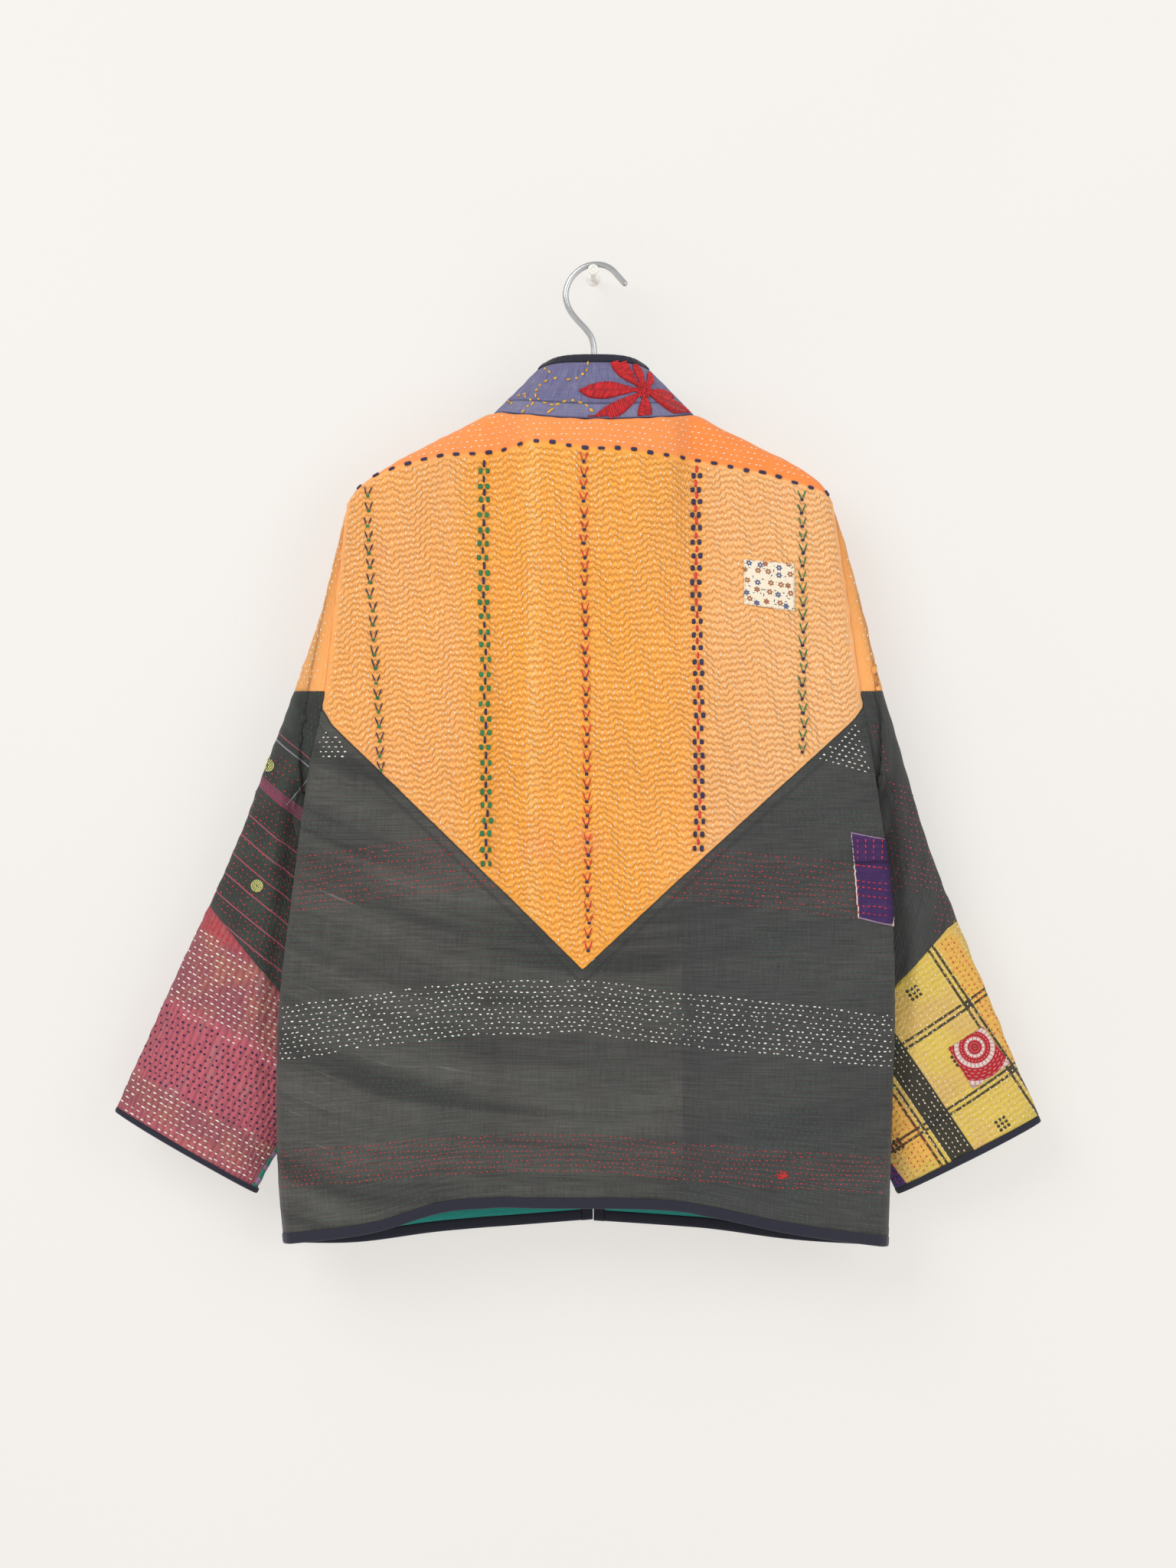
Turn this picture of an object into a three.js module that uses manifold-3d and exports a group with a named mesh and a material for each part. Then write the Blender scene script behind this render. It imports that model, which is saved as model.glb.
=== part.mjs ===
// A patchwork kantha jacket, hung back out on an aluminium hanger whose hook rests on a wall peg.
// Millimetres, +Z up. +X is to the right of someone looking at the jacket's back, +Y runs to the wall,
// and the origin is where the hook rests on the peg.
import * as THREE from "three";
import { mergeVertices } from "three/addons/utils/BufferGeometryUtils.js";
import Module from "manifold-3d";

// Cloth and seams
const CLOTH = 2.4;
const SEAM_GAP = 0.3;
const ARMHOLE_GAP = 0.7;
const BINDING_WIDTH = 10;
const BINDING_PROUD = 0.9;
const RIPPLE_PITCH = 6;
const RIPPLE_HEIGHT = 0.6;
const PATCH_CLOTH = 1.2;
const PATCH_PROUD = RIPPLE_HEIGHT + SEAM_GAP + PATCH_CLOTH;

// Longer than the part in every direction, and more than its depth to each side
const REACH = 500;
const CUT_DEPTH = 200;

// The body and how it hangs
const BODY_HEIGHT = 655;
const BODY_WIDTH = 520;
const SHOULDER_ROLL = 12;
const NECK_ROLL = 2;
const NECK_ROLL_END = 75;
const SHOULDER_ROLL_START = 100;
const ARMHOLE_ROLL = 45;
const SIDE_ROLL = 9;
const FRONT_SIDE_ROLL = 3;
const BACK_FULLNESS = 12;
const FRONT_FULLNESS = 6;
const FRONT_FULL_X = 130;
const FRONT_FLAT_X = 205;
const FOLD_DEPTH = 4;
const ARMHOLE_OPENING = 11;
const UNDERARM_Z = -462;
const FRONT_SEAM_Z = -390;
const HEM_Y = 27;

// The sleeves and how they hang
const SLEEVE_CREASE = 2.2;
const SLEEVE_CLEAR_Y = 8.5;
const CAP_SEAM_Z = -375;
const CAP_SEAM_INNER_X = 200;
const CAP_SEAM_OUTER_X = 300;
// As shares of a sleeve's length of 476
const CUFF_BINDING_SHARE = 0.021;
const CUFF_GAP_SHARE = 0.0012;
const SLEEVE_AROUND = 20;
const SLEEVE_ALONG = 18;

// Collar, whose top is nearer the middle than its foot and lower where the foot is lower
const COLLAR_RISE = 0.5;
const COLLAR_TOP_Z = -79;
const COLLAR_BINDING = 0.13;
const COLLAR_FOOT_HALF = 88;
const COLLAR_TOP_SHARE_X = 0.5;
const COLLAR_FRONT_SHARE_X = 0.6;
const COLLAR_TOP_SHARE_Y = 0.62;
const COLLAR_FRONT_SHARE_Y = 0.9;
const COLLAR_CORNER_DROP = 6;
const COLLAR_FRONT_Z = -140;
const COLLAR_FRONT_DROP = 0.62;

// Hanger and peg
const HANGER_HEIGHT = 18;
const HANGER_HALF_DEPTH = 4.5;
const HOOK_WIRE = 5.4;
const PEG_RADIUS = 2.4;
const PEG_HEAD_RADIUS = 4.8;
const PEG_FRONT_Y = -7;
const WALL_Y = 60;

const LEFT_SHOULDER = [
  { x: -218, z: -209 },
  { x: -205, z: -192.5 },
  { x: -181, z: -176 },
  { x: -152, z: -160 },
  { x: -119, z: -143.5 },
  { x: -88, z: -129.5 },
];
const RIGHT_SHOULDER = [
  { x: 89, z: -131 },
  { x: 115, z: -143.5 },
  { x: 148.5, z: -160 },
  { x: 180, z: -176 },
  { x: 202.5, z: -192.5 },
  { x: 212, z: -209 },
];
const BACK_NECK = [
  { x: -64, y: -24, z: -132 },
  { x: -30, y: -35, z: -136 },
  { x: 6, y: -38, z: -137.5 },
  { x: 40, y: -34, z: -136.5 },
  { x: 70, y: -22, z: -134 },
];
const FRONT_NECK = [
  { x: 81, y: 17, z: -146 },
  { x: 48, y: 23, z: -174 },
  { x: 3, y: HEM_Y, z: -207 },
];
const LEFT_SIDE = [
  { x: -218, z: -209 },
  { x: -228, z: -297 },
  { x: -239, z: -387 },
  { x: -251, z: -440 },
  { x: -266, z: -550 },
  { x: -279, z: -665 },
  { x: -279, z: -804 },
  { x: -274, z: -863 },
];
const RIGHT_SIDE = [
  { x: 212, z: -209 },
  { x: 225, z: -297 },
  { x: 238, z: -387 },
  { x: 248, z: -440 },
  { x: 263, z: -550 },
  { x: 267, z: -640 },
  { x: 265, z: -735 },
  { x: 261, z: -866 },
];
const BACK_HEM = [
  { x: -274, z: -863 },
  { x: -192, y: -HEM_Y, z: -849 },
  { x: -123, y: -HEM_Y, z: -830 },
  { x: -40, y: -HEM_Y, z: -828 },
  { x: 78, y: -HEM_Y, z: -832 },
  { x: 169, y: -HEM_Y, z: -849 },
  { x: 261, z: -866 },
];
const LEFT_FRONT_HEM = [
  { x: -274, z: -863 },
  { x: -213, z: -863 },
  { x: -137, y: HEM_Y * 0.6, z: -856 },
  { x: -3, y: HEM_Y, z: -846 },
];
const RIGHT_FRONT_HEM = [
  { x: 261, z: -866 },
  { x: 169, z: -860 },
  { x: 99, y: HEM_Y * 0.6, z: -853 },
  { x: 3, y: HEM_Y, z: -847 },
];
// The seam between the upper and the lower back: a V with rounded upper corners
const V_SEAM = [
  { x: -245, z: -386 },
  { x: -238, z: -393 },
  { x: -230, z: -405 },
  { x: -92, z: -539 },
  { x: -9.5, z: -621 },
  { x: 90, z: -528 },
  { x: 229, z: -401 },
  { x: 238, z: -390 },
  { x: 246, z: -384 },
];

// One row for each section down a sleeve, from the armhole to the cuff
const LEFT_SLEEVE = [
  { outerX: -218, outerZ: -209, innerX: -254, innerZ: -462, depth: 11, outerY: 0, innerY: 0 },
  { outerX: -226, outerZ: -245, innerX: -269, innerZ: -473, depth: 16, outerY: 0, innerY: 13 },
  { outerX: -241, outerZ: -305, innerX: -270, innerZ: -486, depth: 19, outerY: 2, innerY: 21 },
  { outerX: -260, outerZ: -360, innerX: -261, innerZ: -508, depth: 21, outerY: 4, innerY: 26 },
  { outerX: -282, outerZ: -422, innerX: -232, innerZ: -542, depth: 21, outerY: 6, innerY: 30 },
  { outerX: -305, outerZ: -481, innerX: -219, innerZ: -590, depth: 20, outerY: 8, innerY: 30 },
  { outerX: -331, outerZ: -541, innerX: -222, innerZ: -642, depth: 19, outerY: 9, innerY: 30 },
  { outerX: -358, outerZ: -603, innerX: -238, innerZ: -696, depth: 18, outerY: 10, innerY: 28 },
  { outerX: -387, outerZ: -665, innerX: -261, innerZ: -748, depth: 17, outerY: 10, innerY: 25 },
  { outerX: -411, outerZ: -714, innerX: -284, innerZ: -790, depth: 16, outerY: 10, innerY: 22 },
  { outerX: -424, outerZ: -748, innerX: -300, innerZ: -821, depth: 15, outerY: 10, innerY: 18 },
];
const RIGHT_SLEEVE = [
  { outerX: 212, outerZ: -209, innerX: 252, innerZ: -462, depth: 11, outerY: 0, innerY: 0 },
  { outerX: 223, outerZ: -245, innerX: 270, innerZ: -473, depth: 16, outerY: 0, innerY: 13 },
  { outerX: 239, outerZ: -305, innerX: 272, innerZ: -486, depth: 19, outerY: 2, innerY: 21 },
  { outerX: 252, outerZ: -360, innerX: 259, innerZ: -508, depth: 21, outerY: 4, innerY: 26 },
  { outerX: 270, outerZ: -422, innerX: 230, innerZ: -542, depth: 21, outerY: 6, innerY: 30 },
  { outerX: 289, outerZ: -481, innerX: 214, innerZ: -588, depth: 20, outerY: 8, innerY: 30 },
  { outerX: 308, outerZ: -541, innerX: 208, innerZ: -636, depth: 19, outerY: 9, innerY: 30 },
  { outerX: 332, outerZ: -603, innerX: 213, innerZ: -688, depth: 18, outerY: 10, innerY: 28 },
  { outerX: 360, outerZ: -665, innerX: 228, innerZ: -741, depth: 17, outerY: 10, innerY: 25 },
  { outerX: 379, outerZ: -714, innerX: 250, innerZ: -786, depth: 16, outerY: 10, innerY: 24 },
  { outerX: 397, outerZ: -757, innerX: 272, innerZ: -822, depth: 15, outerY: 10, innerY: 22 },
];

// The seam between the middle and the lower piece of each sleeve, as seen from behind
const LEFT_SLEEVE_SEAM = [
  { x: -340, z: -565 },
  { x: -281, z: -638 },
];
const RIGHT_SLEEVE_SEAM = [
  { x: 321, z: -576 },
  { x: 266, z: -639 },
];

// The hanger's top line from tip to tip, and the centre line of its hook from stem to tip
const HANGER_LINE = [
  { x: -196, z: -190.5 },
  { x: -152, z: -164 },
  { x: -90, z: -139 },
  { x: -45, z: -117 },
  { x: 0, z: -106 },
  { x: 45, z: -117 },
  { x: 90, z: -140 },
  { x: 148, z: -164 },
  { x: 193, z: -190.5 },
];
const HOOK_LINE = [
  { x: 0.7, z: -105.7 },
  { x: 0.7, z: -77.5 },
  { x: 0.2, z: -69 },
  { x: -2.1, z: -61 },
  { x: -7, z: -54 },
  { x: -14, z: -46.5 },
  { x: -19.6, z: -39.5 },
  { x: -23, z: -32.5 },
  { x: -24.5, z: -25 },
  { x: -23.3, z: -17 },
  { x: -18.9, z: -8.5 },
  { x: -11.3, z: -1.3 },
  { x: -4.5, z: 2 },
  { x: 2.5, z: 3 },
  { x: 10.2, z: 1.9 },
  { x: 16.5, z: -1.6 },
  { x: 22.5, z: -8 },
  { x: 29.5, z: -15.8 },
];

const root = new THREE.Group();
root.name = "kantha_jacket_on_hanger";

const COLORS = {
  orange: { color: 0xe8953a, roughness: 0.92, metalness: 0 },
  charcoal: { color: 0x43483f, roughness: 0.92, metalness: 0 },
  rose: { color: 0xa8596b, roughness: 0.92, metalness: 0 },
  yellow: { color: 0xd9a62b, roughness: 0.92, metalness: 0 },
  indigo: { color: 0x54599a, roughness: 0.92, metalness: 0 },
  navy: { color: 0x23263a, roughness: 0.92, metalness: 0 },
  crimson: { color: 0xb3131f, roughness: 0.85, metalness: 0 },
  cream: { color: 0xddd2bb, roughness: 0.92, metalness: 0 },
  purple: { color: 0x4d2a63, roughness: 0.92, metalness: 0 },
  aluminium: { color: 0xc9cbcd, roughness: 0.32, metalness: 1 },
  painted: { color: 0xe6e3dc, roughness: 0.5, metalness: 0 },
};

function addMesh(name, geometry, look) {
  const mesh = new THREE.Mesh(geometry, new THREE.MeshStandardMaterial(COLORS[look]));
  mesh.name = name;
  root.add(mesh);
}

// Curves and small functions

function spline(table) {
  const points = table.map(({ x, y = 0, z }) => new THREE.Vector3(x, y, z));
  return new THREE.CatmullRomCurve3(points, false, "centripetal");
}

const smooth = (low, high, value) => {
  const w = THREE.MathUtils.clamp((value - low) / (high - low), 0, 1);
  return w * w * (3 - 2 * w);
};

// The profile of cloth that rolls round an edge: 0 at the edge, 1 from a radius away
const rollOver = (distance, radius) => {
  const w = Math.min(distance / radius, 1);
  return Math.sqrt(1 - (1 - w) ** 2);
};

function bisect(test) {
  let low = 0;
  let high = 1;
  for (let i = 0; i < 40; i++) {
    const middle = (low + high) / 2;
    if (test(middle)) high = middle;
    else low = middle;
  }
  return (low + high) / 2;
}

const range = (from, to, steps) =>
  Array.from({ length: steps + 1 }, (_, i) => from + ((to - from) * i) / steps);

const mirrored = (table) => table.map(({ x, y = 0, z }) => ({ x: -x, y, z }));

// Walls from grids of points

const gridOf = (us, vs, surface) => us.map((u) => vs.map((v) => surface(u, v)));

function gridNormals(grid, closed) {
  const columns = grid.length;
  const rows = grid[0].length;
  const column = (i) =>
    closed ? (i + columns) % columns : THREE.MathUtils.clamp(i, 0, columns - 1);
  return grid.map((line, i) =>
    line.map((_, j) => {
      const across = grid[column(i + 1)][j].clone().sub(grid[column(i - 1)][j]);
      const down = grid[i][Math.min(j + 1, rows - 1)].clone().sub(grid[i][Math.max(j - 1, 0)]);
      return across.cross(down).normalize();
    }),
  );
}

function moved(grid, closed, distance) {
  const normals = gridNormals(grid, closed);
  return grid.map((line, i) =>
    line.map((point, j) => point.clone().addScaledVector(normals[i][j], distance(i, j))),
  );
}

// Triangles between two edges that run side by side and may have different numbers of points
function bridge(faces, outerEdge, innerEdge) {
  let i = 0;
  let j = 0;
  while (i < outerEdge.length - 1 || j < innerEdge.length - 1) {
    const outerNext = i < outerEdge.length - 1 ? outerEdge[i + 1].at : Infinity;
    const innerNext = j < innerEdge.length - 1 ? innerEdge[j + 1].at : Infinity;
    if (outerNext <= innerNext) {
      faces.push(outerEdge[i + 1].id, outerEdge[i].id, innerEdge[j].id);
      i++;
    } else {
      faces.push(outerEdge[i].id, innerEdge[j].id, innerEdge[j + 1].id);
      j++;
    }
  }
}

// A closed wall between two grids, which may have different rows: outerVs and innerVs are their v values
function wallOf(outer, inner, closed, outerVs, innerVs) {
  const positions = [];
  const faces = [];
  const columns = outer.length;
  const last = closed ? columns : columns - 1;
  const addGrid = (grid) => {
    const start = positions.length / 3;
    grid.forEach((line) => line.forEach((p) => positions.push(p.x, p.y, p.z)));
    return (i, j) => start + (i % columns) * grid[0].length + j;
  };
  const outerId = addGrid(outer);
  const innerId = addGrid(inner);
  const fill = (id, rows, reversed) => {
    for (let i = 0; i < last; i++)
      for (let j = 0; j < rows - 1; j++) {
        const quad = [id(i, j), id(i + 1, j), id(i + 1, j + 1), id(i, j + 1)];
        if (reversed) quad.reverse();
        faces.push(quad[0], quad[1], quad[2], quad[0], quad[2], quad[3]);
      }
  };
  fill(outerId, outerVs.length, false);
  fill(innerId, innerVs.length, true);
  const across = (id, j, back) => {
    const edge = Array.from({ length: last + 1 }, (_, i) => ({ id: id(i, j), at: i }));
    return back ? edge.reverse().map(({ id: point, at }) => ({ id: point, at: last - at })) : edge;
  };
  const along = (id, i, vs, back) => {
    const edge = vs.map((v, j) => ({ id: id(i, j), at: v }));
    return back ? edge.reverse().map(({ id: point, at }) => ({ id: point, at: -at })) : edge;
  };
  bridge(faces, across(outerId, 0, false), across(innerId, 0, false));
  bridge(
    faces,
    across(outerId, outerVs.length - 1, true),
    across(innerId, innerVs.length - 1, true),
  );
  if (!closed) {
    bridge(faces, along(outerId, last, outerVs, false), along(innerId, last, innerVs, false));
    bridge(faces, along(outerId, 0, outerVs, true), along(innerId, 0, innerVs, true));
  }
  return solidGeometry(positions, faces);
}

function solidGeometry(positions, faces) {
  let volume = 0;
  const at = (id) => new THREE.Vector3().fromArray(positions, id * 3);
  for (let i = 0; i < faces.length; i += 3)
    volume += at(faces[i]).dot(at(faces[i + 1]).cross(at(faces[i + 2])));
  if (volume < 0)
    for (let i = 0; i < faces.length; i += 3)
      [faces[i + 1], faces[i + 2]] = [faces[i + 2], faces[i + 1]];
  const geometry = new THREE.BufferGeometry();
  geometry.setAttribute("position", new THREE.Float32BufferAttribute(positions, 3));
  geometry.setIndex(faces);
  return geometry;
}

// Keeps a grid's points on one side of the plane of the side and shoulder seams
const keptBehind = (grid) =>
  grid.map((line) => line.map((p) => p.setY(Math.min(p.y, -SEAM_GAP / 2))));
const keptInFront = (grid) =>
  grid.map((line) => line.map((p) => p.setY(Math.max(p.y, SEAM_GAP / 2))));

// A wall on a surface, where outward is +1 or -1 along the grid's own normal
function wallOn({ surface, us, vs, outward, closed, thickness = CLOTH, proud = 0, kept }) {
  const keep = kept ?? ((grid) => grid);
  const grid = gridOf(us, vs, surface);
  const outer = keep(moved(grid, closed, () => outward * proud));
  const inner = keep(moved(grid, closed, () => outward * (proud - thickness)));
  return wallOf(outer, inner, closed, vs, vs);
}

// 1 where a grid on the surface faces the viewer of the jacket's back at u and v, and -1 elsewhere
function outwardOf(surface, u, v) {
  const around = (value) => [value - 0.01, value, value + 0.01];
  return gridNormals(gridOf(around(u), around(v), surface), false)[1][1].y < 0 ? 1 : -1;
}

// Booleans

const wasm = await Module();
wasm.setup();

function toSolid(geometry) {
  const bare = geometry.index ? geometry.toNonIndexed() : geometry.clone();
  bare.deleteAttribute("normal");
  bare.deleteAttribute("uv");
  const merged = mergeVertices(bare, 1e-4);
  return new wasm.Manifold(
    new wasm.Mesh({
      numProp: 3,
      vertProperties: merged.attributes.position.array,
      triVerts: new Uint32Array(merged.index.array),
    }),
  );
}

function toGeometry(solid) {
  const mesh = solid.getMesh();
  const geometry = new THREE.BufferGeometry();
  geometry.setAttribute("position", new THREE.BufferAttribute(mesh.vertProperties.slice(), 3));
  geometry.setIndex(new THREE.BufferAttribute(mesh.triVerts.slice(), 1));
  return geometry;
}

// A prism that runs through the part along Y, from an outline of x and z
function prismAlongY(outline) {
  const shape = new THREE.Shape(outline.map(({ x, z }) => new THREE.Vector2(x, z)));
  const prism = new THREE.ExtrudeGeometry(shape, { depth: 2 * CUT_DEPTH, bevelEnabled: false });
  return toSolid(prism.rotateX(Math.PI / 2).translate(0, CUT_DEPTH, 0));
}

// The body's surfaces

const sides = {
  left: { curve: spline(LEFT_SIDE), shoulder: LEFT_SHOULDER, sign: -1 },
  right: { curve: spline(RIGHT_SIDE), shoulder: RIGHT_SHOULDER, sign: 1 },
};
for (const side of Object.values(sides))
  side.underarm = bisect((t) => side.curve.getPointAt(t).z < UNDERARM_Z);

const armholeDepth = (w) => ARMHOLE_OPENING * Math.sin(Math.PI * THREE.MathUtils.clamp(w, 0, 1)) ** 0.8;

// A point of a side edge: towards is -1 on the back and +1 on a front
function sideEdge(side, t, towards) {
  const point = side.curve.getPointAt(t);
  point.y = towards * (SEAM_GAP / 2 + armholeDepth(t / side.underarm));
  return point;
}

// A surface between four edges, whose rows are level away from the top and the bottom edge
function patchPoint(s, t, { top, bottom, left, right }) {
  const start = left(t);
  const end = right(t);
  const point = start.lerp(end, s);
  const fromTop = 1 - smooth(0, 0.24, t);
  const fromBottom = smooth(0.72, 1, t);
  const addEdge = (edge, weight, t0) => {
    const level = left(t0).lerp(right(t0), s);
    point.addScaledVector(edge.getPointAt(s).sub(level), weight);
  };
  if (fromTop > 0) addEdge(top, fromTop, 0);
  if (fromBottom > 0) addEdge(bottom, fromBottom, 1);
  return point;
}

const shiftedY = (table, y) => table.map((row) => ({ ...row, y: (row.y ?? 0) + y }));

const backEdges = {
  top: spline(
    shiftedY([...LEFT_SHOULDER, ...BACK_NECK, ...RIGHT_SHOULDER], -SEAM_GAP / 2),
  ),
  bottom: spline(shiftedY(BACK_HEM, -SEAM_GAP / 2)),
  left: (t) => sideEdge(sides.left, t, -1),
  right: (t) => sideEdge(sides.right, t, -1),
};

const topRoll = (x) =>
  NECK_ROLL + (SHOULDER_ROLL - NECK_ROLL) * smooth(NECK_ROLL_END, SHOULDER_ROLL_START, Math.abs(x));

function backSurface(s, t) {
  const point = patchPoint(s, t, backEdges);
  const roll = topRoll(point.x);
  const sideRoll = ARMHOLE_ROLL + (SIDE_ROLL - ARMHOLE_ROLL) * smooth(0.2, 0.42, t);
  const fromSide = rollOver(Math.min(s, 1 - s) * BODY_WIDTH, sideRoll);
  const fullness = BACK_FULLNESS * Math.sqrt(Math.sin(Math.PI * s)) * smooth(0, 0.3, t);
  const fold = FOLD_DEPTH * smooth(0.3, 1, t) * Math.sin(2 * Math.PI * (2.4 * s + 0.15));
  point.y -= fromSide * (roll * rollOver(t * BODY_HEIGHT, roll) + fullness + fold);
  return point.setY(Math.min(point.y, -SEAM_GAP / 2));
}

function frontEdges(side) {
  const { sign, shoulder } = side;
  const toNeck = sign < 0 ? shoulder : [...shoulder].reverse();
  const neck = sign < 0 ? mirrored(FRONT_NECK) : FRONT_NECK;
  const hem = sign < 0 ? LEFT_FRONT_HEM : RIGHT_FRONT_HEM;
  const edge = spline([
    { x: sign * 3, y: HEM_Y, z: -207 },
    { x: sign * 3, y: HEM_Y, z: hem.at(-1).z },
  ]);
  return {
    top: spline(shiftedY([...toNeck, ...neck], SEAM_GAP / 2)),
    bottom: spline(shiftedY(hem, SEAM_GAP / 2)),
    left: (t) => sideEdge(side, t, 1),
    right: (t) => edge.getPointAt(t),
  };
}

function makeFrontSurface(side) {
  const edges = frontEdges(side);
  return (s, t) => {
    const point = patchPoint(s, t, edges);
    const roll = topRoll(point.x);
    const sideRoll = ARMHOLE_ROLL + (FRONT_SIDE_ROLL - ARMHOLE_ROLL) * smooth(0.2, 0.36, t);
    const fromSide = rollOver((s * BODY_WIDTH) / 2, sideRoll);
    const shoulderFade = 1 - 0.8 * smooth(0.12, 0.36, t);
    const fullness = FRONT_FULLNESS * smooth(FRONT_FLAT_X, FRONT_FULL_X, Math.abs(point.x)) * smooth(0, 0.2, t);
    point.y += fromSide * (roll * rollOver(t * BODY_HEIGHT, roll) * shoulderFade + fullness);
    return point.setY(Math.max(point.y, SEAM_GAP / 2));
  };
}
sides.left.front = makeFrontSurface(sides.left);
sides.right.front = makeFrontSurface(sides.right);

// Where the neck starts and ends along a top edge
const neckStart = bisect((s) => backEdges.top.getPointAt(s).x > LEFT_SHOULDER.at(-1).x);
const neckEnd = bisect((s) => backEdges.top.getPointAt(s).x > RIGHT_SHOULDER[0].x);
const NECK_COLUMNS = 6;
const shoulderColumns = [0, 0.02, 0.08, 0.3, 0.65];
const backColumns = [
  ...shoulderColumns.map((w) => w * neckStart),
  ...range(neckStart, neckEnd, NECK_COLUMNS),
  ...[...shoulderColumns].reverse().map((w) => 1 - w * (1 - neckEnd)),
];
const rollRows = [0, 1, 3.5, 8].map((distance) => distance / BODY_HEIGHT);

// The height of the V seam at x, level beyond its two ends
function seamZ(x) {
  const inside = THREE.MathUtils.clamp(x, V_SEAM[0].x, V_SEAM.at(-1).x);
  const next = Math.max(1, V_SEAM.findIndex((point) => point.x >= inside));
  const end = V_SEAM[next];
  const start = V_SEAM[next - 1];
  return start.z + ((end.z - start.z) * (inside - start.x)) / (end.x - start.x);
}

// The lowest point of the V seam, and the back's column there
const V_TIP = V_SEAM[4];
const V_TIP_COLUMN = 0.484;

// Everything above the V seam raised by a gap
const aboveSeam = (gap) =>
  prismAlongY([
    ...V_SEAM.map(({ x, z }) => ({ x, z: z + gap })),
    { x: REACH, z: V_SEAM.at(-1).z + gap },
    { x: REACH, z: 0 },
    { x: -REACH, z: 0 },
    { x: -REACH, z: V_SEAM[0].z + gap },
  ]);

function makeBack() {
  const hemRow = 1 - BINDING_WIDTH / BODY_HEIGHT;
  const tipRow = bisect((t) => backSurface(V_TIP_COLUMN, t).z < V_TIP.z - RIPPLE_PITCH);
  const rowStep = RIPPLE_PITCH / 2 / BODY_HEIGHT;
  const fineSteps = 2 * Math.ceil((tipRow - rollRows.at(-1)) / rowStep / 2);
  const fineRows = [...rollRows, ...range(rollRows.at(-1), tipRow, fineSteps).slice(1)];
  const plainRows = [...rollRows, ...range(rollRows.at(-1), tipRow, 14).slice(1)];
  const fineGrid = gridOf(backColumns, fineRows, backSurface);
  const lastFlat = backColumns.length - 3;
  const relief = (i, j) =>
    i > 1 && i <= lastFlat && j > rollRows.length && j % 2 ? RIPPLE_HEIGHT : 0;
  const outer = keptBehind(moved(fineGrid, false, (i, j) => relief(i, j) * outwardOnBack));
  const plainGrid = gridOf(backColumns, plainRows, backSurface);
  const inner = keptBehind(moved(plainGrid, false, () => -outwardOnBack * CLOTH));
  const shell = toSolid(wallOf(outer, inner, false, fineRows, plainRows));
  addMesh("back_upper", toGeometry(shell.intersect(aboveSeam(SEAM_GAP))), "orange");

  const seamRow = (s) =>
    bisect((t) => {
      const point = backSurface(s, t);
      return point.z < seamZ(point.x);
    });
  const lowerColumns = [...backColumns, V_TIP_COLUMN].sort((a, b) => a - b);
  const lower = (s, w) => {
    const start = seamRow(s) - 2 * RIPPLE_PITCH / BODY_HEIGHT;
    return backSurface(s, start + (hemRow - start) * w);
  };
  const lowerWall = toSolid(
    wallOn({
      surface: lower,
      us: lowerColumns,
      vs: range(0, 1, 12),
      outward: outwardOnBack,
      kept: keptBehind,
    }),
  );
  addMesh("back_lower", toGeometry(lowerWall.subtract(aboveSeam(0))), "charcoal");
  addMesh(
    "hem_binding_back",
    wallOn({
      surface: backSurface,
      us: backColumns.slice(1, -1),
      vs: [hemRow + SEAM_GAP / BODY_HEIGHT, 1],
      outward: outwardOnBack,
      thickness: CLOTH + 2 * BINDING_PROUD,
      proud: BINDING_PROUD,
      kept: keptBehind,
    }),
    "navy",
  );
}

const outwardOnBack = outwardOf(backSurface, 0.5, 0.5);

function makeFront(name) {
  const side = sides[name];
  const surface = side.front;
  const outward = side.sign < 0 ? -outwardOnBack : outwardOnBack;
  const neckAt = bisect((s) => {
    const x = Math.abs(surface(s, 0).x);
    return x < Math.abs(side.sign < 0 ? LEFT_SHOULDER.at(-1).x : RIGHT_SHOULDER[0].x);
  });
  side.neckColumns = range(neckAt, 1, 5);
  const centreColumn = 1 - BINDING_WIDTH / (BODY_WIDTH / 2);
  const columns = [
    ...shoulderColumns.map((w) => w * neckAt),
    ...side.neckColumns.slice(0, -1),
    centreColumn,
  ].filter((s) => s <= centreColumn);
  const hemRow = 1 - BINDING_WIDTH / BODY_HEIGHT;
  const seamRow = bisect((t) => surface(0.5, t).z < FRONT_SEAM_Z);
  const gapRow = SEAM_GAP / BODY_HEIGHT;
  const upperRows = [...rollRows, ...range(rollRows.at(-1), seamRow - gapRow, 7).slice(1)];
  const lowerRows = range(seamRow, hemRow, 9);
  const wall = (us, vs, extra = {}) =>
    wallOn({ surface, us, vs, outward, kept: keptInFront, ...extra });
  const binding = { thickness: CLOTH + 2 * BINDING_PROUD, proud: BINDING_PROUD };
  const edgeStart = 8 / BODY_HEIGHT;
  addMesh(`front_${name}_upper`, wall(columns, upperRows), "orange");
  addMesh(`front_${name}_lower`, wall(columns, lowerRows), "charcoal");
  addMesh(
    `hem_binding_front_${name}`,
    wall(columns.slice(1), [hemRow + gapRow, 1], binding),
    "navy",
  );
  addMesh(
    `front_edge_binding_${name}`,
    wall([centreColumn + SEAM_GAP / (BODY_WIDTH / 2), 1], range(edgeStart, 1, 12), binding),
    "navy",
  );
}

// Sleeves

const SLEEVE_COLUMNS = ["outerX", "outerZ", "innerX", "innerZ", "depth", "outerY", "innerY"];

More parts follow.
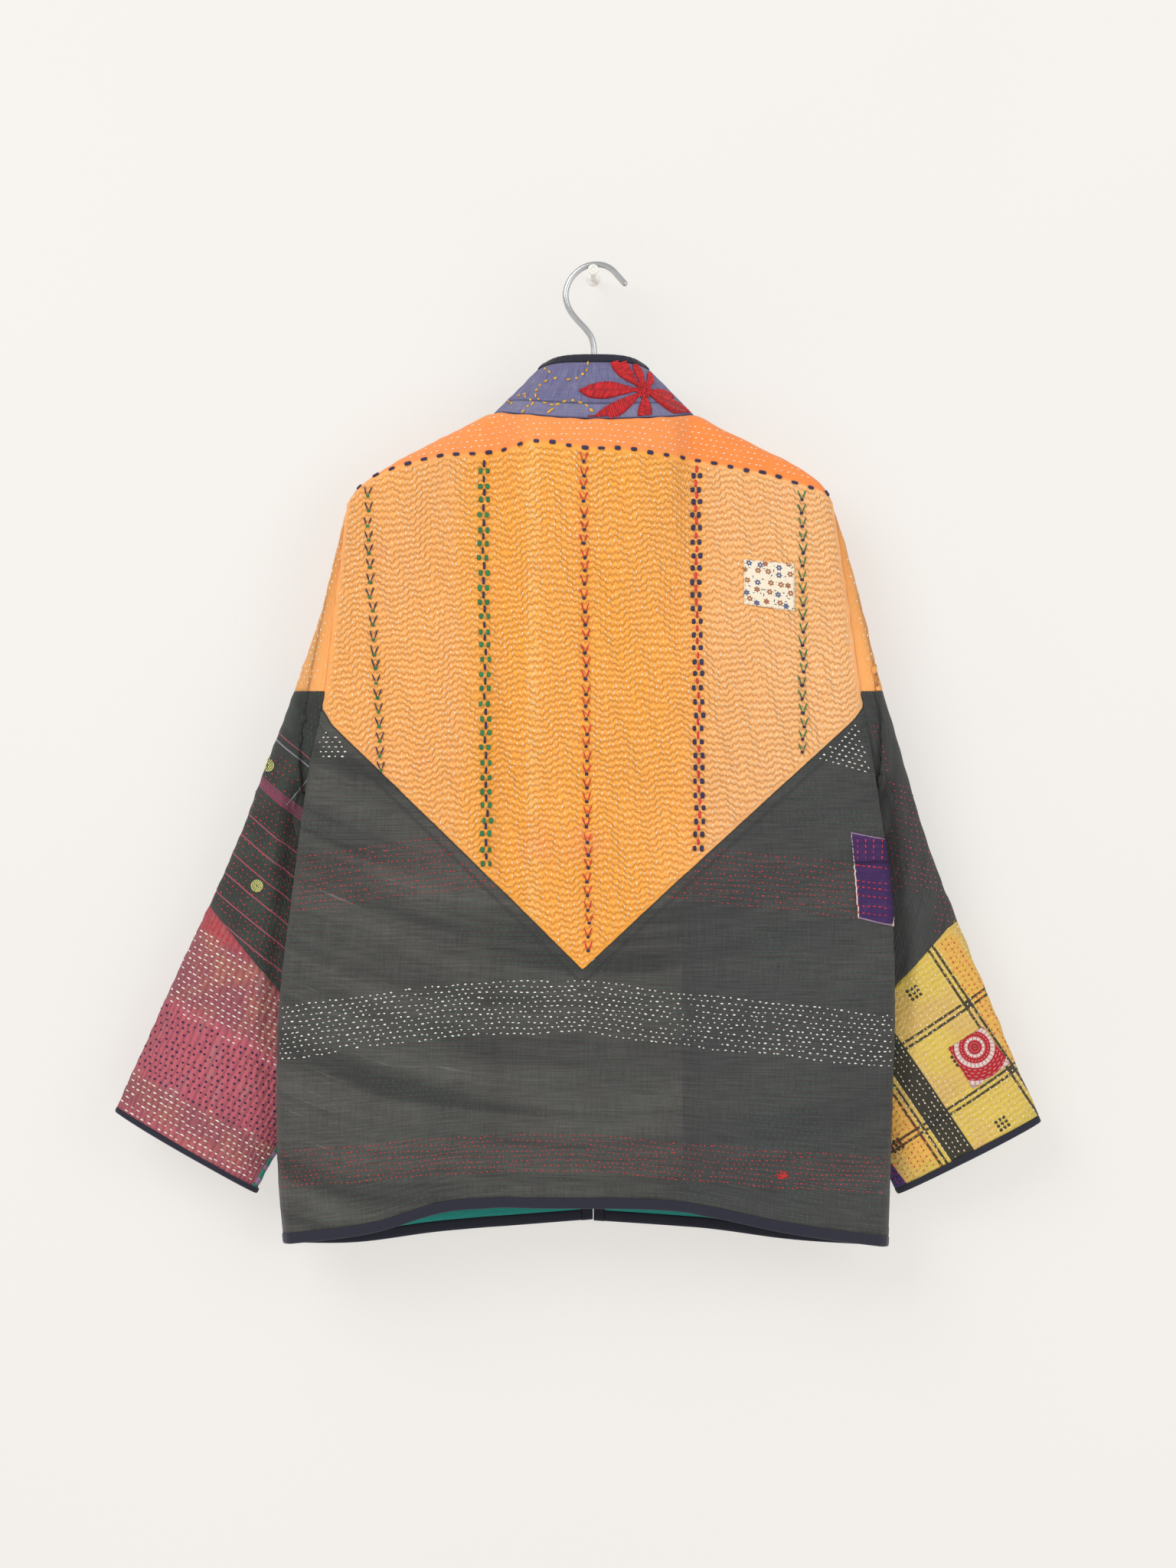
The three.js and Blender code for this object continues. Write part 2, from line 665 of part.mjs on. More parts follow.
// A section's values at v, 0 at the armhole and 1 at the cuff, on a smooth curve through the rows
function sectionAt(table, v) {
  const place = v * (table.length - 1);
  const row = Math.min(Math.floor(place), table.length - 2);
  const w = place - row;
  const at = (i) => table[THREE.MathUtils.clamp(i, 0, table.length - 1)];
  const section = {};
  for (const key of SLEEVE_COLUMNS) {
    const [a, b, c, d] = [at(row - 1)[key], at(row)[key], at(row + 1)[key], at(row + 2)[key]];
    section[key] =
      0.5 * (2 * b + (c - a) * w + (2 * a - 5 * b + 4 * c - d) * w * w + (3 * b - a - 3 * c + d) * w ** 3);
  }
  return section;
}

function makeSleeveSurface(side, table) {
  const sideX = (z) => {
    const t = bisect((w) => side.curve.getPointAt(w).z < z);
    return side.curve.getPointAt(t).x;
  };
  return (u, v) => {
    const angle = 2 * Math.PI * u;
    const w = (1 - Math.cos(angle)) / 2;
    const towards = Math.sin(angle) >= 0 ? -1 : 1;
    const fullness = Math.abs(Math.sin(angle)) ** 0.8;
    const armhole = side.curve.getPointAt(w * side.underarm);
    const tip = 1 - smooth(0, 0.1, w) + smooth(0.7, 1, w);
    armhole.x += side.sign * (ARMHOLE_GAP + CLOTH * tip);
    armhole.y = towards * (SEAM_GAP / 2 + armholeDepth(w));
    const row = sectionAt(table, v);
    const wave = Math.sin(2 * Math.PI * (6 * v + 0.5 * w));
    const crease = SLEEVE_CREASE * wave * smooth(0.1, 0.4, v);
    const hanging = new THREE.Vector3(
      row.outerX + (row.innerX - row.outerX) * w,
      row.outerY + (row.innerY - row.outerY) * w + towards * (row.depth + crease) * fullness,
      row.outerZ + (row.innerZ - row.outerZ) * w,
    );
    const point = armhole.lerp(hanging, smooth(0, 0.12, v));
    const outside = side.sign * (point.x - sideX(point.z));
    const behind = smooth(20, 7, outside) * smooth(UNDERARM_Z + 16, UNDERARM_Z - 6, point.z);
    const nearest = SLEEVE_CLEAR_Y * smooth(0, 0.08, v);
    if (point.y < nearest) point.y += (nearest - point.y) * behind * smooth(0, 0.06, v);
    return point;
  };
}

// A block that keeps the part of a sleeve below a straight seam through two points
function belowSeam(outer, inner, gap) {
  const along = new THREE.Vector2(inner.x - outer.x, inner.z - outer.z).normalize();
  const down = new THREE.Vector2(along.y, -along.x);
  if (down.y > 0) down.negate();
  const corner = (a, d) => ({
    x: outer.x + along.x * a + down.x * d,
    z: outer.z + along.y * a + down.y * d,
  });
  return prismAlongY([
    corner(-REACH, gap / 2),
    corner(REACH, gap / 2),
    corner(REACH, REACH),
    corner(-REACH, REACH),
  ]);
}

function makeSleeve(name, table, lowerSeam, lowerLook) {
  const side = sides[name];
  const surface = makeSleeveSurface(side, table);
  const us = range(0, 1, SLEEVE_AROUND).slice(0, -1);
  const bindingRow = 1 - CUFF_BINDING_SHARE;
  const outward = outwardOf(surface, 0.25, 0.5);
  side.sleeve = surface;
  const seamStep = 0.01;
  const rows = [...range(0, bindingRow - seamStep, SLEEVE_ALONG), bindingRow];
  const sleeve = toSolid(wallOn({ surface, us, vs: rows, outward, closed: true }));
  const capSeam = [
    { x: side.sign * CAP_SEAM_OUTER_X, z: CAP_SEAM_Z },
    { x: side.sign * CAP_SEAM_INNER_X, z: CAP_SEAM_Z },
  ];
  const belowCap = belowSeam(...capSeam, -SEAM_GAP);
  const belowMiddle = belowSeam(...lowerSeam, -SEAM_GAP);
  addMesh(`sleeve_${name}_cap`, toGeometry(sleeve.subtract(belowCap)), "orange");
  const middle = sleeve.intersect(belowSeam(...capSeam, SEAM_GAP)).subtract(belowMiddle);
  addMesh(`sleeve_${name}_middle`, toGeometry(middle), "charcoal");
  addMesh(
    `sleeve_${name}_lower`,
    toGeometry(sleeve.intersect(belowSeam(...lowerSeam, SEAM_GAP))),
    lowerLook,
  );
  addMesh(
    `cuff_binding_${name}`,
    wallOn({
      surface,
      us,
      vs: [bindingRow + CUFF_GAP_SHARE, bindingRow + seamStep, 1],
      outward,
      closed: true,
      thickness: CLOTH + 2 * BINDING_PROUD,
      proud: BINDING_PROUD,
    }),
    "navy",
  );
}

// Collar

// The collar's foot stands on the neck edges, from one front end round the back to the other
function collarFoot() {
  const left = [...sides.left.neckColumns].reverse().map((s) => sides.left.front(s, 0));
  const right = sides.right.neckColumns.map((s) => sides.right.front(s, 0));
  const back = range(neckStart, neckEnd, NECK_COLUMNS).map((s) => backSurface(s, 0));
  const foot = [...left, ...back.slice(1, -1), ...right];
  return foot.map((p) => p.setZ(p.z + COLLAR_RISE));
}

function collarTop(foot) {
  const forward = smooth(4, HEM_Y, foot.y);
  const shareX = THREE.MathUtils.lerp(COLLAR_TOP_SHARE_X, COLLAR_FRONT_SHARE_X, forward);
  const x = Math.sign(foot.x) * Math.max(3, Math.abs(foot.x) * shareX);
  const corner = COLLAR_CORNER_DROP * (Math.abs(foot.x) / COLLAR_FOOT_HALF) ** 4;
  const below = Math.max(0, COLLAR_FRONT_Z - foot.z);
  const y = foot.y * (foot.y < 0 ? COLLAR_TOP_SHARE_Y : COLLAR_FRONT_SHARE_Y);
  return new THREE.Vector3(x, y, COLLAR_TOP_Z - corner - COLLAR_FRONT_DROP * below);
}

function makeCollar() {
  const feet = collarFoot();
  const tops = feet.map(collarTop);
  const columns = range(0, feet.length - 1, 2 * (feet.length - 1));
  const surface = (u, v) => {
    const i = Math.min(Math.floor(u), feet.length - 2);
    const foot = feet[i].clone().lerp(feet[i + 1], u - i);
    const top = tops[i].clone().lerp(tops[i + 1], u - i);
    return foot.lerp(top, v);
  };
  const outward = outwardOf(surface, (feet.length - 1) / 2, 0.5);
  const bindingFoot = 1 - COLLAR_BINDING;
  addMesh(
    "collar",
    wallOn({ surface, us: columns, vs: [0, 0.2, 0.4, 0.6, 0.8, bindingFoot - 0.02, bindingFoot], outward }),
    "indigo",
  );
  addMesh(
    "collar_binding",
    wallOn({
      surface,
      us: columns,
      vs: [bindingFoot + 0.008, bindingFoot + 0.03, 1],
      outward,
      thickness: CLOTH + 2 * BINDING_PROUD,
      proud: BINDING_PROUD,
    }),
    "navy",
  );
  makeFlower(surface);
}

// A raised flower of eight petals on the right of the back collar, cut off by the seam and binding
function makeFlower(collar) {
  const centre = new THREE.Vector2(44, -111);
  const [u0, v0] = solveOn(collar, centre, [9.5, 0.4]);
  const petals = 8;
  const pointsAround = 8 * petals;
  const shortest = 12;
  const longest = 50;
  const rightmost = 36;
  const columnLength = 31;
  const collarHeight = 66;
  const eye = 0.1;
  const highest = (1 - COLLAR_BINDING - 0.03 - v0) * collarHeight;
  const lowest = (0.04 - v0) * collarHeight;
  const radiusAt = (angle) => {
    const petal = Math.abs(Math.cos((petals / 2) * angle)) ** 0.6;
    const reach = shortest + (longest - shortest) * petal;
    const level = Math.sin(angle) > 0 ? highest : lowest;
    return Math.min(reach, level / Math.sin(angle), rightmost / Math.max(Math.cos(angle), 0.01));
  };
  const surface = (u, v) => {
    const angle = 2 * Math.PI * u + 0.001;
    const reach = radiusAt(angle) * (eye + (1 - eye) * v);
    return collar(
      u0 + (reach * Math.cos(angle)) / columnLength,
      v0 + (reach * Math.sin(angle)) / collarHeight,
    );
  };
  const us = range(0, 1, pointsAround).slice(0, -1);
  addMesh(
    "collar_flower",
    wallOn({
      surface,
      us,
      vs: range(0, 1, 5),
      outward: outwardOf(surface, 0.3, 0.5),
      closed: true,
      thickness: PATCH_CLOTH,
      proud: PATCH_PROUD + 2 * SEAM_GAP,
    }),
    "crimson",
  );
}

// Patches laid on the back and on a sleeve

// The u and v of a surface at a place seen from behind, by Newton's method
function solveOn(surface, place, start) {
  let [u, v] = start;
  const step = 1e-4;
  for (let i = 0; i < 30; i++) {
    const p = surface(u, v);
    const pu = surface(u + step, v).sub(p).divideScalar(step);
    const pv = surface(u, v + step).sub(p).divideScalar(step);
    const dx = place.x - p.x;
    const dz = place.y - p.z;
    const det = pu.x * pv.z - pu.z * pv.x;
    u += (dx * pv.z - dz * pv.x) / det;
    v += (dz * pu.x - dx * pu.z) / det;
  }
  return [u, v];
}

function makeSquarePatch({ name, base, start, centre, size, turn, look, proud = PATCH_PROUD }) {
  const surface = (a, b) => {
    const place = new THREE.Vector2((a - 0.5) * size, (0.5 - b) * size);
    place.rotateAround(new THREE.Vector2(0, 0), turn).add(centre);
    return base(...solveOn(base, place, start));
  };
  addMesh(
    name,
    wallOn({
      surface,
      us: range(0, 1, 4),
      vs: range(0, 1, 4),
      outward: outwardOnBack,
      thickness: PATCH_CLOTH,
      proud,
    }),
    look,
  );
}

// The purple patch folds round the right side seam
function makeSidePatch() {
  const topZ = -500;
  const bottomZ = -583;
  const onBack = [0.24, 0.15, 0.08, 0.02, 0].map((w) => 1 - w * (1 - neckEnd));
  const shoulderShare = 0.55;
  const onFront = [0.02, 0.08].map((w) => w * shoulderShare);
  const rowAt = (z) => bisect((t) => sides.right.curve.getPointAt(t).z < z);
  const rows = range(rowAt(topZ), rowAt(bottomZ), 4);
  const surface = (u, t) =>
    u < onBack.length ? backSurface(onBack[u], t) : sides.right.front(onFront[u - onBack.length], t);
  const us = range(0, onBack.length + onFront.length - 1, onBack.length + onFront.length - 1);
  addMesh(
    "patch_purple",
    wallOn({
      surface,
      us,
      vs: rows,
      outward: outwardOnBack,
      thickness: PATCH_CLOTH,
      proud: PATCH_PROUD + SEAM_GAP * 2,
    }),
    "purple",
  );
}

// Hanger, hook and peg

// A closed solid through rings of points, with a fan over each end
function loft(rings) {
  const positions = [];
  const faces = [];
  const sidesCount = rings[0].length;
  const add = (p) => positions.push(p.x, p.y, p.z) / 3 - 1;
  const ids = rings.map((ring) => ring.map(add));
  ids.slice(1).forEach((ring, k) =>
    ring.forEach((id, i) => {
      const next = (i + 1) % sidesCount;
      faces.push(ids[k][i], ids[k][next], ring[next], ids[k][i], ring[next], id);
    }),
  );
  const cap = (ring, ringIds, reversed) => {
    const centre = add(
      ring.reduce((sum, p) => sum.add(p), new THREE.Vector3()).divideScalar(sidesCount),
    );
    ringIds.forEach((id, i) => {
      const next = ringIds[(i + 1) % sidesCount];
      faces.push(centre, ...(reversed ? [next, id] : [id, next]));
    });
  };
  cap(rings[0], ids[0], true);
  cap(rings.at(-1), ids.at(-1), false);
  return solidGeometry(positions, faces);
}

const HANGER_SECTION = [
  { y: -1, z: -0.35 },
  { y: -0.72, z: -0.11 },
  { y: 0, z: 0 },
  { y: 0.72, z: -0.11 },
  { y: 1, z: -0.35 },
  { y: 1, z: -0.85 },
  { y: 0.6, z: -1 },
  { y: -0.6, z: -1 },
  { y: -1, z: -0.85 },
];

function makeHanger() {
  const line = spline(HANGER_LINE);
  const rings = range(0, 1, 24).map((w) => {
    const point = line.getPointAt(w);
    const along = line.getTangentAt(w);
    const down = new THREE.Vector3(along.z, 0, -along.x);
    if (down.z > 0) down.negate();
    const slim = 0.7 + 0.3 * smooth(0, 0.06, Math.min(w, 1 - w));
    return HANGER_SECTION.map(({ y, z }) =>
      point
        .clone()
        .addScaledVector(down, -z * HANGER_HEIGHT * slim)
        .add(new THREE.Vector3(0, y * HANGER_HALF_DEPTH * slim, 0)),
    );
  });
  addMesh("hanger_bar", loft(rings), "aluminium");
}

function makeHook() {
  const line = spline(HOOK_LINE);
  const wireSides = 8;
  const length = line.getLength();
  const roundEnd = [0.9, 0.5, 0.15].map((w) => 1 - (w * HOOK_WIRE) / 2 / length);
  const places = [...range(0, roundEnd[0], 36), ...roundEnd.slice(1), 1];
  const rings = places.map((w) => {
    const point = line.getPointAt(w);
    const along = line.getTangentAt(w);
    const side = new THREE.Vector3(-along.z, 0, along.x);
    const fromTip = Math.min(1, ((1 - w) * length * 2) / HOOK_WIRE);
    const radius = (HOOK_WIRE / 2) * Math.max(0.25, Math.sqrt(1 - (1 - fromTip) ** 2));
    return Array.from({ length: wireSides }, (_, i) => {
      const angle = (2 * Math.PI * (i + 0.5)) / wireSides;
      return point
        .clone()
        .addScaledVector(side, radius * Math.cos(angle))
        .add(new THREE.Vector3(0, radius * Math.sin(angle), 0));
    });
  });
  addMesh("hanger_hook", loft(rings), "aluminium");
}

function makePeg() {
  const pegSides = 24;
  const profile = [
    { y: WALL_Y, radius: 6 },
    { y: WALL_Y - 2, radius: 6 },
    { y: WALL_Y - 2.5, radius: PEG_RADIUS },
    { y: PEG_FRONT_Y + 3, radius: PEG_RADIUS },
    { y: PEG_FRONT_Y + 2.9, radius: PEG_HEAD_RADIUS },
    { y: PEG_FRONT_Y + 0.6, radius: PEG_HEAD_RADIUS },
    { y: PEG_FRONT_Y, radius: PEG_HEAD_RADIUS - 0.8 },
  ];
  const rings = profile.map(({ y, radius }) =>
    Array.from({ length: pegSides }, (_, i) => {
      const angle = (2 * Math.PI * i) / pegSides;
      return new THREE.Vector3(
        radius * Math.cos(angle),
        y,
        -PEG_RADIUS + radius * Math.sin(angle),
      );
    }),
  );
  addMesh("wall_peg", loft(rings), "painted");
}

makeBack();
makeFront("left");
makeFront("right");
makeSleeve("left", LEFT_SLEEVE, LEFT_SLEEVE_SEAM, "rose");
makeSleeve("right", RIGHT_SLEEVE, RIGHT_SLEEVE_SEAM, "yellow");
makeCollar();
makeSquarePatch({
  name: "patch_floral",
  base: backSurface,
  start: [0.8, 0.2],
  centre: new THREE.Vector2(154.5, -281.5),
  size: 45,
  turn: -0.04,
  look: "cream",
});
makeSquarePatch({
  name: "patch_rings",
  base: sides.right.sleeve,
  start: [0.25, 0.75],
  centre: new THREE.Vector2(342, -699),
  size: 48,
  turn: -0.45,
  proud: PATCH_PROUD + 2 * SEAM_GAP,
  look: "crimson",
});
makeSidePatch();
makeHanger();
makeHook();
makePeg();

export default root;
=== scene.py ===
"""The looks of a patchwork kantha jacket, hung back out on a hanger whose hook rests on a wall peg.

Metres, +Z up. +X is to the right of someone looking at the jacket's back, and +Y runs to the wall.
"""
import math
from typing import NamedTuple

import bmesh
import bpy
import numpy as np
from bpy.props import FloatProperty, FloatVectorProperty, IntProperty, PointerProperty
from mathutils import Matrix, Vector


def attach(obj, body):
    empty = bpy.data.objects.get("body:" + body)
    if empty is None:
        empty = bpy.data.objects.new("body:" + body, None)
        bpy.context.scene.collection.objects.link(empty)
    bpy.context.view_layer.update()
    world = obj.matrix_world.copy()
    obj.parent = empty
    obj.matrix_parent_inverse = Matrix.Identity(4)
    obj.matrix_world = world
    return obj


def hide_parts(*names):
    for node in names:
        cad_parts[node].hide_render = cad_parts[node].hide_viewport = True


bl_info = {
    "name": "Kantha Jacket",
    "version": (1, 0, 0),
    "blender": (4, 5, 0),
    "location": "View3D > Sidebar > Kantha",
    "description": "Cloth, sewing, hanger and stage of a patchwork kantha jacket",
    "category": "Object",
}

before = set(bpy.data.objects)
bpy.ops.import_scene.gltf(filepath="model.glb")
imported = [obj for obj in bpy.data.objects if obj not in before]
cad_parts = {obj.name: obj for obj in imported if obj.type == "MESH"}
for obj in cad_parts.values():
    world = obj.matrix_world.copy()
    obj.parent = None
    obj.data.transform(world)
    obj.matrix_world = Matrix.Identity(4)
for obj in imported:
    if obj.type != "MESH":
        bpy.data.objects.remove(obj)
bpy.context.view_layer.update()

# Cloth and seams
CLOTH = 0.0024
SEAM_GAP = 0.0003
ARMHOLE_TUCK = 0.0015
BINDING_WIDTH = 0.010
PATCH_RAISE = 0.0012

# How the body hangs
SHOULDER_ROLL = 0.012
NECK_ROLL = 0.002
NECK_ROLL_END = 0.075
SHOULDER_ROLL_START = 0.100
ARMHOLE_ROLL = 0.045
SIDE_ROLL = 0.009
FRONT_SIDE_ROLL = 0.003
BACK_FULLNESS = 0.012
FRONT_FULLNESS = 0.006
FOLD_DEPTH = 0.004
ARMHOLE_OPENING = 0.011
UNDERARM_Z = -0.462
FRONT_SEAM_Z = -0.390
CAP_SEAM_Z = -0.375
HEM_Y = 0.027
BODY_HEIGHT = 0.655
BODY_WIDTH = 0.520
SLEEVE_CLEAR_Y = 0.0085
CUFF_ROW = 0.979

# Collar
COLLAR_RISE = 0.0005
COLLAR_TOP_Z = -0.079
COLLAR_BINDING = 0.13
COLLAR_BACK = 0.4

# Hanger and peg
HANGER_HEIGHT = 0.018
HANGER_HALF_DEPTH = 0.0045
HOOK_WIRE = 0.0054
PEG_RADIUS = 0.0024
PEG_HEAD_RADIUS = 0.0048
PEG_FRONT_Y = -0.007
WALL_Y = 0.060

# Lines of the jacket, each row the x, y and z of a point
LEFT_SHOULDER = (
    (-0.218, 0, -0.209),
    (-0.205, 0, -0.1925),
    (-0.181, 0, -0.176),
    (-0.152, 0, -0.160),
    (-0.119, 0, -0.1435),
    (-0.088, 0, -0.1295),
)
RIGHT_SHOULDER = (
    (0.089, 0, -0.131),
    (0.115, 0, -0.1435),
    (0.1485, 0, -0.160),
    (0.180, 0, -0.176),
    (0.2025, 0, -0.1925),
    (0.212, 0, -0.209),
)
BACK_NECK = (
    (-0.064, -0.024, -0.132),
    (-0.030, -0.035, -0.136),
    (0.006, -0.038, -0.1375),
    (0.040, -0.034, -0.1365),
    (0.070, -0.022, -0.134),
)
FRONT_NECK = (
    (0.081, 0.017, -0.146),
    (0.048, 0.023, -0.174),
    (0.003, HEM_Y, -0.207),
)
LEFT_SIDE = (
    (-0.218, 0, -0.209),
    (-0.228, 0, -0.297),
    (-0.239, 0, -0.387),
    (-0.251, 0, -0.440),
    (-0.266, 0, -0.550),
    (-0.279, 0, -0.665),
    (-0.279, 0, -0.804),
    (-0.274, 0, -0.863),
)
RIGHT_SIDE = (
    (0.212, 0, -0.209),
    (0.225, 0, -0.297),
    (0.238, 0, -0.387),
    (0.248, 0, -0.440),
    (0.263, 0, -0.550),
    (0.267, 0, -0.640),
    (0.265, 0, -0.735),
    (0.261, 0, -0.866),
)
BACK_HEM = (
    (-0.274, 0, -0.863),
    (-0.192, -HEM_Y, -0.849),
    (-0.123, -HEM_Y, -0.830),
    (-0.040, -HEM_Y, -0.828),
    (0.078, -HEM_Y, -0.832),
    (0.169, -HEM_Y, -0.849),
    (0.261, 0, -0.866),
)
LEFT_FRONT_HEM = (
    (-0.274, 0, -0.863),
    (-0.213, 0, -0.863),
    (-0.137, HEM_Y * 0.6, -0.856),
    (-0.0004, HEM_Y, -0.846),
)
RIGHT_FRONT_HEM = (
    (0.261, 0, -0.866),
    (0.169, 0, -0.860),
    (0.099, HEM_Y * 0.6, -0.853),
    (0.0004, HEM_Y, -0.847),
)
# The seam between the upper and the lower back: a V with rounded upper corners, as x and z
V_SEAM = (
    (-0.245, -0.386),
    (-0.238, -0.393),
    (-0.230, -0.405),
    (-0.092, -0.539),
    (-0.0095, -0.621),
    (0.090, -0.528),
    (0.229, -0.401),
    (0.238, -0.390),
    (0.246, -0.384),
)
# Sections down a sleeve: outer x and z, inner x and z, depth, outer y and inner y
LEFT_SLEEVE = (
    (-0.218, -0.209, -0.254, -0.462, 0.011, 0.000, 0.000),
    (-0.226, -0.245, -0.269, -0.473, 0.016, 0.000, 0.013),
    (-0.241, -0.305, -0.270, -0.486, 0.019, 0.002, 0.021),
    (-0.260, -0.360, -0.261, -0.508, 0.021, 0.004, 0.026),
    (-0.282, -0.422, -0.232, -0.542, 0.021, 0.006, 0.030),
    (-0.305, -0.481, -0.219, -0.590, 0.020, 0.008, 0.030),
    (-0.331, -0.541, -0.222, -0.642, 0.019, 0.009, 0.030),
    (-0.358, -0.603, -0.238, -0.696, 0.018, 0.010, 0.028),
    (-0.387, -0.665, -0.261, -0.748, 0.017, 0.010, 0.025),
    (-0.411, -0.714, -0.284, -0.790, 0.016, 0.010, 0.022),
    (-0.424, -0.748, -0.300, -0.821, 0.015, 0.010, 0.018),
)
RIGHT_SLEEVE = (
    (0.212, -0.209, 0.252, -0.462, 0.011, 0.000, 0.000),
    (0.223, -0.245, 0.270, -0.473, 0.016, 0.000, 0.013),
    (0.239, -0.305, 0.272, -0.486, 0.019, 0.002, 0.021),
    (0.252, -0.360, 0.259, -0.508, 0.021, 0.004, 0.026),
    (0.270, -0.422, 0.230, -0.542, 0.021, 0.006, 0.030),
    (0.289, -0.481, 0.214, -0.588, 0.020, 0.008, 0.030),
    (0.308, -0.541, 0.208, -0.636, 0.019, 0.009, 0.030),
    (0.332, -0.603, 0.213, -0.688, 0.018, 0.010, 0.028),
    (0.360, -0.665, 0.228, -0.741, 0.017, 0.010, 0.025),
    (0.379, -0.714, 0.250, -0.786, 0.016, 0.010, 0.024),
    (0.397, -0.757, 0.272, -0.822, 0.015, 0.010, 0.022),
)
# The seam between a sleeve's middle and lower pieces: x and z of its outer and its inner end
LEFT_SLEEVE_SEAM = ((-0.340, -0.565), (-0.281, -0.638))
RIGHT_SLEEVE_SEAM = ((0.321, -0.576), (0.266, -0.639))

HANGER_LINE = (
    (-0.196, 0, -0.1905),
    (-0.152, 0, -0.164),
    (-0.090, 0, -0.139),
    (-0.045, 0, -0.117),
    (0, 0, -0.106),
    (0.045, 0, -0.117),
    (0.090, 0, -0.140),
    (0.148, 0, -0.164),
    (0.193, 0, -0.1905),
)
HOOK_LINE = (
    (0.0007, 0, -0.1057),
    (0.0007, 0, -0.0775),
    (0.0002, 0, -0.069),
    (-0.0021, 0, -0.061),
    (-0.007, 0, -0.054),
    (-0.014, 0, -0.0465),
    (-0.0196, 0, -0.0395),
    (-0.023, 0, -0.0325),
    (-0.0245, 0, -0.025),
    (-0.0233, 0, -0.017),
    (-0.0189, 0, -0.0085),
    (-0.0113, 0, -0.0013),
    (-0.0045, 0, 0.002),
    (0.0025, 0, 0.003),
    (0.0102, 0, 0.0019),
    (0.0165, 0, -0.0016),
    (0.0225, 0, -0.008),
    (0.0295, 0, -0.0158),
)


# Curves and surfaces


class Curve:
    """A smooth curve through rows of x, y and z, read at fractions of its length."""

    SPAN_STEPS = 40

    def __init__(self, rows, shift_y=0.0):
        points = np.array(rows, float) + (0, shift_y, 0)
        points = np.vstack([2 * points[0] - points[1], points, 2 * points[-1] - points[-2]])
        spans = [self._span(*points[i : i + 4]) for i in range(len(points) - 3)]
        self.points = np.vstack([*spans, points[-2]])
        steps = np.linalg.norm(np.diff(self.points, axis=0), axis=1)
        travelled = np.concatenate([[0], np.cumsum(steps)])
        self.length = travelled[-1]
        self.fractions = travelled / self.length

    def _span(self, before, start, end, after):
        d0, d1, d2 = (
            math.sqrt(np.linalg.norm(b - a)) for a, b in ((before, start), (start, end), (end, after))
        )
        leaving = ((start - before) / d0 - (end - before) / (d0 + d1)) * d1 + end - start
        arriving = (end - start) - ((after - start) / (d1 + d2) - (after - end) / d2) * d1
        w = np.linspace(0, 1, self.SPAN_STEPS, endpoint=False)[:, None]
        return (
            (2 * w**3 - 3 * w**2 + 1) * start
            + (w**3 - 2 * w**2 + w) * leaving
            + (3 * w**2 - 2 * w**3) * end
            + (w**3 - w**2) * arriving
        )

    def __call__(self, fraction):
        return np.stack(
            [np.interp(fraction, self.fractions, self.points[:, k]) for k in range(3)], axis=-1
        )

    def fraction_at_z(self, z):
        """The fraction where a curve that only falls reaches a height."""
        return np.interp(-np.asarray(z), -self.points[:, 2], self.fractions)

    def fraction_at_x(self, x):
        """The fraction where a curve that only runs to +X reaches a place across."""
        return np.interp(x, self.points[:, 0], self.fractions)


def smooth(low, high, value):
    """0 below low and 1 above high, with a soft step between them."""
    w = np.clip((value - low) / (high - low), 0, 1)
    return w * w * (3 - 2 * w)


def roll_over(distance, radius):
    """The profile of cloth that rolls round an edge: 0 at the edge, 1 from a radius away."""
    return np.sqrt(1 - (1 - np.minimum(distance / radius, 1)) ** 2)


def lerp(a, b, w):
    return a + (b - a) * np.asarray(w)[..., None]


class Side:
    """One side of the body, from the shoulder tip to the hem."""

    def __init__(self, sign, line, shoulder, sleeve, front_hem):
        self.sign = sign
        self.curve = Curve(line)
        self.shoulder = shoulder
        self.sleeve = np.array(sleeve)
        self.underarm = self.curve.fraction_at_z(UNDERARM_Z)
        neck = [(sign * x, y, z) for x, y, z in FRONT_NECK]
        to_neck = shoulder if sign < 0 else shoulder[::-1]
        self.front_top = Curve([*to_neck, *neck], SEAM_GAP / 2)
        self.front_bottom = Curve(front_hem, SEAM_GAP / 2)
        centre = ((sign * 0.003, HEM_Y, -0.207), (front_hem[-1][0], HEM_Y, front_hem[-1][2]))
        self.centre = Curve(centre)
        self.neck_at = np.interp(
            -abs(to_neck[-1][0]), -np.abs(self.front_top.points[:, 0]), self.front_top.fractions
        )


LEFT = Side(-1, LEFT_SIDE, LEFT_SHOULDER, LEFT_SLEEVE, LEFT_FRONT_HEM)
RIGHT = Side(1, RIGHT_SIDE, RIGHT_SHOULDER, RIGHT_SLEEVE, RIGHT_FRONT_HEM)
BACK_TOP = Curve([*LEFT_SHOULDER, *BACK_NECK, *RIGHT_SHOULDER], -SEAM_GAP / 2)
BACK_BOTTOM = Curve(BACK_HEM, -SEAM_GAP / 2)
NECK_START = BACK_TOP.fraction_at_x(LEFT_SHOULDER[-1][0])
NECK_END = BACK_TOP.fraction_at_x(RIGHT_SHOULDER[0][0])


def armhole_depth(w):
    return ARMHOLE_OPENING * np.sin(np.pi * np.clip(w, 0, 1)) ** 0.8


def side_edge(side, t, towards):
    """Points of a side edge: towards is -1 on the back and +1 on a front."""
    point = side.curve(t)
    point[..., 1] = towards * (SEAM_GAP / 2 + armhole_depth(t / side.underarm))
    return point


def between_edges(s, t, top, bottom, left, right):
    """A surface between four edges, whose rows are level away from the top and bottom edges."""
    point = lerp(left(t), right(t), s)
    for edge, weight, level in ((top, 1 - smooth(0, 0.24, t), 0), (bottom, smooth(0.72, 1, t), 1)):
        flat = lerp(left(np.full_like(t, level)), right(np.full_like(t, level)), s)
        point += (edge(s) - flat) * weight[..., None]
    return point


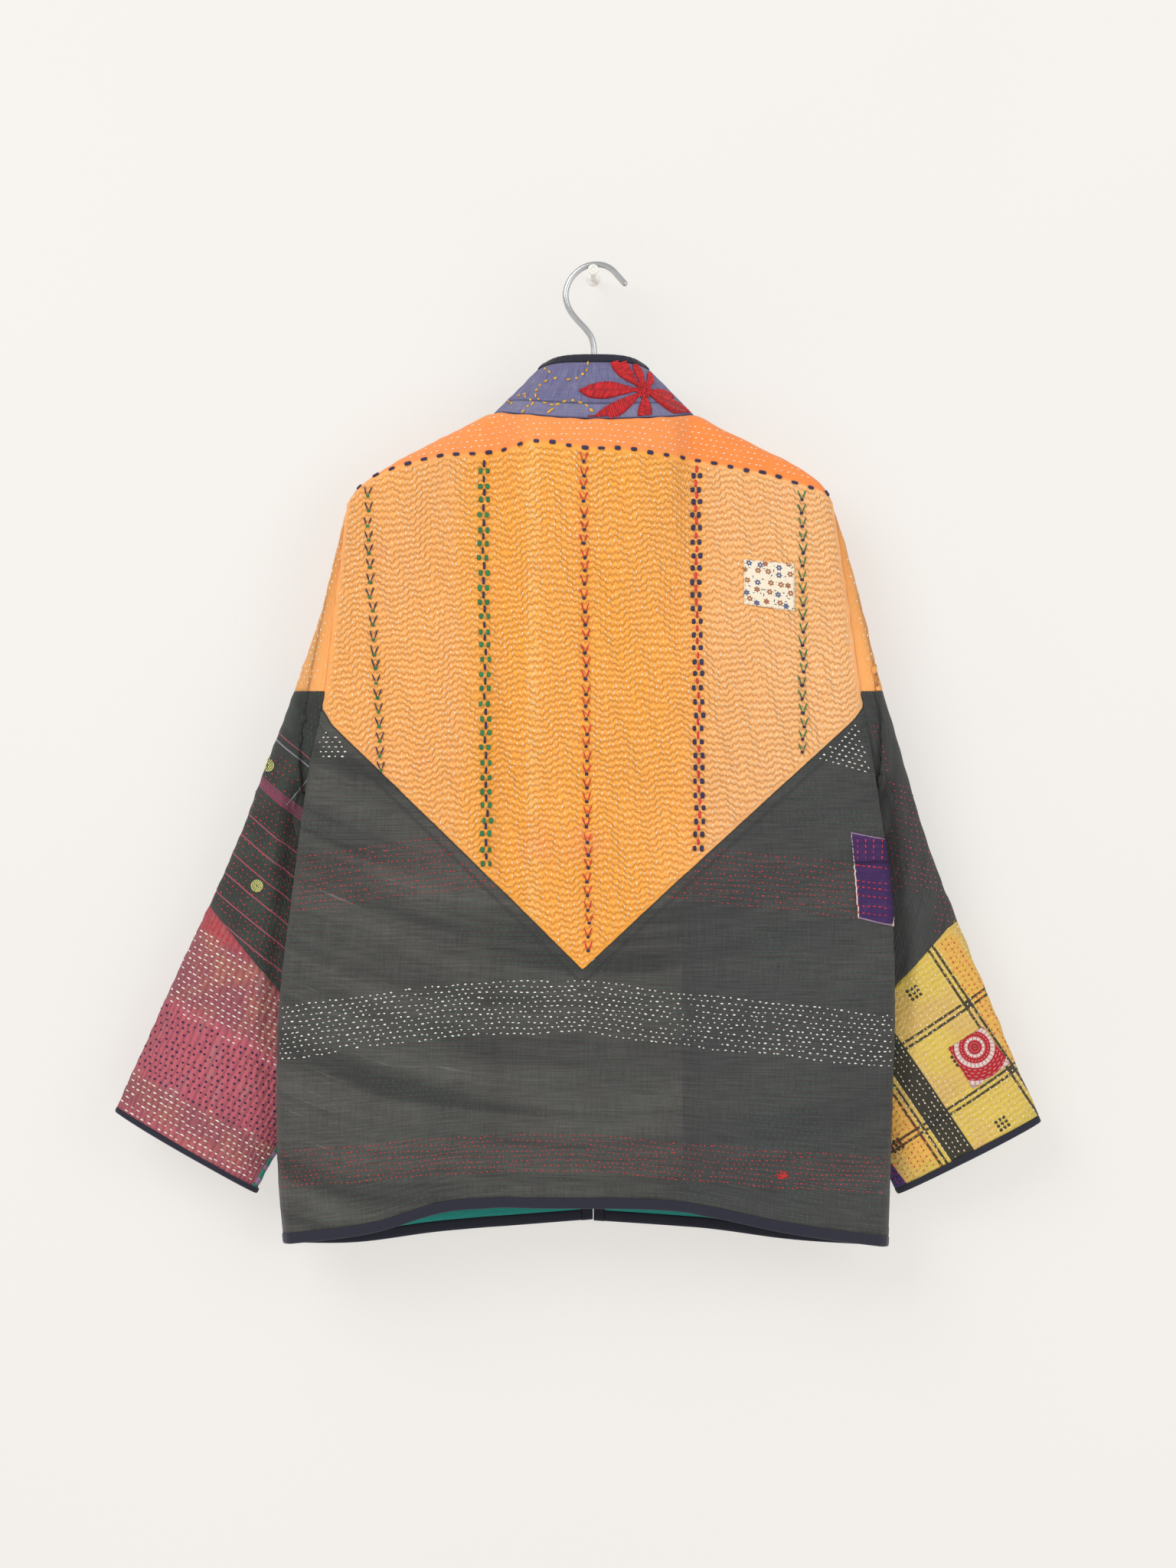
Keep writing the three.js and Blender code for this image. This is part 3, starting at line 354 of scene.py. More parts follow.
def top_roll(x):
    return NECK_ROLL + (SHOULDER_ROLL - NECK_ROLL) * smooth(
        NECK_ROLL_END, SHOULDER_ROLL_START, np.abs(x)
    )


def back_surface(s, t):
    """The back, s from the left side to the right and t from the shoulder to the hem."""
    s, t = (np.array(a, float) for a in np.broadcast_arrays(s, t))
    point = between_edges(
        s, t, BACK_TOP, BACK_BOTTOM, lambda w: side_edge(LEFT, w, -1), lambda w: side_edge(RIGHT, w, -1)
    )
    roll = top_roll(point[..., 0])
    side_roll = ARMHOLE_ROLL + (SIDE_ROLL - ARMHOLE_ROLL) * smooth(0.2, 0.42, t)
    from_side = roll_over(np.minimum(s, 1 - s) * BODY_WIDTH, side_roll)
    fullness = BACK_FULLNESS * np.sqrt(np.sin(np.pi * np.clip(s, 0, 1))) * smooth(0, 0.3, t)
    fold = FOLD_DEPTH * smooth(0.3, 1, t) * np.sin(2 * np.pi * (2.4 * s + 0.15))
    point[..., 1] -= from_side * (roll * roll_over(t * BODY_HEIGHT, roll) + fullness + fold)
    point[..., 1] = np.minimum(point[..., 1], -SEAM_GAP / 2)
    return point


def front_surface(side, s, t):
    """One front, s from its side seam to the centre and t from the shoulder to the hem."""
    s, t = (np.array(a, float) for a in np.broadcast_arrays(s, t))
    point = between_edges(
        s, t, side.front_top, side.front_bottom, lambda w: side_edge(side, w, 1), side.centre
    )
    roll = top_roll(point[..., 0])
    side_roll = ARMHOLE_ROLL + (FRONT_SIDE_ROLL - ARMHOLE_ROLL) * smooth(0.2, 0.36, t)
    from_side = roll_over(s * BODY_WIDTH / 2, side_roll)
    shoulder_fade = 1 - 0.8 * smooth(0.12, 0.36, t)
    fullness = FRONT_FULLNESS * smooth(0.205, 0.130, np.abs(point[..., 0])) * smooth(0, 0.2, t)
    point[..., 1] += from_side * (roll * roll_over(t * BODY_HEIGHT, roll) * shoulder_fade + fullness)
    point[..., 1] = np.maximum(point[..., 1], SEAM_GAP / 2)
    return point


def section_at(table, v):
    """A sleeve's section at v, 0 at the armhole and 1 at the cuff, smooth through the rows."""
    place = np.clip(v, 0, 1) * (len(table) - 1)
    row = np.minimum(place.astype(int), len(table) - 2)
    w = (place - row)[..., None]
    a, b, c, d = (table[np.clip(row + k, 0, len(table) - 1)] for k in (-1, 0, 1, 2))
    return 0.5 * (
        2 * b + (c - a) * w + (2 * a - 5 * b + 4 * c - d) * w**2 + (3 * b - a - 3 * c + d) * w**3
    )


def sleeve_surface(side, u, v):
    """A sleeve, u round it from its outer edge over the back, and v from armhole to cuff."""
    u, v = (np.array(a, float) for a in np.broadcast_arrays(u, v))
    angle = 2 * np.pi * u
    w = (1 - np.cos(angle)) / 2
    towards = np.where(np.sin(angle) >= 0, -1.0, 1.0)
    fullness = np.abs(np.sin(angle)) ** 0.8
    armhole = side.curve(w * side.underarm)
    armhole[..., 0] -= side.sign * ARMHOLE_TUCK
    armhole[..., 1] = towards * (SEAM_GAP / 2 + armhole_depth(w))
    section = section_at(side.sleeve, v)
    outer_x, outer_z, inner_x, inner_z, depth, outer_y, inner_y = np.moveaxis(section, -1, 0)
    crease = 0.0022 * np.sin(2 * np.pi * (6 * v + 0.5 * w)) * smooth(0.1, 0.4, v)
    hanging = np.stack(
        [
            outer_x + (inner_x - outer_x) * w,
            outer_y + (inner_y - outer_y) * w + towards * (depth + crease) * fullness,
            outer_z + (inner_z - outer_z) * w,
        ],
        axis=-1,
    )
    point = lerp(armhole, hanging, smooth(0, 0.12, v))
    x, y, z = np.moveaxis(point, -1, 0)
    outside = side.sign * (x - side.curve(side.curve.fraction_at_z(z))[..., 0])
    behind = smooth(0.020, 0.007, outside) * smooth(UNDERARM_Z + 0.016, UNDERARM_Z - 0.006, z)
    nearest = SLEEVE_CLEAR_Y * smooth(0, 0.08, v)
    push = (nearest - y) * behind * smooth(0, 0.06, v)
    point[..., 1] += np.where(y < nearest, push, 0)
    return point


def v_seam_z(x):
    """The height of the V seam at a place across, level beyond its ends."""
    xs, zs = np.array(V_SEAM).T
    return np.interp(x, xs, zs)


def collar_foot(u):
    """The collar's foot on the neck edges: u from -1 at the left front end to +1 at the right."""
    u = np.asarray(u, float)
    back = np.interp(u, (-COLLAR_BACK, COLLAR_BACK), (NECK_START, NECK_END))
    foot = back_surface(back, np.zeros_like(u))
    for side in (LEFT, RIGHT):
        w = np.clip((side.sign * u - COLLAR_BACK) / (1 - COLLAR_BACK), 0, 1)
        front = front_surface(side, side.neck_at + (1 - side.neck_at) * w, np.zeros_like(u))
        foot = np.where((side.sign * u > COLLAR_BACK)[..., None], front, foot)
    return foot + (0, 0, COLLAR_RISE)


def collar_surface(u, v):
    """The collar, u along its foot and v from the foot to the top edge."""
    u, v = (np.array(a, float) for a in np.broadcast_arrays(u, v))
    foot = collar_foot(u)
    x, y, z = np.moveaxis(foot, -1, 0)
    forward = smooth(0.004, HEM_Y, y)
    top_x = np.sign(x) * np.maximum(0.003, np.abs(x) * (0.5 + 0.1 * forward))
    corner = (np.abs(x) / 0.088) ** 4
    top_z = COLLAR_TOP_Z - 0.006 * corner - np.where(z < -0.140, 0.62 * (-0.140 - z), 0)
    top = np.stack([top_x, y * np.where(y < 0, 0.62, 0.9), top_z], axis=-1)
    return lerp(foot, top, v)


# Cloth as a surface with real lengths


class Cloth:
    """A surface of two parameters, with the side of it that faces out."""

    STEP = 1e-4

    def __init__(self, surface, facing_y, middle, first_u=0.0):
        self.surface = surface
        self.first_u = first_u
        self.turned = 1.0
        middle = tuple(np.array([m]) for m in middle)
        if self.normals(*middle)[0, 1] * facing_y < 0:
            self.turned = -1.0

    def __call__(self, u, v):
        return self.surface(u, v)

    def tangents(self, u, v):
        h = self.STEP
        across = self.surface(u + h, v) - self.surface(u - h, v)
        down = self.surface(u, v + h) - self.surface(u, v - h)
        return across, down

    def normals(self, u, v):
        normal = np.cross(*self.tangents(u, v))
        return self.turned * normal / np.maximum(np.linalg.norm(normal, axis=-1, keepdims=True), 1e-12)

    def find(self, x, z, start):
        """The parameters of places seen from behind, by Newton's method."""
        u, v = (np.full(np.shape(x), w, float) for w in start)
        for _ in range(30):
            point = self.surface(u, v)
            across, down = (d / (2 * self.STEP) for d in self.tangents(u, v))
            miss_x, miss_z = x - point[..., 0], z - point[..., 2]
            det = across[..., 0] * down[..., 2] - across[..., 2] * down[..., 0]
            det = np.where(np.abs(det) < 1e-9, 1e-9, det)
            du = (miss_x * down[..., 2] - miss_z * down[..., 0]) / det
            dv = (miss_z * across[..., 0] - miss_x * across[..., 2]) / det
            u = np.clip(u + np.clip(du, -0.2, 0.2), self.first_u + 0.002, 0.998)
            v = np.clip(v + np.clip(dv, -0.2, 0.2), 0.002, 0.998)
        return u, v


BACK = Cloth(back_surface, -1, (0.5, 0.5))
FRONTS = {
    side: Cloth(lambda s, t, side=side: front_surface(side, s, t), 1, (0.5, 0.5))
    for side in (LEFT, RIGHT)
}
SLEEVES = {
    side: Cloth(lambda u, v, side=side: sleeve_surface(side, u, v), -1, (0.25, 0.5))
    for side in (LEFT, RIGHT)
}
COLLAR = Cloth(collar_surface, -1, (0.0, 0.5), first_u=-1.0)


# Meshes


def grid_mesh(name, points, lengths, facing_y, closed=False, values=None):
    """A one-layer mesh from columns and rows of points. lengths are its UVs, in metres.

    A closed grid's last column is its first one again. values are named numbers of each point.
    """
    columns, rows = points.shape[:2]
    kept = columns - 1 if closed else columns
    ids = np.arange(columns * rows).reshape(columns, rows)
    if closed:
        ids[-1] = ids[0]
    corners = [ids[:-1, :-1], ids[1:, :-1], ids[1:, 1:], ids[:-1, 1:]]
    grid_uv = [lengths[:-1, :-1], lengths[1:, :-1], lengths[1:, 1:], lengths[:-1, 1:]]
    middle = (columns // 4 if closed else columns // 2, rows // 2)
    across = points[middle[0] + 1, middle[1]] - points[middle]
    down = points[middle[0], middle[1] + 1] - points[middle]
    if np.cross(across, down)[1] * facing_y < 0:
        corners.reverse()
        grid_uv.reverse()
    faces = np.stack(corners, axis=-1).reshape(-1, 4)
    mesh = bpy.data.meshes.new(name)
    mesh.from_pydata(points[:kept].reshape(-1, 3), [], faces.tolist())
    uv = mesh.uv_layers.new(name="Lengths")
    uv.data.foreach_set("uv", np.stack(grid_uv, axis=2).reshape(-1).astype(np.float32))
    for key, value in (values or {}).items():
        attribute = mesh.attributes.new(key, "FLOAT", "POINT")
        attribute.data.foreach_set("value", value[:kept].reshape(-1).astype(np.float32))
    merged(mesh)
    return mesh


def merged(mesh):
    """Joins points that lie on each other, smooths the shading and drops empty faces."""
    work = bmesh.new()
    work.from_mesh(mesh)
    bmesh.ops.remove_doubles(work, verts=work.verts, dist=2e-6)
    bmesh.ops.dissolve_degenerate(work, edges=work.edges, dist=1e-6)
    for face in work.faces:
        face.smooth = True
    work.to_mesh(mesh)
    work.free()


def add_piece(name, mesh, material, nodes=(), body="root"):
    """Adds a finished mesh to the scene, riding on the jacket's body."""
    piece = bpy.data.objects.new(name, mesh)
    bpy.context.scene.collection.objects.link(piece)
    mesh.materials.clear()
    mesh.materials.append(material)
    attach(piece, body)
    if nodes:
        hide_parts(*nodes)
    return piece


def thicken(piece, thickness=CLOTH, lining=None, room=None):
    """Gives a one-layer cloth its thickness, inwards, and less of it where its points have no room."""
    solid = piece.modifiers.new("Thickness", "SOLIDIFY")
    solid.thickness = thickness
    solid.offset = -1
    if lining:
        piece.data.materials.append(lining)
        solid.material_offset = 1
    if room:
        group = piece.vertex_groups.new(name="Room")
        values = np.empty(len(piece.data.vertices), np.float32)
        piece.data.attributes[room].data.foreach_get("value", values)
        for index, value in enumerate(values.tolist()):
            group.add([index], value, "REPLACE")
        solid.vertex_group = group.name
    return piece


def loft(name, rings, closed_ends=True):
    """A closed tube through rings of points, with a fan over each end."""
    rings = np.array(rings)
    count, around = rings.shape[:2]
    ids = np.arange(count * around).reshape(count, around)
    next_ids = np.roll(ids, -1, axis=1)
    faces = np.stack([ids[:-1], next_ids[:-1], next_ids[1:], ids[1:]], axis=-1).reshape(-1, 4).tolist()
    points = rings.reshape(-1, 3).tolist()
    if closed_ends:
        for ring, row in ((rings[0], ids[0]), (rings[-1], ids[-1])):
            points.append(ring.mean(axis=0).tolist())
            faces += [[row[i], row[(i + 1) % around], len(points) - 1] for i in range(around)]
    mesh = bpy.data.meshes.new(name)
    mesh.from_pydata(points, [], faces)
    work = bmesh.new()
    work.from_mesh(mesh)
    bmesh.ops.recalc_face_normals(work, faces=work.faces)
    for face in work.faces:
        face.smooth = True
    work.to_mesh(mesh)
    work.free()
    return mesh


# Shader values that Python arithmetic can be written on


class Value:
    """One output of a material's node."""

    def __init__(self, look, socket):
        self.look = look
        self.socket = socket

    def _math(self, operation, *operands):
        return self.look.node("ShaderNodeMath", {"operation": operation}, dict(enumerate(operands)))

    def __add__(self, other):
        return self._math("ADD", self, other)

    __radd__ = __add__

    def __sub__(self, other):
        return self._math("SUBTRACT", self, other)

    def __rsub__(self, other):
        return self._math("SUBTRACT", other, self)

    def __mul__(self, other):
        return self._math("MULTIPLY", self, other)

    __rmul__ = __mul__

    def __truediv__(self, other):
        return self._math("DIVIDE", self, other)

    def __neg__(self):
        return self._math("MULTIPLY", self, -1.0)

    def sine(self):
        return self._math("SINE", self)

    def cosine(self):
        return self._math("COSINE", self)

    def angle_of(self, x):
        """The angle of the point (x, this value)."""
        return self._math("ARCTAN2", self, x)

    def length_with(self, other):
        return self._math("SQRT", self * self + other * other)

    def size(self):
        return self._math("ABSOLUTE", self)

    def wrapped(self, period):
        """The distance past the last whole period, never negative."""
        return self._math("FLOORED_MODULO", self, period)

    def most(self, other):
        return self._math("MAXIMUM", self, other)

    def least(self, other):
        return self._math("MINIMUM", self, other)

    def step(self, low, high):
        """0 at low and 1 at high, with a soft step between them."""
        settings = {"interpolation_type": "SMOOTHSTEP"}
        return self.look.node("ShaderNodeMapRange", settings, {0: self, 1: low, 2: high})

    def band(self, centre, half, soft):
        """1 within half of centre, falling to 0 over soft."""
        return 1 - (self - centre).size().step(half, half + soft)

    def centred(self, period):
        """The distance from the nearest whole period."""
        return (self + period / 2).wrapped(period) - period / 2

    def parts(self):
        """The x, y and z of a vector."""
        first = self.look.node("ShaderNodeSeparateXYZ", {}, {0: self})
        return [Value(self.look, socket) for socket in first.socket.node.outputs]


class Look:
    """A procedural material, built as its values are asked for."""

    def __init__(self, name):
        self.material = bpy.data.materials.new(name)
        self.material.use_nodes = True
        self.tree = self.material.node_tree
        self.tree.nodes.clear()

    def node(self, kind, settings, inputs, output=0):
        """Adds a node: its settings first, then its sockets' values or links."""
        node = self.tree.nodes.new(kind)
        for key, value in settings.items():
            setattr(node, key, value)
        for key, value in inputs.items():
            if isinstance(value, Value):
                self.tree.links.new(value.socket, node.inputs[key])
            else:
                node.inputs[key].default_value = value
        return Value(self, node.outputs[output])

    def place(self):
        """The place in the jacket's own frame."""
        return self.node("ShaderNodeTexCoord", {}, {}, "Object")

    def lengths(self):
        """The place along the cloth, in metres."""
        return self.node("ShaderNodeUVMap", {"uv_map": "Lengths"}, {})

    def attribute(self, name):
        return self.node("ShaderNodeAttribute", {"attribute_name": name}, {}, "Fac")

    def vector(self, x, y, z=0.0):
        return self.node("ShaderNodeCombineXYZ", {}, {0: x, 1: y, 2: z})

    def noise(self, vector, scale, detail=2.0, roughness=0.5):
        inputs = {"Vector": vector, "Scale": scale, "Detail": detail, "Roughness": roughness}
        return self.node("ShaderNodeTexNoise", {}, inputs)

    def cells(self, u, v, size, randomness=0.7):
        """Scattered cells of a size: the place within a cell, and two random numbers of it."""
        plane = {"voronoi_dimensions": "2D"}
        vector = self.vector(u, v)
        inputs = {"Vector": vector, "Scale": 1 / size, "Randomness": randomness}
        centre = self.node("ShaderNodeTexVoronoi", plane, inputs, "Position")
        node = centre.socket.node
        centre_u, centre_v, _ = centre.parts()
        first, second, _ = Value(self, node.outputs["Color"]).parts()
        return u - centre_u, v - centre_v, first, second

    def dashes(self, u, v, pitch_u, pitch_v, length, width):
        """1 on short dashes along u, in rows that are each set off from the one before."""
        row = v / pitch_v
        in_row = row.wrapped(1.0) - 0.5
        wander = (self.noise(self.vector(u * 30, v * 30), 1.0, 1.0) - 0.5) * 0.8
        across = (u / pitch_u + (row - in_row) * 0.43 + wander).wrapped(1.0) - 0.5
        half_u, half_v = length / pitch_u / 2, width / pitch_v / 2
        return across.band(0.0, half_u * 0.7, half_u * 0.6) * in_row.band(0.0, half_v * 0.7, half_v * 0.6)

    def turned(self, x, z, origin, direction):
        """The distances of a place along a direction in the plane of the back, and to its right."""
        off_x, off_z = x - origin[0], z - origin[1]
        along_x, along_z = direction
        return off_x * along_x + off_z * along_z, off_x * along_z - off_z * along_x

    def mix(self, a, b, factor):
        """The colour a where factor is 0 and b where it is 1."""
        settings = {"data_type": "RGBA"}
        return self.node("ShaderNodeMix", settings, {0: factor, 6: rgba(a), 7: rgba(b)}, 2)

    def shade(self, colour, amount):
        """A colour made lighter or darker: amount is 1 for no change."""
        grey = self.vector(amount, amount, amount)
        settings = {"data_type": "RGBA", "blend_type": "MULTIPLY"}
        return self.node("ShaderNodeMix", settings, {0: 1.0, 6: rgba(colour), 7: grey}, 2)

    def finish(self, colour, roughness, height=None, height_scale=0.001, **fixed):
        """Ends the material in a shader with a bump from height, in metres when scaled."""
        inputs = {"Base Color": rgba(colour), "Roughness": roughness}
        inputs.update({key.replace("_", " "): value for key, value in fixed.items()})
        if height is not None:
            bump = {"Height": height, "Distance": height_scale, "Strength": 1.0}
            inputs["Normal"] = self.node("ShaderNodeBump", {}, bump)
        shader = self.node("ShaderNodeBsdfPrincipled", {}, inputs)
        output = self.tree.nodes.new("ShaderNodeOutputMaterial")
        self.tree.links.new(shader.socket, output.inputs["Surface"])
        return self.material


def rgba(colour):
    if isinstance(colour, Value):
        return colour
    return (*tuple(colour)[:3], 1.0)


def paint(code):
    """The linear colour of a six-digit hexadecimal code."""
    parts = (int(code[i : i + 2], 16) / 255 for i in (0, 2, 4))
    return tuple(c / 12.92 if c <= 0.04045 else ((c + 0.055) / 1.055) ** 2.4 for c in parts)


# Geometry Nodes trees


class Tree:
    """A Geometry Nodes tree, with its named inputs and one geometry in and out."""

    def __init__(self, name, inputs):
        self.group = bpy.data.node_groups.new(name, "GeometryNodeTree")
        self.group.interface.new_socket("Geometry", in_out="INPUT", socket_type="NodeSocketGeometry")
        for label, (socket_type, default) in inputs.items():
            socket = self.group.interface.new_socket(label, in_out="INPUT", socket_type=socket_type)
            if default is not None:
                socket.default_value = default
        self.group.interface.new_socket("Geometry", in_out="OUTPUT", socket_type="NodeSocketGeometry")
        self.source = self.group.nodes.new("NodeGroupInput")

    def input(self, label):
        return self.source.outputs[label]

    def node(self, kind, settings=None, inputs=None, output=0):
        node = self.group.nodes.new(kind)
        for key, value in (settings or {}).items():
            setattr(node, key, value)
        for key, value in (inputs or {}).items():
            if isinstance(value, bpy.types.NodeSocket):
                self.group.links.new(value, node.inputs[key])
            else:
                node.inputs[key].default_value = value
        return node.outputs[output]

    def math(self, operation, *operands):
        return self.node("ShaderNodeMath", {"operation": operation}, dict(enumerate(operands)))

    def named(self, name, kind="FLOAT"):
        return self.node("GeometryNodeInputNamedAttribute", {"data_type": kind}, {"Name": name})

    def random(self, low, high, seed):
        inputs = {"Min_001": low, "Max_001": high, "Seed": seed}
        node = self.group.nodes.new("FunctionNodeRandomValue")
        node.data_type = "FLOAT"
        for socket in node.inputs:
            if socket.identifier in inputs:
                value = inputs[socket.identifier]
                if isinstance(value, bpy.types.NodeSocket):
                    self.group.links.new(value, socket)
                else:
                    socket.default_value = value
        return next(s for s in node.outputs if s.identifier == "Value_001")

    def finish(self, geometry):
        """Ends the tree in Realize Instances and Set Material."""
        realized = self.node("GeometryNodeRealizeInstances", {}, {"Geometry": geometry})
        inputs = {"Geometry": realized, "Material": self.input("Material")}
        made = self.node("GeometryNodeSetMaterial", {}, inputs)
        output = self.group.nodes.new("NodeGroupOutput")
        self.group.links.new(made, output.inputs["Geometry"])
        return self.group


def stitch_tree():
    """Stitches on points, each laid along its point's thread and raised off the cloth."""
    tree = Tree(
        "Stitches",
        {
            "Length": ("NodeSocketFloat", 0.0028),
            "Width": ("NodeSocketFloat", 0.0012),
            "Height": ("NodeSocketFloat", 0.0010),
            "Unevenness": ("NodeSocketFloat", 0.25),
            "Roundness": ("NodeSocketInt", 1),
            "Square": ("NodeSocketBool", False),
            "Seed": ("NodeSocketInt", 1),
            "Material": ("NodeSocketMaterial", None),
        },
    )
    ball = tree.node(
        "GeometryNodeMeshIcoSphere", {}, {"Radius": 0.5, "Subdivisions": tree.input("Roundness")}
    )
    box = tree.node("GeometryNodeMeshCube", {}, {"Vertices X": 3, "Vertices Y": 3, "Vertices Z": 2})
    cushion = tree.node("GeometryNodeSubdivisionSurface", {}, {"Mesh": box, "Level": 1})
    shape = tree.node(
        "GeometryNodeSwitch",
        {"input_type": "GEOMETRY"},
        {"Switch": tree.input("Square"), "False": ball, "True": cushion},
    )
    size = tree.node(
        "ShaderNodeCombineXYZ",
        {},
        {0: tree.input("Length"), 1: tree.input("Width"), 2: tree.input("Height")},
    )
    stitch = tree.node("GeometryNodeTransform", {}, {"Geometry": shape, "Scale": size})
    smooth_stitch = tree.node("GeometryNodeSetShadeSmooth", {}, {"Geometry": stitch})
    turn = tree.node(
        "FunctionNodeAxesToRotation",
        {"primary_axis": "Z", "secondary_axis": "X"},
        {0: tree.named("outward", "FLOAT_VECTOR"), 1: tree.named("thread", "FLOAT_VECTOR")},
    )
    least = tree.math("SUBTRACT", 1.0, tree.input("Unevenness"))
    most = tree.math("ADD", 1.0, tree.input("Unevenness"))
    stretch = tree.node(
        "ShaderNodeCombineXYZ",
        {},
        {
            0: tree.math("MULTIPLY", tree.random(least, most, tree.input("Seed")), tree.named("reach")),
            1: tree.random(least, most, tree.math("ADD", tree.input("Seed"), 1.0)),
            2: 1.0,
        },
    )
    instances = tree.node(
        "GeometryNodeInstanceOnPoints",
        {},
        {
            "Points": tree.input("Geometry"),
            "Instance": smooth_stitch,
            "Rotation": turn,
            "Scale": stretch,
        },
    )
    shade = tree.random(0.0, 1.0, tree.math("ADD", tree.input("Seed"), 2.0))
    stored = tree.node(
        "GeometryNodeStoreNamedAttribute",
        {"data_type": "FLOAT", "domain": "INSTANCE"},
        {"Geometry": instances, "Name": "shade", "Value": shade},
    )
    return tree.finish(stored)


def ripple_tree():
    """Ridges across a cloth between its rows of sewing, which its points count as "row"."""
    tree = Tree(
        "Ripples",
        {
            "Height": ("NodeSocketFloat", 0.0009),
            "Material": ("NodeSocketMaterial", None),
        },
    )
    angle = tree.math("MULTIPLY", tree.named("row"), 2 * math.pi)
    wave = tree.math("MULTIPLY_ADD", tree.math("COSINE", angle), -0.5, 0.5)
    ridge = tree.math("POWER", wave, 0.7)
    height = tree.math("MULTIPLY", tree.math("MULTIPLY", ridge, tree.named("ease")), tree.input("Height"))
    lift = tree.math("ADD", height, tree.named("lift"))
    normal = tree.node("GeometryNodeInputNormal")
    offset = tree.node("ShaderNodeVectorMath", {"operation": "SCALE"}, {0: normal, "Scale": lift})
    moved = tree.node(
        "GeometryNodeSetPosition", {}, {"Geometry": tree.input("Geometry"), "Offset": offset}
    )
    return tree.finish(moved)


def grow(mesh, group, values):
    """The plain mesh that a Geometry Nodes tree makes of a mesh."""
    base = bpy.data.objects.new(mesh.name, mesh)
    bpy.context.scene.collection.objects.link(base)
    modifier = base.modifiers.new("Grow", "NODES")
    modifier.node_group = group
    identifiers = {
        item.name: item.identifier
        for item in group.interface.items_tree
        if item.item_type == "SOCKET" and item.in_out == "INPUT"
    }
    for label, value in values.items():
        modifier[identifiers[label]] = value
    base.update_tag()
    graph = bpy.context.evaluated_depsgraph_get()
    made = bpy.data.meshes.new_from_object(base.evaluated_get(graph), depsgraph=graph)
    bpy.data.objects.remove(base)
    bpy.data.meshes.remove(mesh)
    return made


class Stitch(NamedTuple):
    """A kind of stitch: its slot, its size in metres, and how round, uneven and square it is."""

    slot: str
    length: float
    width: float
    height: float
    roundness: int = 1
    unevenness: float = 0.25
    square: bool = False


STITCHES = {
    "shoulder": Stitch("cream", 0.0026, 0.0012, 0.0009),
    "arm": Stitch("indigo", 0.0078, 0.0013, 0.0013, 2, 0.12),
    "knot": Stitch("indigo", 0.0030, 0.0032, 0.0016, 2, 0.12, True),
    "dash": Stitch("indigo", 0.0062, 0.0024, 0.0016, 2, 0.12, True),
    "block": Stitch("indigo", 0.0052, 0.0038, 0.0018, 2, 0.12, True),
    "shoulder dash": Stitch("indigo", 0.0060, 0.0034, 0.0018, 2, 0.18, True),
    "white band": Stitch("cream", 0.0026, 0.00125, 0.0010, unevenness=0.35),
    "red band": Stitch("crimson", 0.0021, 0.00095, 0.0008, unevenness=0.35),
    "tangle": Stitch("crimson", 0.0046, 0.0008, 0.0009, unevenness=0.4),
    "left cuff white": Stitch("cream", 0.0040, 0.0013, 0.0011),
    "left cuff violet": Stitch("purple", 0.0026, 0.0021, 0.0012),
    "left cuff red": Stitch("crimson", 0.0026, 0.0014, 0.0010),
    "left middle": Stitch("crimson", 0.0021, 0.0011, 0.0009),
    "lime flower": Stitch("yellow", 0.0026, 0.0015, 0.0010, unevenness=0.2),
    "right cuff cream": Stitch("cream", 0.0023, 0.0012, 0.0010),
    "right cuff red": Stitch("crimson", 0.0023, 0.0012, 0.0010),
    "right middle": Stitch("crimson", 0.0022, 0.0012, 0.0009),
    "cap": Stitch("cream", 0.0024, 0.0012, 0.0009),
    "patch edging": Stitch("cream", 0.0030, 0.0007, 0.0006),
    "purple patch": Stitch("crimson", 0.0034, 0.0013, 0.0010),
    "petal": Stitch("crimson", 0.0052, 0.0015, 0.0015, 2, 0.10),
    "flower centre": Stitch("crimson", 0.0030, 0.0018, 0.0018, 2, 0.15),
    "golden": Stitch("yellow", 0.0036, 0.0021, 0.0016, 2),
}


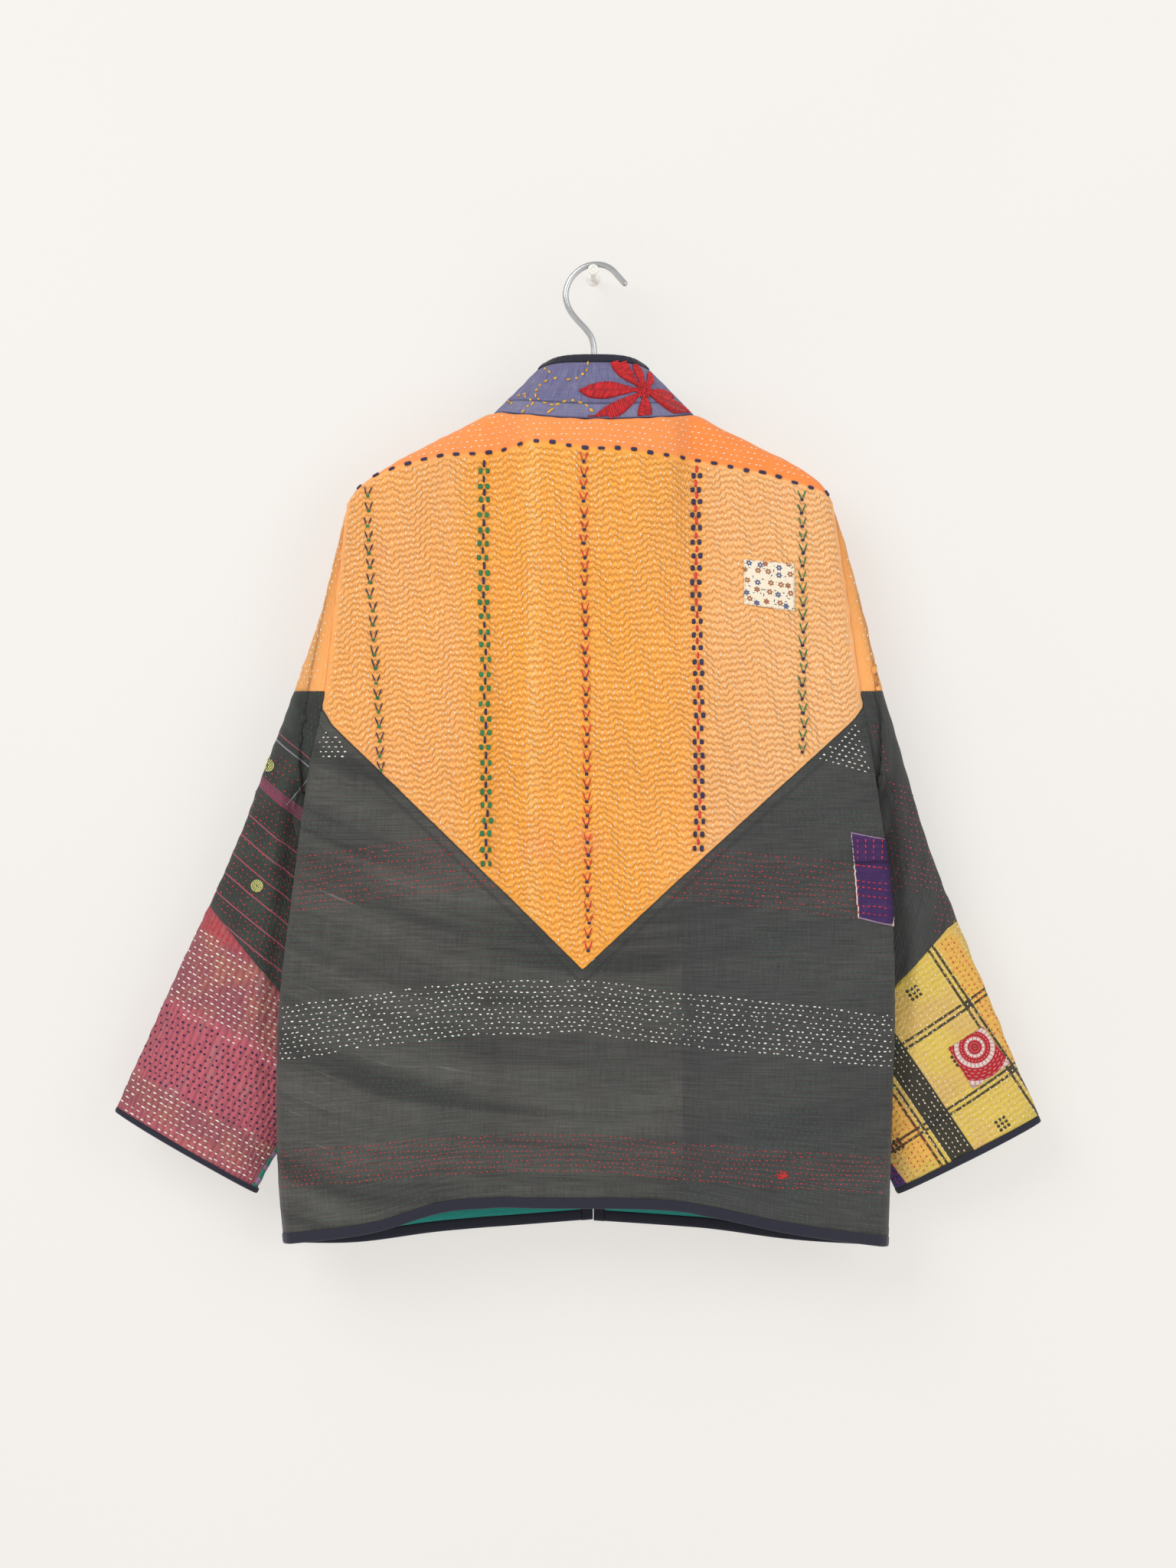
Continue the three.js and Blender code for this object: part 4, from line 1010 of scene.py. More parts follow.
class Thread:
    """Points for stitches: each place, its thread's direction and the way out of the cloth."""

    def __init__(self):
        self.places = []
        self.threads = []
        self.outwards = []
        self.reaches = []

    def add(self, cloth, u, v, thread=(0, 0, -1), turn=None, proud=0.0, reach=1.0):
        """Adds a stitch at each u and v of a cloth. thread is a direction in space, or turn is an
        angle on the cloth from the way that u grows. reach is how long a stitch is beside the rest."""
        u, v = (np.ravel(a).astype(float) for a in np.broadcast_arrays(u, v))
        if not len(u):
            return
        normal = cloth.normals(u, v)
        if turn is None:
            along = np.broadcast_to(np.asarray(thread, float), normal.shape)
        else:
            across, down = cloth.tangents(u, v)
            across /= np.maximum(np.linalg.norm(across, axis=1, keepdims=True), 1e-9)
            down /= np.maximum(np.linalg.norm(down, axis=1, keepdims=True), 1e-9)
            angle = np.broadcast_to(turn, u.shape)[:, None]
            along = across * np.cos(angle) + down * np.sin(angle)
        along = along - normal * np.sum(along * normal, axis=1, keepdims=True)
        self.places.append(cloth(u, v) + normal * np.broadcast_to(proud, u.shape)[:, None])
        self.threads.append(along / np.maximum(np.linalg.norm(along, axis=1, keepdims=True), 1e-9))
        self.outwards.append(normal)
        self.reaches.append(np.broadcast_to(np.asarray(reach, float), u.shape))

    def sew(self, name, material, stitch, seed):
        """Makes the stitches one piece, all of one kind."""
        places = np.vstack(self.places)
        mesh = bpy.data.meshes.new(name)
        mesh.from_pydata(places.tolist(), [], [])
        for key, rows in (("thread", self.threads), ("outward", self.outwards)):
            attribute = mesh.attributes.new(key, "FLOAT_VECTOR", "POINT")
            attribute.data.foreach_set("vector", np.vstack(rows).reshape(-1).astype(np.float32))
        attribute = mesh.attributes.new("reach", "FLOAT", "POINT")
        attribute.data.foreach_set("value", np.concatenate(self.reaches).astype(np.float32))
        values = {
            "Length": stitch.length,
            "Width": stitch.width,
            "Height": stitch.height,
            "Unevenness": stitch.unevenness,
            "Roundness": stitch.roundness,
            "Square": stitch.square,
            "Seed": seed,
            "Material": material,
        }
        return add_piece(name, grow(mesh, trees()["Stitches"], values), material)


def trees():
    """The Geometry Nodes trees, made at their first use."""
    makers = {"Stitches": stitch_tree, "Ripples": ripple_tree}
    return {
        name: bpy.data.node_groups.get(name) or make() for name, make in makers.items()
    }


# Where the cloths' own patterns lie, seen from behind, as x and z

RINGS_EYE = (0.3374, -0.6899)
PURPLE_HEIGHT = 0.078
# The left cuff's outer end and the way up from the cuff
LEFT_CUFF = (-0.4202, -0.7366)
CUFF_UP = (0.487, 0.873)
# Corners of print that show at the cuffs' inner ends
LEFT_PRINT = (-0.2985, -0.8064)
LEFT_PRINT_INWARD = (0.850, -0.526)
RIGHT_PRINT = (0.2667, -0.7968)
ROSE_RIDGE_PITCH = 0.0075
# A crossing of the windowpane, its way down the sleeve, and its sizes
PANE_CROSSING = (0.3317, -0.652)
PANE_DOWN = (0.559, -0.829)
PANE_LENGTH = 0.0697
PANE_PAIR = 0.0026
PANE_LINE = (0.0010, 0.0004)
PANE_SQUARE = (0.0038, 0.0034)
PANE_BEYOND_STRIPE = 0.0072
PANE_STRIPE = (0.0677, 0.0893)
PANE_DOT_PITCH = 0.0041
# The lines across the left middle sleeve
STRIPE_ALONG = (0.77, -0.64)
STRIPE_PITCH = 0.0178
STRIPE_FIRST = -0.568


# Materials of the cloths


THREAD_PAIR = 0.0011


def woven(look, colour, streaks=0.3, coarse=1.0):
    """A woven cloth's colour and height: uneven threads both ways and thicker ones here and there."""
    u, v, _ = look.lengths().parts()
    weft = look.noise(look.vector(u * 55 * coarse, v * 1400 * coarse), 1.0, 2.0, 0.6)
    warp = look.noise(look.vector(u * 1400 * coarse, v * 55 * coarse), 1.0, 2.0, 0.6)
    turn = 2 * math.pi / THREAD_PAIR
    weave = (u * turn).sine() * (v * turn).sine()
    cloudy = look.noise(look.place(), 9.0, 3.0)
    amount = 1 + (weft - 0.5) * streaks * 2 + (warp - 0.5) * streaks + (cloudy - 0.5) * 0.16
    height = weave * 0.10 + weft * 0.35 + warp * 0.25
    return look.shade(colour, amount), height


def quilted(look, height, pitch_u=0.0055, pitch_v=0.006, depth=0.55):
    """Adds the soft puckers that rows of running stitches leave."""
    u, v, _ = look.lengths().parts()
    drift = look.noise(look.lengths(), 34.0, 2.0) * 9.0
    across = (v * (2 * math.pi / pitch_v) + drift).sine()
    along = (u * (2 * math.pi / pitch_u) + across * 0.8 + drift * 0.6).sine()
    soft = look.noise(look.lengths(), 260.0, 2.0)
    return height + across * (0.5 * depth) + along * (0.3 * depth) + soft * depth


def cotton(name, colour, streaks, puckers):
    """A plain dyed cotton."""
    look = Look(name)
    dyed, height = woven(look, colour, streaks)
    if puckers:
        height = quilted(look, height, depth=puckers)
    return look.finish(dyed, 0.9, height, 0.0006, Sheen_Weight=0.15, Sheen_Roughness=0.5)


def orange_cotton(colours):
    """The upper back: golden in the middle, peach to the sides, redder over the shoulders, with painted shade
    in the valleys between its ridges.
    """
    look = Look("Orange kantha cotton")
    x, _, z = look.place().parts()
    u, v, _ = look.lengths().parts()
    wander = look.noise(look.place(), 14.0, 3.0) - 0.5
    middle = (x + wander * 0.03).band(-0.010, 0.085, 0.035)
    faded = look.noise(look.vector(x * 6, z * 2.2), 3.0, 4.0).step(0.42, 0.62)
    base = look.mix(colours.peach, colours.gold, (middle * 0.85 + faded * 0.25).least(1.0))
    base = look.mix(base, paint("ffcb94"), x.step(0.02, 0.20) * 0.45)
    pale = x.band(-0.053, 0.0025, 0.006) * look.noise(look.vector(x * 40, z * 60), 3.0, 3.0).step(0.4, 0.6)
    base = look.mix(base, colours.pale_fold, pale * 0.55)
    blush = look.noise(look.vector(x * 8, z * 8, 3.0), 1.6, 2.0).step(0.60, 0.78)
    base = look.mix(base, colours.blush, blush * 0.35)
    yoke = look.attribute("yoke")
    base = look.mix(base, colours.yoke, yoke * 0.9)
    right_tone = x.step(0.083, 0.086) * yoke
    base = look.mix(base, colours.yoke_right, right_tone * 0.8)
    dyed, height = woven(look, base, 0.10)
    scallop = (u * (2 * math.pi / 0.0052)).sine() * 0.13
    drift = (look.noise(look.place(), 130.0, 2.0) - 0.5) * 0.5
    ridge = ((look.attribute("row") + scallop + drift) * math.pi).sine().size()
    ease = look.attribute("ease")
    broken = look.noise(look.vector(u * 90, v * 60), 3.0, 2.0).step(0.30, 0.55)
    # Painted shade: the orange shadow colour darkens the valleys between the ridges of sewing.
    valley_painted_shade = (1 - ridge.step(0.05, 0.55)) * ease * (broken * 0.75 + 0.25)
    dyed = look.mix(dyed, colours.orange_shadow, valley_painted_shade * 0.55)
    height = quilted(look, height, depth=0.25) + ridge * ease * 2.2
    return look.finish(dyed, 0.88, height, 0.0006, Sheen_Weight=0.12, Sheen_Roughness=0.5)


def charcoal_cotton(colours, name="Charcoal slub cotton", puckers=0.45):
    """Grey-green cotton with pale slubs, darker under its bands of sewing."""
    look = Look(name)
    x = look.place().parts()[0]
    u, v, _ = look.lengths().parts()
    bowed = v + x * x * 0.9
    bands = look.noise(look.vector(u * 1.6, bowed * 30), 1.0, 3.0, 0.6)
    base = look.mix(colours.charcoal_dark, colours.charcoal, bands.step(0.36, 0.60))
    slub = look.noise(look.vector(u * 16, bowed * 330), 1.0, 3.0, 0.7).step(0.60, 0.78)
    patches = look.noise(look.vector(u * 5, bowed * 16), 1.0, 2.0).step(0.40, 0.66)
    base = look.mix(base, colours.charcoal_light, slub * patches * 0.62 + patches * 0.12)
    right = x.step(0.0775, 0.0790)
    base = look.mix(base, colours.charcoal_cool, right * 0.65)
    dyed, height = woven(look, base, 0.75, coarse=0.55)
    specks = look.dashes(u, v, 0.0055, 0.0052, 0.0013, 0.0009)
    sewn = look.noise(look.place(), 18.0, 2.0).step(0.40, 0.62)
    dyed = look.mix(dyed, paint("2c7a55"), specks * (sewn * 0.5 + 0.12))
    height = height - specks * 0.8
    seam = look.attribute("seam")
    line = seam.band(0.0092, 0.0004, 0.0006) * 0.8 + seam.band(0.0, 0.0006, 0.0012)
    dyed = look.mix(dyed, colours.charcoal_dark, line.least(1.0) * 0.8)
    height = quilted(look, height, depth=puckers) - seam.band(0.0092, 0.0006, 0.0016) * 1.6
    return look.finish(dyed, 0.9, height, 0.0006, Sheen_Weight=0.12, Sheen_Roughness=0.5)


def floral_print(colours):
    """Cream cotton printed with small blue and brown flowers and dark leaves."""
    look = Look("Floral print cotton")
    u, v, _ = look.lengths().parts()
    dyed, height = woven(look, colours.cream, 0.12)
    across, up, first, second = look.cells(u + 0.0021, v + 0.0034, 0.0046, 0.9)
    turn = first * 6.28
    along = across * turn.cosine() + up * turn.sine()
    aside = up * turn.cosine() - across * turn.sine()
    leaf = (along.length_with(aside * 3.2)).step(0.0017, 0.0013) * second.step(0.25, 0.35)
    across, up, first, second = look.cells(u, v, 0.0092, 0.6)
    petals = (up.angle_of(across) * 6 + first * 9).cosine()
    reach = across.length_with(up) * (1.12 - petals * 0.22)
    flower = reach.step(0.0030, 0.0025)
    nearby = reach.step(0.0050, 0.0044)
    dyed = look.mix(dyed, paint("4a4d5e"), leaf * (1 - nearby))
    ink = look.mix(paint("9a5a2c"), paint("3d4f7c"), second.step(0.49, 0.51))
    dyed = look.mix(dyed, ink, flower * 0.92)
    dyed = look.mix(dyed, colours.cream, reach.step(0.0009, 0.0005) * first.step(0.4, 0.5))
    return look.finish(dyed, 0.9, height, 0.0005)


def rings_print(colours):
    """Red cotton with rings of pale squares round a point and pale corners."""
    look = Look("Ringed red cotton")
    x, _, z = look.place().parts()
    off_x, off_z = x - RINGS_EYE[0], z - RINGS_EYE[1]
    reach = off_x.length_with(off_z)
    angle = off_z.angle_of(off_x)
    dyed, height = woven(look, look.mix(colours.crimson, paint("a81f2c"), 0.5), 0.25)
    for radius, half, squares in ((0.0076, 0.0012, 14), (0.0161, 0.0019, 28), (0.0314, 0.0018, 44)):
        gap = (angle * (squares / 2)).sine().size().step(0.0, 0.45)
        dyed = look.mix(dyed, paint("e4d9d2"), reach.band(radius, half * 0.85, half * 0.4) * gap * 0.9)
    corner = reach.step(0.0335, 0.0345)
    dyed = look.mix(dyed, paint("b9bcc9"), corner * 0.85)
    specks = look.dashes(angle * 0.012, reach, 0.0028, 0.0027, 0.0014, 0.0008)
    dyed = look.mix(dyed, paint("e9c9c6"), specks * 0.55)
    return look.finish(dyed, 0.85, quilted(look, height, 0.0028, 0.0027, 0.5) + specks, 0.0006)


def purple_cotton(colours):
    """Purple cotton with worn threads, a pale frayed left edge, a cream corner and painted shade along a fold.
    """
    look = Look("Purple cotton")
    x, _, z = look.place().parts()
    u, v, _ = look.lengths().parts()
    worn = look.noise(look.vector(x * 90, z * 150), 1.0, 4.0, 0.7)
    base = look.mix(colours.purple, paint("563a70"), worn.step(0.5, 0.8) * 0.8)
    dyed, height = woven(look, base, 0.5)
    fray = look.noise(look.vector(u * 40, v * 420), 1.0, 3.0, 0.7)
    edge = u.step(0.0016, 0.0004) * v.step(0.024, 0.030) + u.step(0.0010, 0.0002) * fray.step(0.4, 0.6)
    ends = v.size().least((v - PURPLE_HEIGHT).size()) + (fray - 0.5) * 0.002
    dyed = look.mix(dyed, paint("b99bb8"), ends.step(0.0014, 0.0002) * 0.8)
    dyed = look.mix(dyed, paint("e8d3c8"), edge.least(1.0))
    corner_x, corner_z = 0.2643, -0.580
    corner = ((x - corner_x) * 0.96 - (z - corner_z) * 0.27 + (fray - 0.5) * 0.003).step(-0.0002, 0.0002)
    dyed = look.mix(dyed, paint("ead6c8"), corner * z.step(-0.556, -0.560))
    # Painted shade: a dark line along a fold across the patch, where the bump dips into a groove.
    fold = (z + 0.5265 - (x - 0.24) * 0.03).size().step(0.0022, 0.0)
    dyed = look.mix(dyed, paint("24143a"), fold * 0.7)
    return look.finish(dyed, 0.88, height - fold * 3, 0.0006)


def rose_cotton(colours):
    """The left lower sleeve: red at its seam, browner and pinker below, teal print at one corner, and painted
    shade between its sewn ridges.
    """
    look = Look("Rose cotton")
    x, _, z = look.place().parts()
    u, v, _ = look.lengths().parts()
    from_cuff = (x - LEFT_CUFF[0]) * CUFF_UP[0] + (z - LEFT_CUFF[1]) * CUFF_UP[1]
    wander = (look.noise(look.place(), 22.0, 3.0) - 0.5) * 0.016
    cloudy = look.noise(look.place(), 26.0, 4.0, 0.6)
    base = look.mix(paint("9c5560"), paint("b06a5e"), cloudy.step(0.42, 0.66))
    pink = (from_cuff + wander).band(0.066, 0.030, 0.012) + from_cuff.step(0.010, -0.004) * 0.5
    base = look.mix(base, paint("c4606f"), (pink * 0.85).least(1.0))
    base = look.mix(base, paint("bb4a52"), (from_cuff + wander).step(0.160, 0.172) * 0.85)
    pale = look.noise(look.vector(u * 60, v * 30), 1.0, 3.0).step(0.56, 0.72)
    base = look.mix(base, paint("a9797c"), pale * 0.5)
    dyed, height = woven(look, base, 0.26)
    uneven = (look.noise(look.place(), 60.0, 2.0) - 0.5) * 5
    ridge = (u * (2 * math.pi / ROSE_RIDGE_PITCH) + uneven).sine() * 0.5 + 0.5
    # Painted shade: darker in the troughs between the ridges that the bump raises.
    dyed = look.mix(dyed, paint("7c3d49"), ridge.step(0.45, 0.0) * 0.5)
    corner = (x - LEFT_PRINT[0]) * LEFT_PRINT_INWARD[0] + (z - LEFT_PRINT[1]) * LEFT_PRINT_INWARD[1]
    drift = look.noise(look.place(), 55.0, 2.0)
    swirl = ((x * 420 + z * 260 + drift * 9).sine() * 0.5 + 0.5)
    printed = look.mix(paint("2f9a86"), paint("a98bb3"), swirl.step(0.62, 0.70))
    printed = look.mix(printed, paint("1d2b33"), swirl.band(0.62, 0.03, 0.03))
    dyed = look.mix(dyed, printed, corner.step(-0.0002, 0.0002))
    return look.finish(dyed, 0.9, quilted(look, height, depth=0.5) + ridge * 1.6, 0.0006, Sheen_Weight=0.12)


def windowpane_cotton(colours):
    """The right lower sleeve: yellow panes between pairs of dark lines, with a wide dark stripe, and painted
    shade in its ripples' troughs.
    """
    look = Look("Yellow windowpane cotton")
    x, _, z = look.place().parts()
    down, inward = look.turned(x, z, PANE_CROSSING, PANE_DOWN)
    pane = down.centred(PANE_LENGTH)
    broken = look.noise(look.vector(x * 330, z * 330), 1.0, 2.0).step(0.34, 0.46)
    cloudy = look.noise(look.place(), 17.0, 3.0, 0.55)
    base = look.mix(colours.yellow, paint("ddb768"), cloudy.step(0.40, 0.62))
    green = look.noise(look.place(), 7.0, 2.0).step(0.52, 0.70)
    base = look.mix(base, paint("c5b849"), green * 0.6)
    near_cuff = down.step(0.098, 0.128) * inward.step(0.045, 0.010)
    base = look.mix(base, paint("b9b454"), near_cuff * 0.55)
    outer = inward.band(-0.0150, 0.0085, 0.003) * down.band(0.020, 0.075, 0.010)
    inner = inward.band(0.1090, 0.0110, 0.004) * down.band(0.058, 0.034, 0.008)
    base = look.mix(base, paint("edb654"), (outer + inner).least(1.0) * 0.8)
    beyond = inward - PANE_STRIPE[1] - PANE_BEYOND_STRIPE
    lines = inward.size().band(PANE_PAIR, *PANE_LINE)
    lines = lines.most(beyond.size().band(PANE_PAIR, *PANE_LINE))
    across = pane.size().band(PANE_PAIR, *PANE_LINE)
    lines = (lines.most(across) * (broken * 0.7 + 0.3)).least(1.0)
    square = pane.size().step(*PANE_SQUARE) * inward.size().step(*PANE_SQUARE)
    middle = PANE_STRIPE[0] / 2
    dots = pane_dots(down, inward, PANE_LENGTH / 2, middle).most(
        pane_dots(down, inward, 0.0, PANE_STRIPE[1] + 0.033)
    )
    marks = lines.most(square).most(dots)
    dyed, height = woven(look, base, 0.16)
    dyed = look.mix(dyed, paint("1d2124"), marks * 0.93)
    near, far = PANE_STRIPE
    stripe = inward.band((near + far) / 2, (far - near) / 2, 0.0006)
    deep = look.mix(paint("1e2327"), paint("2c3b33"), down.step(0.03, -0.03))
    spots = look.noise(look.place(), 70.0, 2.0).step(0.62, 0.72) * down.step(0.10, 0.13)
    deep = look.mix(deep, paint("382760"), spots)
    dyed = look.mix(dyed, deep, stripe * 0.96)
    corner = -((x - RIGHT_PRINT[0]) * 0.786) - (z - RIGHT_PRINT[1]) * 0.618
    dyed = look.mix(dyed, paint("45306f"), corner.step(-0.0002, 0.0002))
    ripple = (down * (2 * math.pi / 0.0052) + (look.noise(look.place(), 70.0, 2.0) - 0.5) * 4).sine() * 0.5
    height = quilted(look, height, depth=0.5) + ripple
    # Painted shade: darker in the troughs of the ripples that the bump makes.
    dyed = look.mix(dyed, look.shade(dyed, 0.72), ripple.step(-0.15, -0.5) * 0.45)
    return look.finish(dyed, 0.9, height, 0.0006, Sheen_Weight=0.1)


def pane_dots(down, inward, first, centre):
    """Nine small round dots in a square in each pane."""
    off_down = (down - first).centred(PANE_LENGTH)
    off_in = inward - centre
    inside = off_down.size().step(0.0064, 0.0062) * off_in.size().step(0.0064, 0.0062)
    dot = off_down.centred(PANE_DOT_PITCH).length_with(off_in.centred(PANE_DOT_PITCH))
    return inside * dot.step(0.0018, 0.0014)


def striped_charcoal(colours):
    """The left middle sleeve: charcoal with a magenta stripe and thin pink and pale lines across."""
    look = Look("Striped charcoal cotton")
    x, _, z = look.place().parts()
    along, right = look.turned(x, z, (0.0, 0.0), STRIPE_ALONG)
    across = -right
    wavy = (look.noise(look.place(), 30.0, 2.0) - 0.5) * 0.002
    cloudy = look.noise(look.place(), 40.0, 3.0)
    base = look.mix(colours.charcoal_dark, paint("3b3f3b"), cloudy.step(0.4, 0.6))
    dyed, height = woven(look, base, 0.4)
    fine = (look.noise(look.vector(along * 8, across * 900), 1.0, 2.0, 0.7)).step(0.36, 0.62)
    magenta = (across + wavy).band(-0.5385, 0.0042, 0.0012)
    dyed = look.mix(dyed, paint("9a4468"), magenta * (fine * 0.5 + 0.3))
    thin = (across - STRIPE_FIRST + wavy).centred(STRIPE_PITCH).size().step(0.0008, 0.0003)
    below = across.step(-0.560, -0.562)
    pale = (across + 0.5015 + wavy).size().step(0.0008, 0.0003)
    pink = (across + 0.4955 + wavy).size().step(0.0007, 0.0002).most(thin * below)
    upright = (along - 0.0951).size().step(0.0007, 0.0002) * across.band(-0.519, 0.020, 0.002)
    dyed = look.mix(dyed, paint("b05468"), pink * 0.85)
    dyed = look.mix(dyed, paint("a9a4b4"), pale.most(upright) * 0.75)
    u, v, _ = look.lengths().parts()
    specks = look.dashes(v, u, 0.0052, 0.0050, 0.0014, 0.0009)
    dyed = look.mix(dyed, paint("2f7a55"), specks * 0.5)
    return look.finish(dyed, 0.9, quilted(look, height, depth=0.7), 0.0006, Sheen_Weight=0.12)


def thread_look(name, colour, darker=0.72, roughness=0.55):
    """Twisted cotton embroidery thread."""
    look = Look(name)
    shade = look.attribute("shade")
    twist = look.noise(look.place(), 2600.0, 2.0)
    tone = 1 + (shade - 0.5) * (1 - darker) * 1.6 + (twist - 0.5) * 0.35
    return look.finish(look.shade(colour, tone), roughness, twist, 0.0002, Sheen_Weight=0.08)


def brushed_metal(name, colour):
    """Satin aluminium with fine marks of handling."""
    look = Look(name)
    marks = look.noise(look.place(), 900.0, 3.0)
    wear = look.noise(look.place(), 60.0, 3.0)
    return look.finish(
        look.shade(colour, 0.92 + (wear - 0.5) * 0.14),
        0.30 + (marks - 0.5) * 0.12 + (wear - 0.5) * 0.10,
        marks,
        0.00004,
        Metallic=1.0,
    )


def eggshell_paint(name, colour):
    """White paint over metal, with a little unevenness."""
    look = Look(name)
    lumps = look.noise(look.place(), 700.0, 2.0)
    dirt = look.noise(look.place(), 260.0, 3.0).step(0.35, 0.75)
    return look.finish(look.shade(colour, 1.0 - dirt * 0.12), 0.42, lumps, 0.00006)


# Sizes and colours that a user would change


def colour_property(name, code, description):
    return FloatVectorProperty(
        name=name, subtype="COLOR", size=3, min=0.0, max=1.0, default=paint(code), description=description
    )


def length_property(name, default, description):
    return FloatProperty(
        name=name, unit="LENGTH", default=default, min=0.0, precision=5, description=description
    )


class KanthaColours(bpy.types.PropertyGroup):
    """Colours of the cloths, threads and metal."""

    gold: colour_property("Gold", "ffad45", "Middle of the upper back")
    peach: colour_property("Peach", "fbb267", "Sides of the upper back")
    pale_fold: colour_property("Pale fold", "ffc878", "Old fold line down the upper back")
    blush: colour_property("Blush", "f99a6a", "Faint stains on the upper back")
    yoke: colour_property("Yoke", "f8924f", "Shoulders of the upper back")
    yoke_right: colour_property("Right yoke", "f98a3c", "Right shoulder, past an old seam")
    # Painted shade for the valleys between the rows of sewing on the upper back
    orange_shadow: colour_property("Orange shadow", "c9762c", "Folds between the rows of sewing")
    charcoal: colour_property("Charcoal", "474644", "Lower back")
    charcoal_dark: colour_property("Dark charcoal", "343433", "Darker bands of the lower back")
    charcoal_light: colour_property("Light charcoal", "807f77", "Pale slubs of the lower back")
    charcoal_cool: colour_property("Cool charcoal", "3b3b3d", "Right part of the lower back")
    yellow: colour_property("Yellow", "e2c35b", "Right lower sleeve")
    indigo: colour_property("Indigo", "625f86", "Collar")
    navy: colour_property("Navy", "1f2030", "Bindings")
    crimson: colour_property("Crimson", "c0101b", "Flower on the collar")
    cream: colour_property("Cream", "efe3cc", "Flowered patch and the thread of the upper back")
    purple: colour_property("Purple", "3b2156", "Patch at the right side")
    teal: colour_property("Teal", "1f8f86", "Lining")
    white_thread: colour_property("White thread", "f1efe6", "Pale sewing on the lower back")
    red_thread: colour_property("Red thread", "d02a2c", "Red sewing")
    green_thread: colour_property("Green thread", "17713f", "Green embroidery")
    violet_thread: colour_property("Violet thread", "211845", "Violet embroidery")
    golden_thread: colour_property("Golden thread", "dca52c", "Sewing on the collar")
    aluminium: colour_property("Aluminium", "c9cbcd", "Hanger")
    paint: colour_property("Paint", "e9e7e1", "Wall peg")
    wall: colour_property("Wall", "f0eeea", "Wall and floor")


class KanthaSizes(bpy.types.PropertyGroup):
    """Sizes of the sewing and of the meshes."""

    column_step: length_property("Column step", 0.0026, "Width of the upper back's faces")
    row_step: length_property("Row step", 0.0015, "Height of the upper back's faces")
    plain_step: length_property("Plain step", 0.0038, "Size of the other cloths' faces")
    row_pitch: length_property("Row pitch", 0.0059, "Distance between the upper back's ripples")
    ripple_height: length_property("Ripple height", 0.0008, "Height of the upper back's ripples")
    stitch_pitch: length_property("Stitch pitch", 0.0050, "Distance between stitches in a row")
    stitch_length: length_property("Stitch length", 0.0027, "Length of a running stitch")
    stitch_width: length_property("Stitch width", 0.0012, "Thickness of a running stitch")
    seed: IntProperty(name="Seed", default=7, description="Seed of the sewing's unevenness")


# Layout of the cloths


def steps(low, high, step, edges=()):
    """Even steps between two fractions, with finer ones near the edges' given fractions."""
    count = max(2, math.ceil((high - low) / step) + 1)
    values = np.concatenate([np.linspace(low, high, count), np.array(edges, float)])
    values = values[(values >= low) & (values <= high)]
    return np.unique(np.round(values, 8))


def body_lengths(s, t, width=BODY_WIDTH):
    """The lengths across and down a body cloth at its s and t."""
    return np.stack(np.broadcast_arrays(s * width, t * BODY_HEIGHT), axis=-1)


def lengths_of(points):
    """The real lengths along a grid of points, across from the first column and down each one."""
    across = np.linalg.norm(np.diff(points, axis=0), axis=2)
    down = np.linalg.norm(np.diff(points, axis=1), axis=2)
    middle = across[:, across.shape[1] // 2 : across.shape[1] // 2 + 1]
    u = np.concatenate([[[0.0]], np.cumsum(middle, axis=0)])
    v = np.concatenate([np.zeros((len(points), 1)), np.cumsum(down, axis=1)], axis=1)
    return np.stack([np.broadcast_to(u, v.shape), v], axis=-1)


ROLL_ROWS = np.array([0, 0.5, 1, 2, 3.5, 5.5, 8, 10, 12]) * 0.001 / BODY_HEIGHT
SIDE_COLUMNS = np.array([0, 0.5, 1, 2, 3.5, 5.5, 8]) * 0.001 / BODY_WIDTH

# The line of dashes across the shoulders, as x and z
DASH_LINE = (
    (-0.215, -0.196),
    (-0.205, -0.1900),
    (-0.170, -0.1760),
    (-0.130, -0.1665),
    (-0.095, -0.1660),
    (-0.075, -0.1620),
    (-0.0535, -0.1560),
    (-0.030, -0.1590),
    (-0.008, -0.1625),
    (0.040, -0.1650),
    (0.091, -0.1720),
    (0.150, -0.1830),
    (0.1965, -0.1965),
    (0.212, -0.2030),
)


def dash_line_z(x):
    xs, zs = np.array(DASH_LINE).T
    return np.interp(x, xs, zs)


def row_count(x, z, pitch):
    """How many rows of sewing lie above a place of the upper back, with their gentle waves."""
    wave = (
        0.55 * np.sin(2 * np.pi * x / 0.088 + z * 9)
        + 0.40 * np.sin(2 * np.pi * x / 0.051 - z * 23 + 1.2)
        + 0.28 * np.sin(2 * np.pi * x / 0.027 + z * 41 + 0.5)
        + 0.16 * np.sin(2 * np.pi * x / 0.014 + z * 160)
    )
    return (dash_line_z(x) * 0.6 - 0.066 - z) / pitch + wave


def seam_rows(s, height_of):
    """The row t of the back, at each column s, where it reaches a line's height."""
    low = np.zeros_like(s)
    high = np.ones_like(s)
    for _ in range(40):
        middle = (low + high) / 2
        point = back_surface(s, middle)
        below = point[..., 2] < height_of(point[..., 0])
        high = np.where(below, middle, high)
        low = np.where(below, low, middle)
    return (low + high) / 2


def seam_distance(x, z):
    """How far a place is from the V seam, seen from behind."""
    xs, zs = np.array(V_SEAM).T
    best = np.full(np.shape(x), 1.0)
    for ax, az, bx, bz in zip(xs, zs, xs[1:], zs[1:]):
        length = (bx - ax) ** 2 + (bz - az) ** 2
        w = np.clip(((x - ax) * (bx - ax) + (z - az) * (bz - az)) / length, 0, 1)
        best = np.minimum(best, np.hypot(x - ax - w * (bx - ax), z - az - w * (bz - az)))
    return best


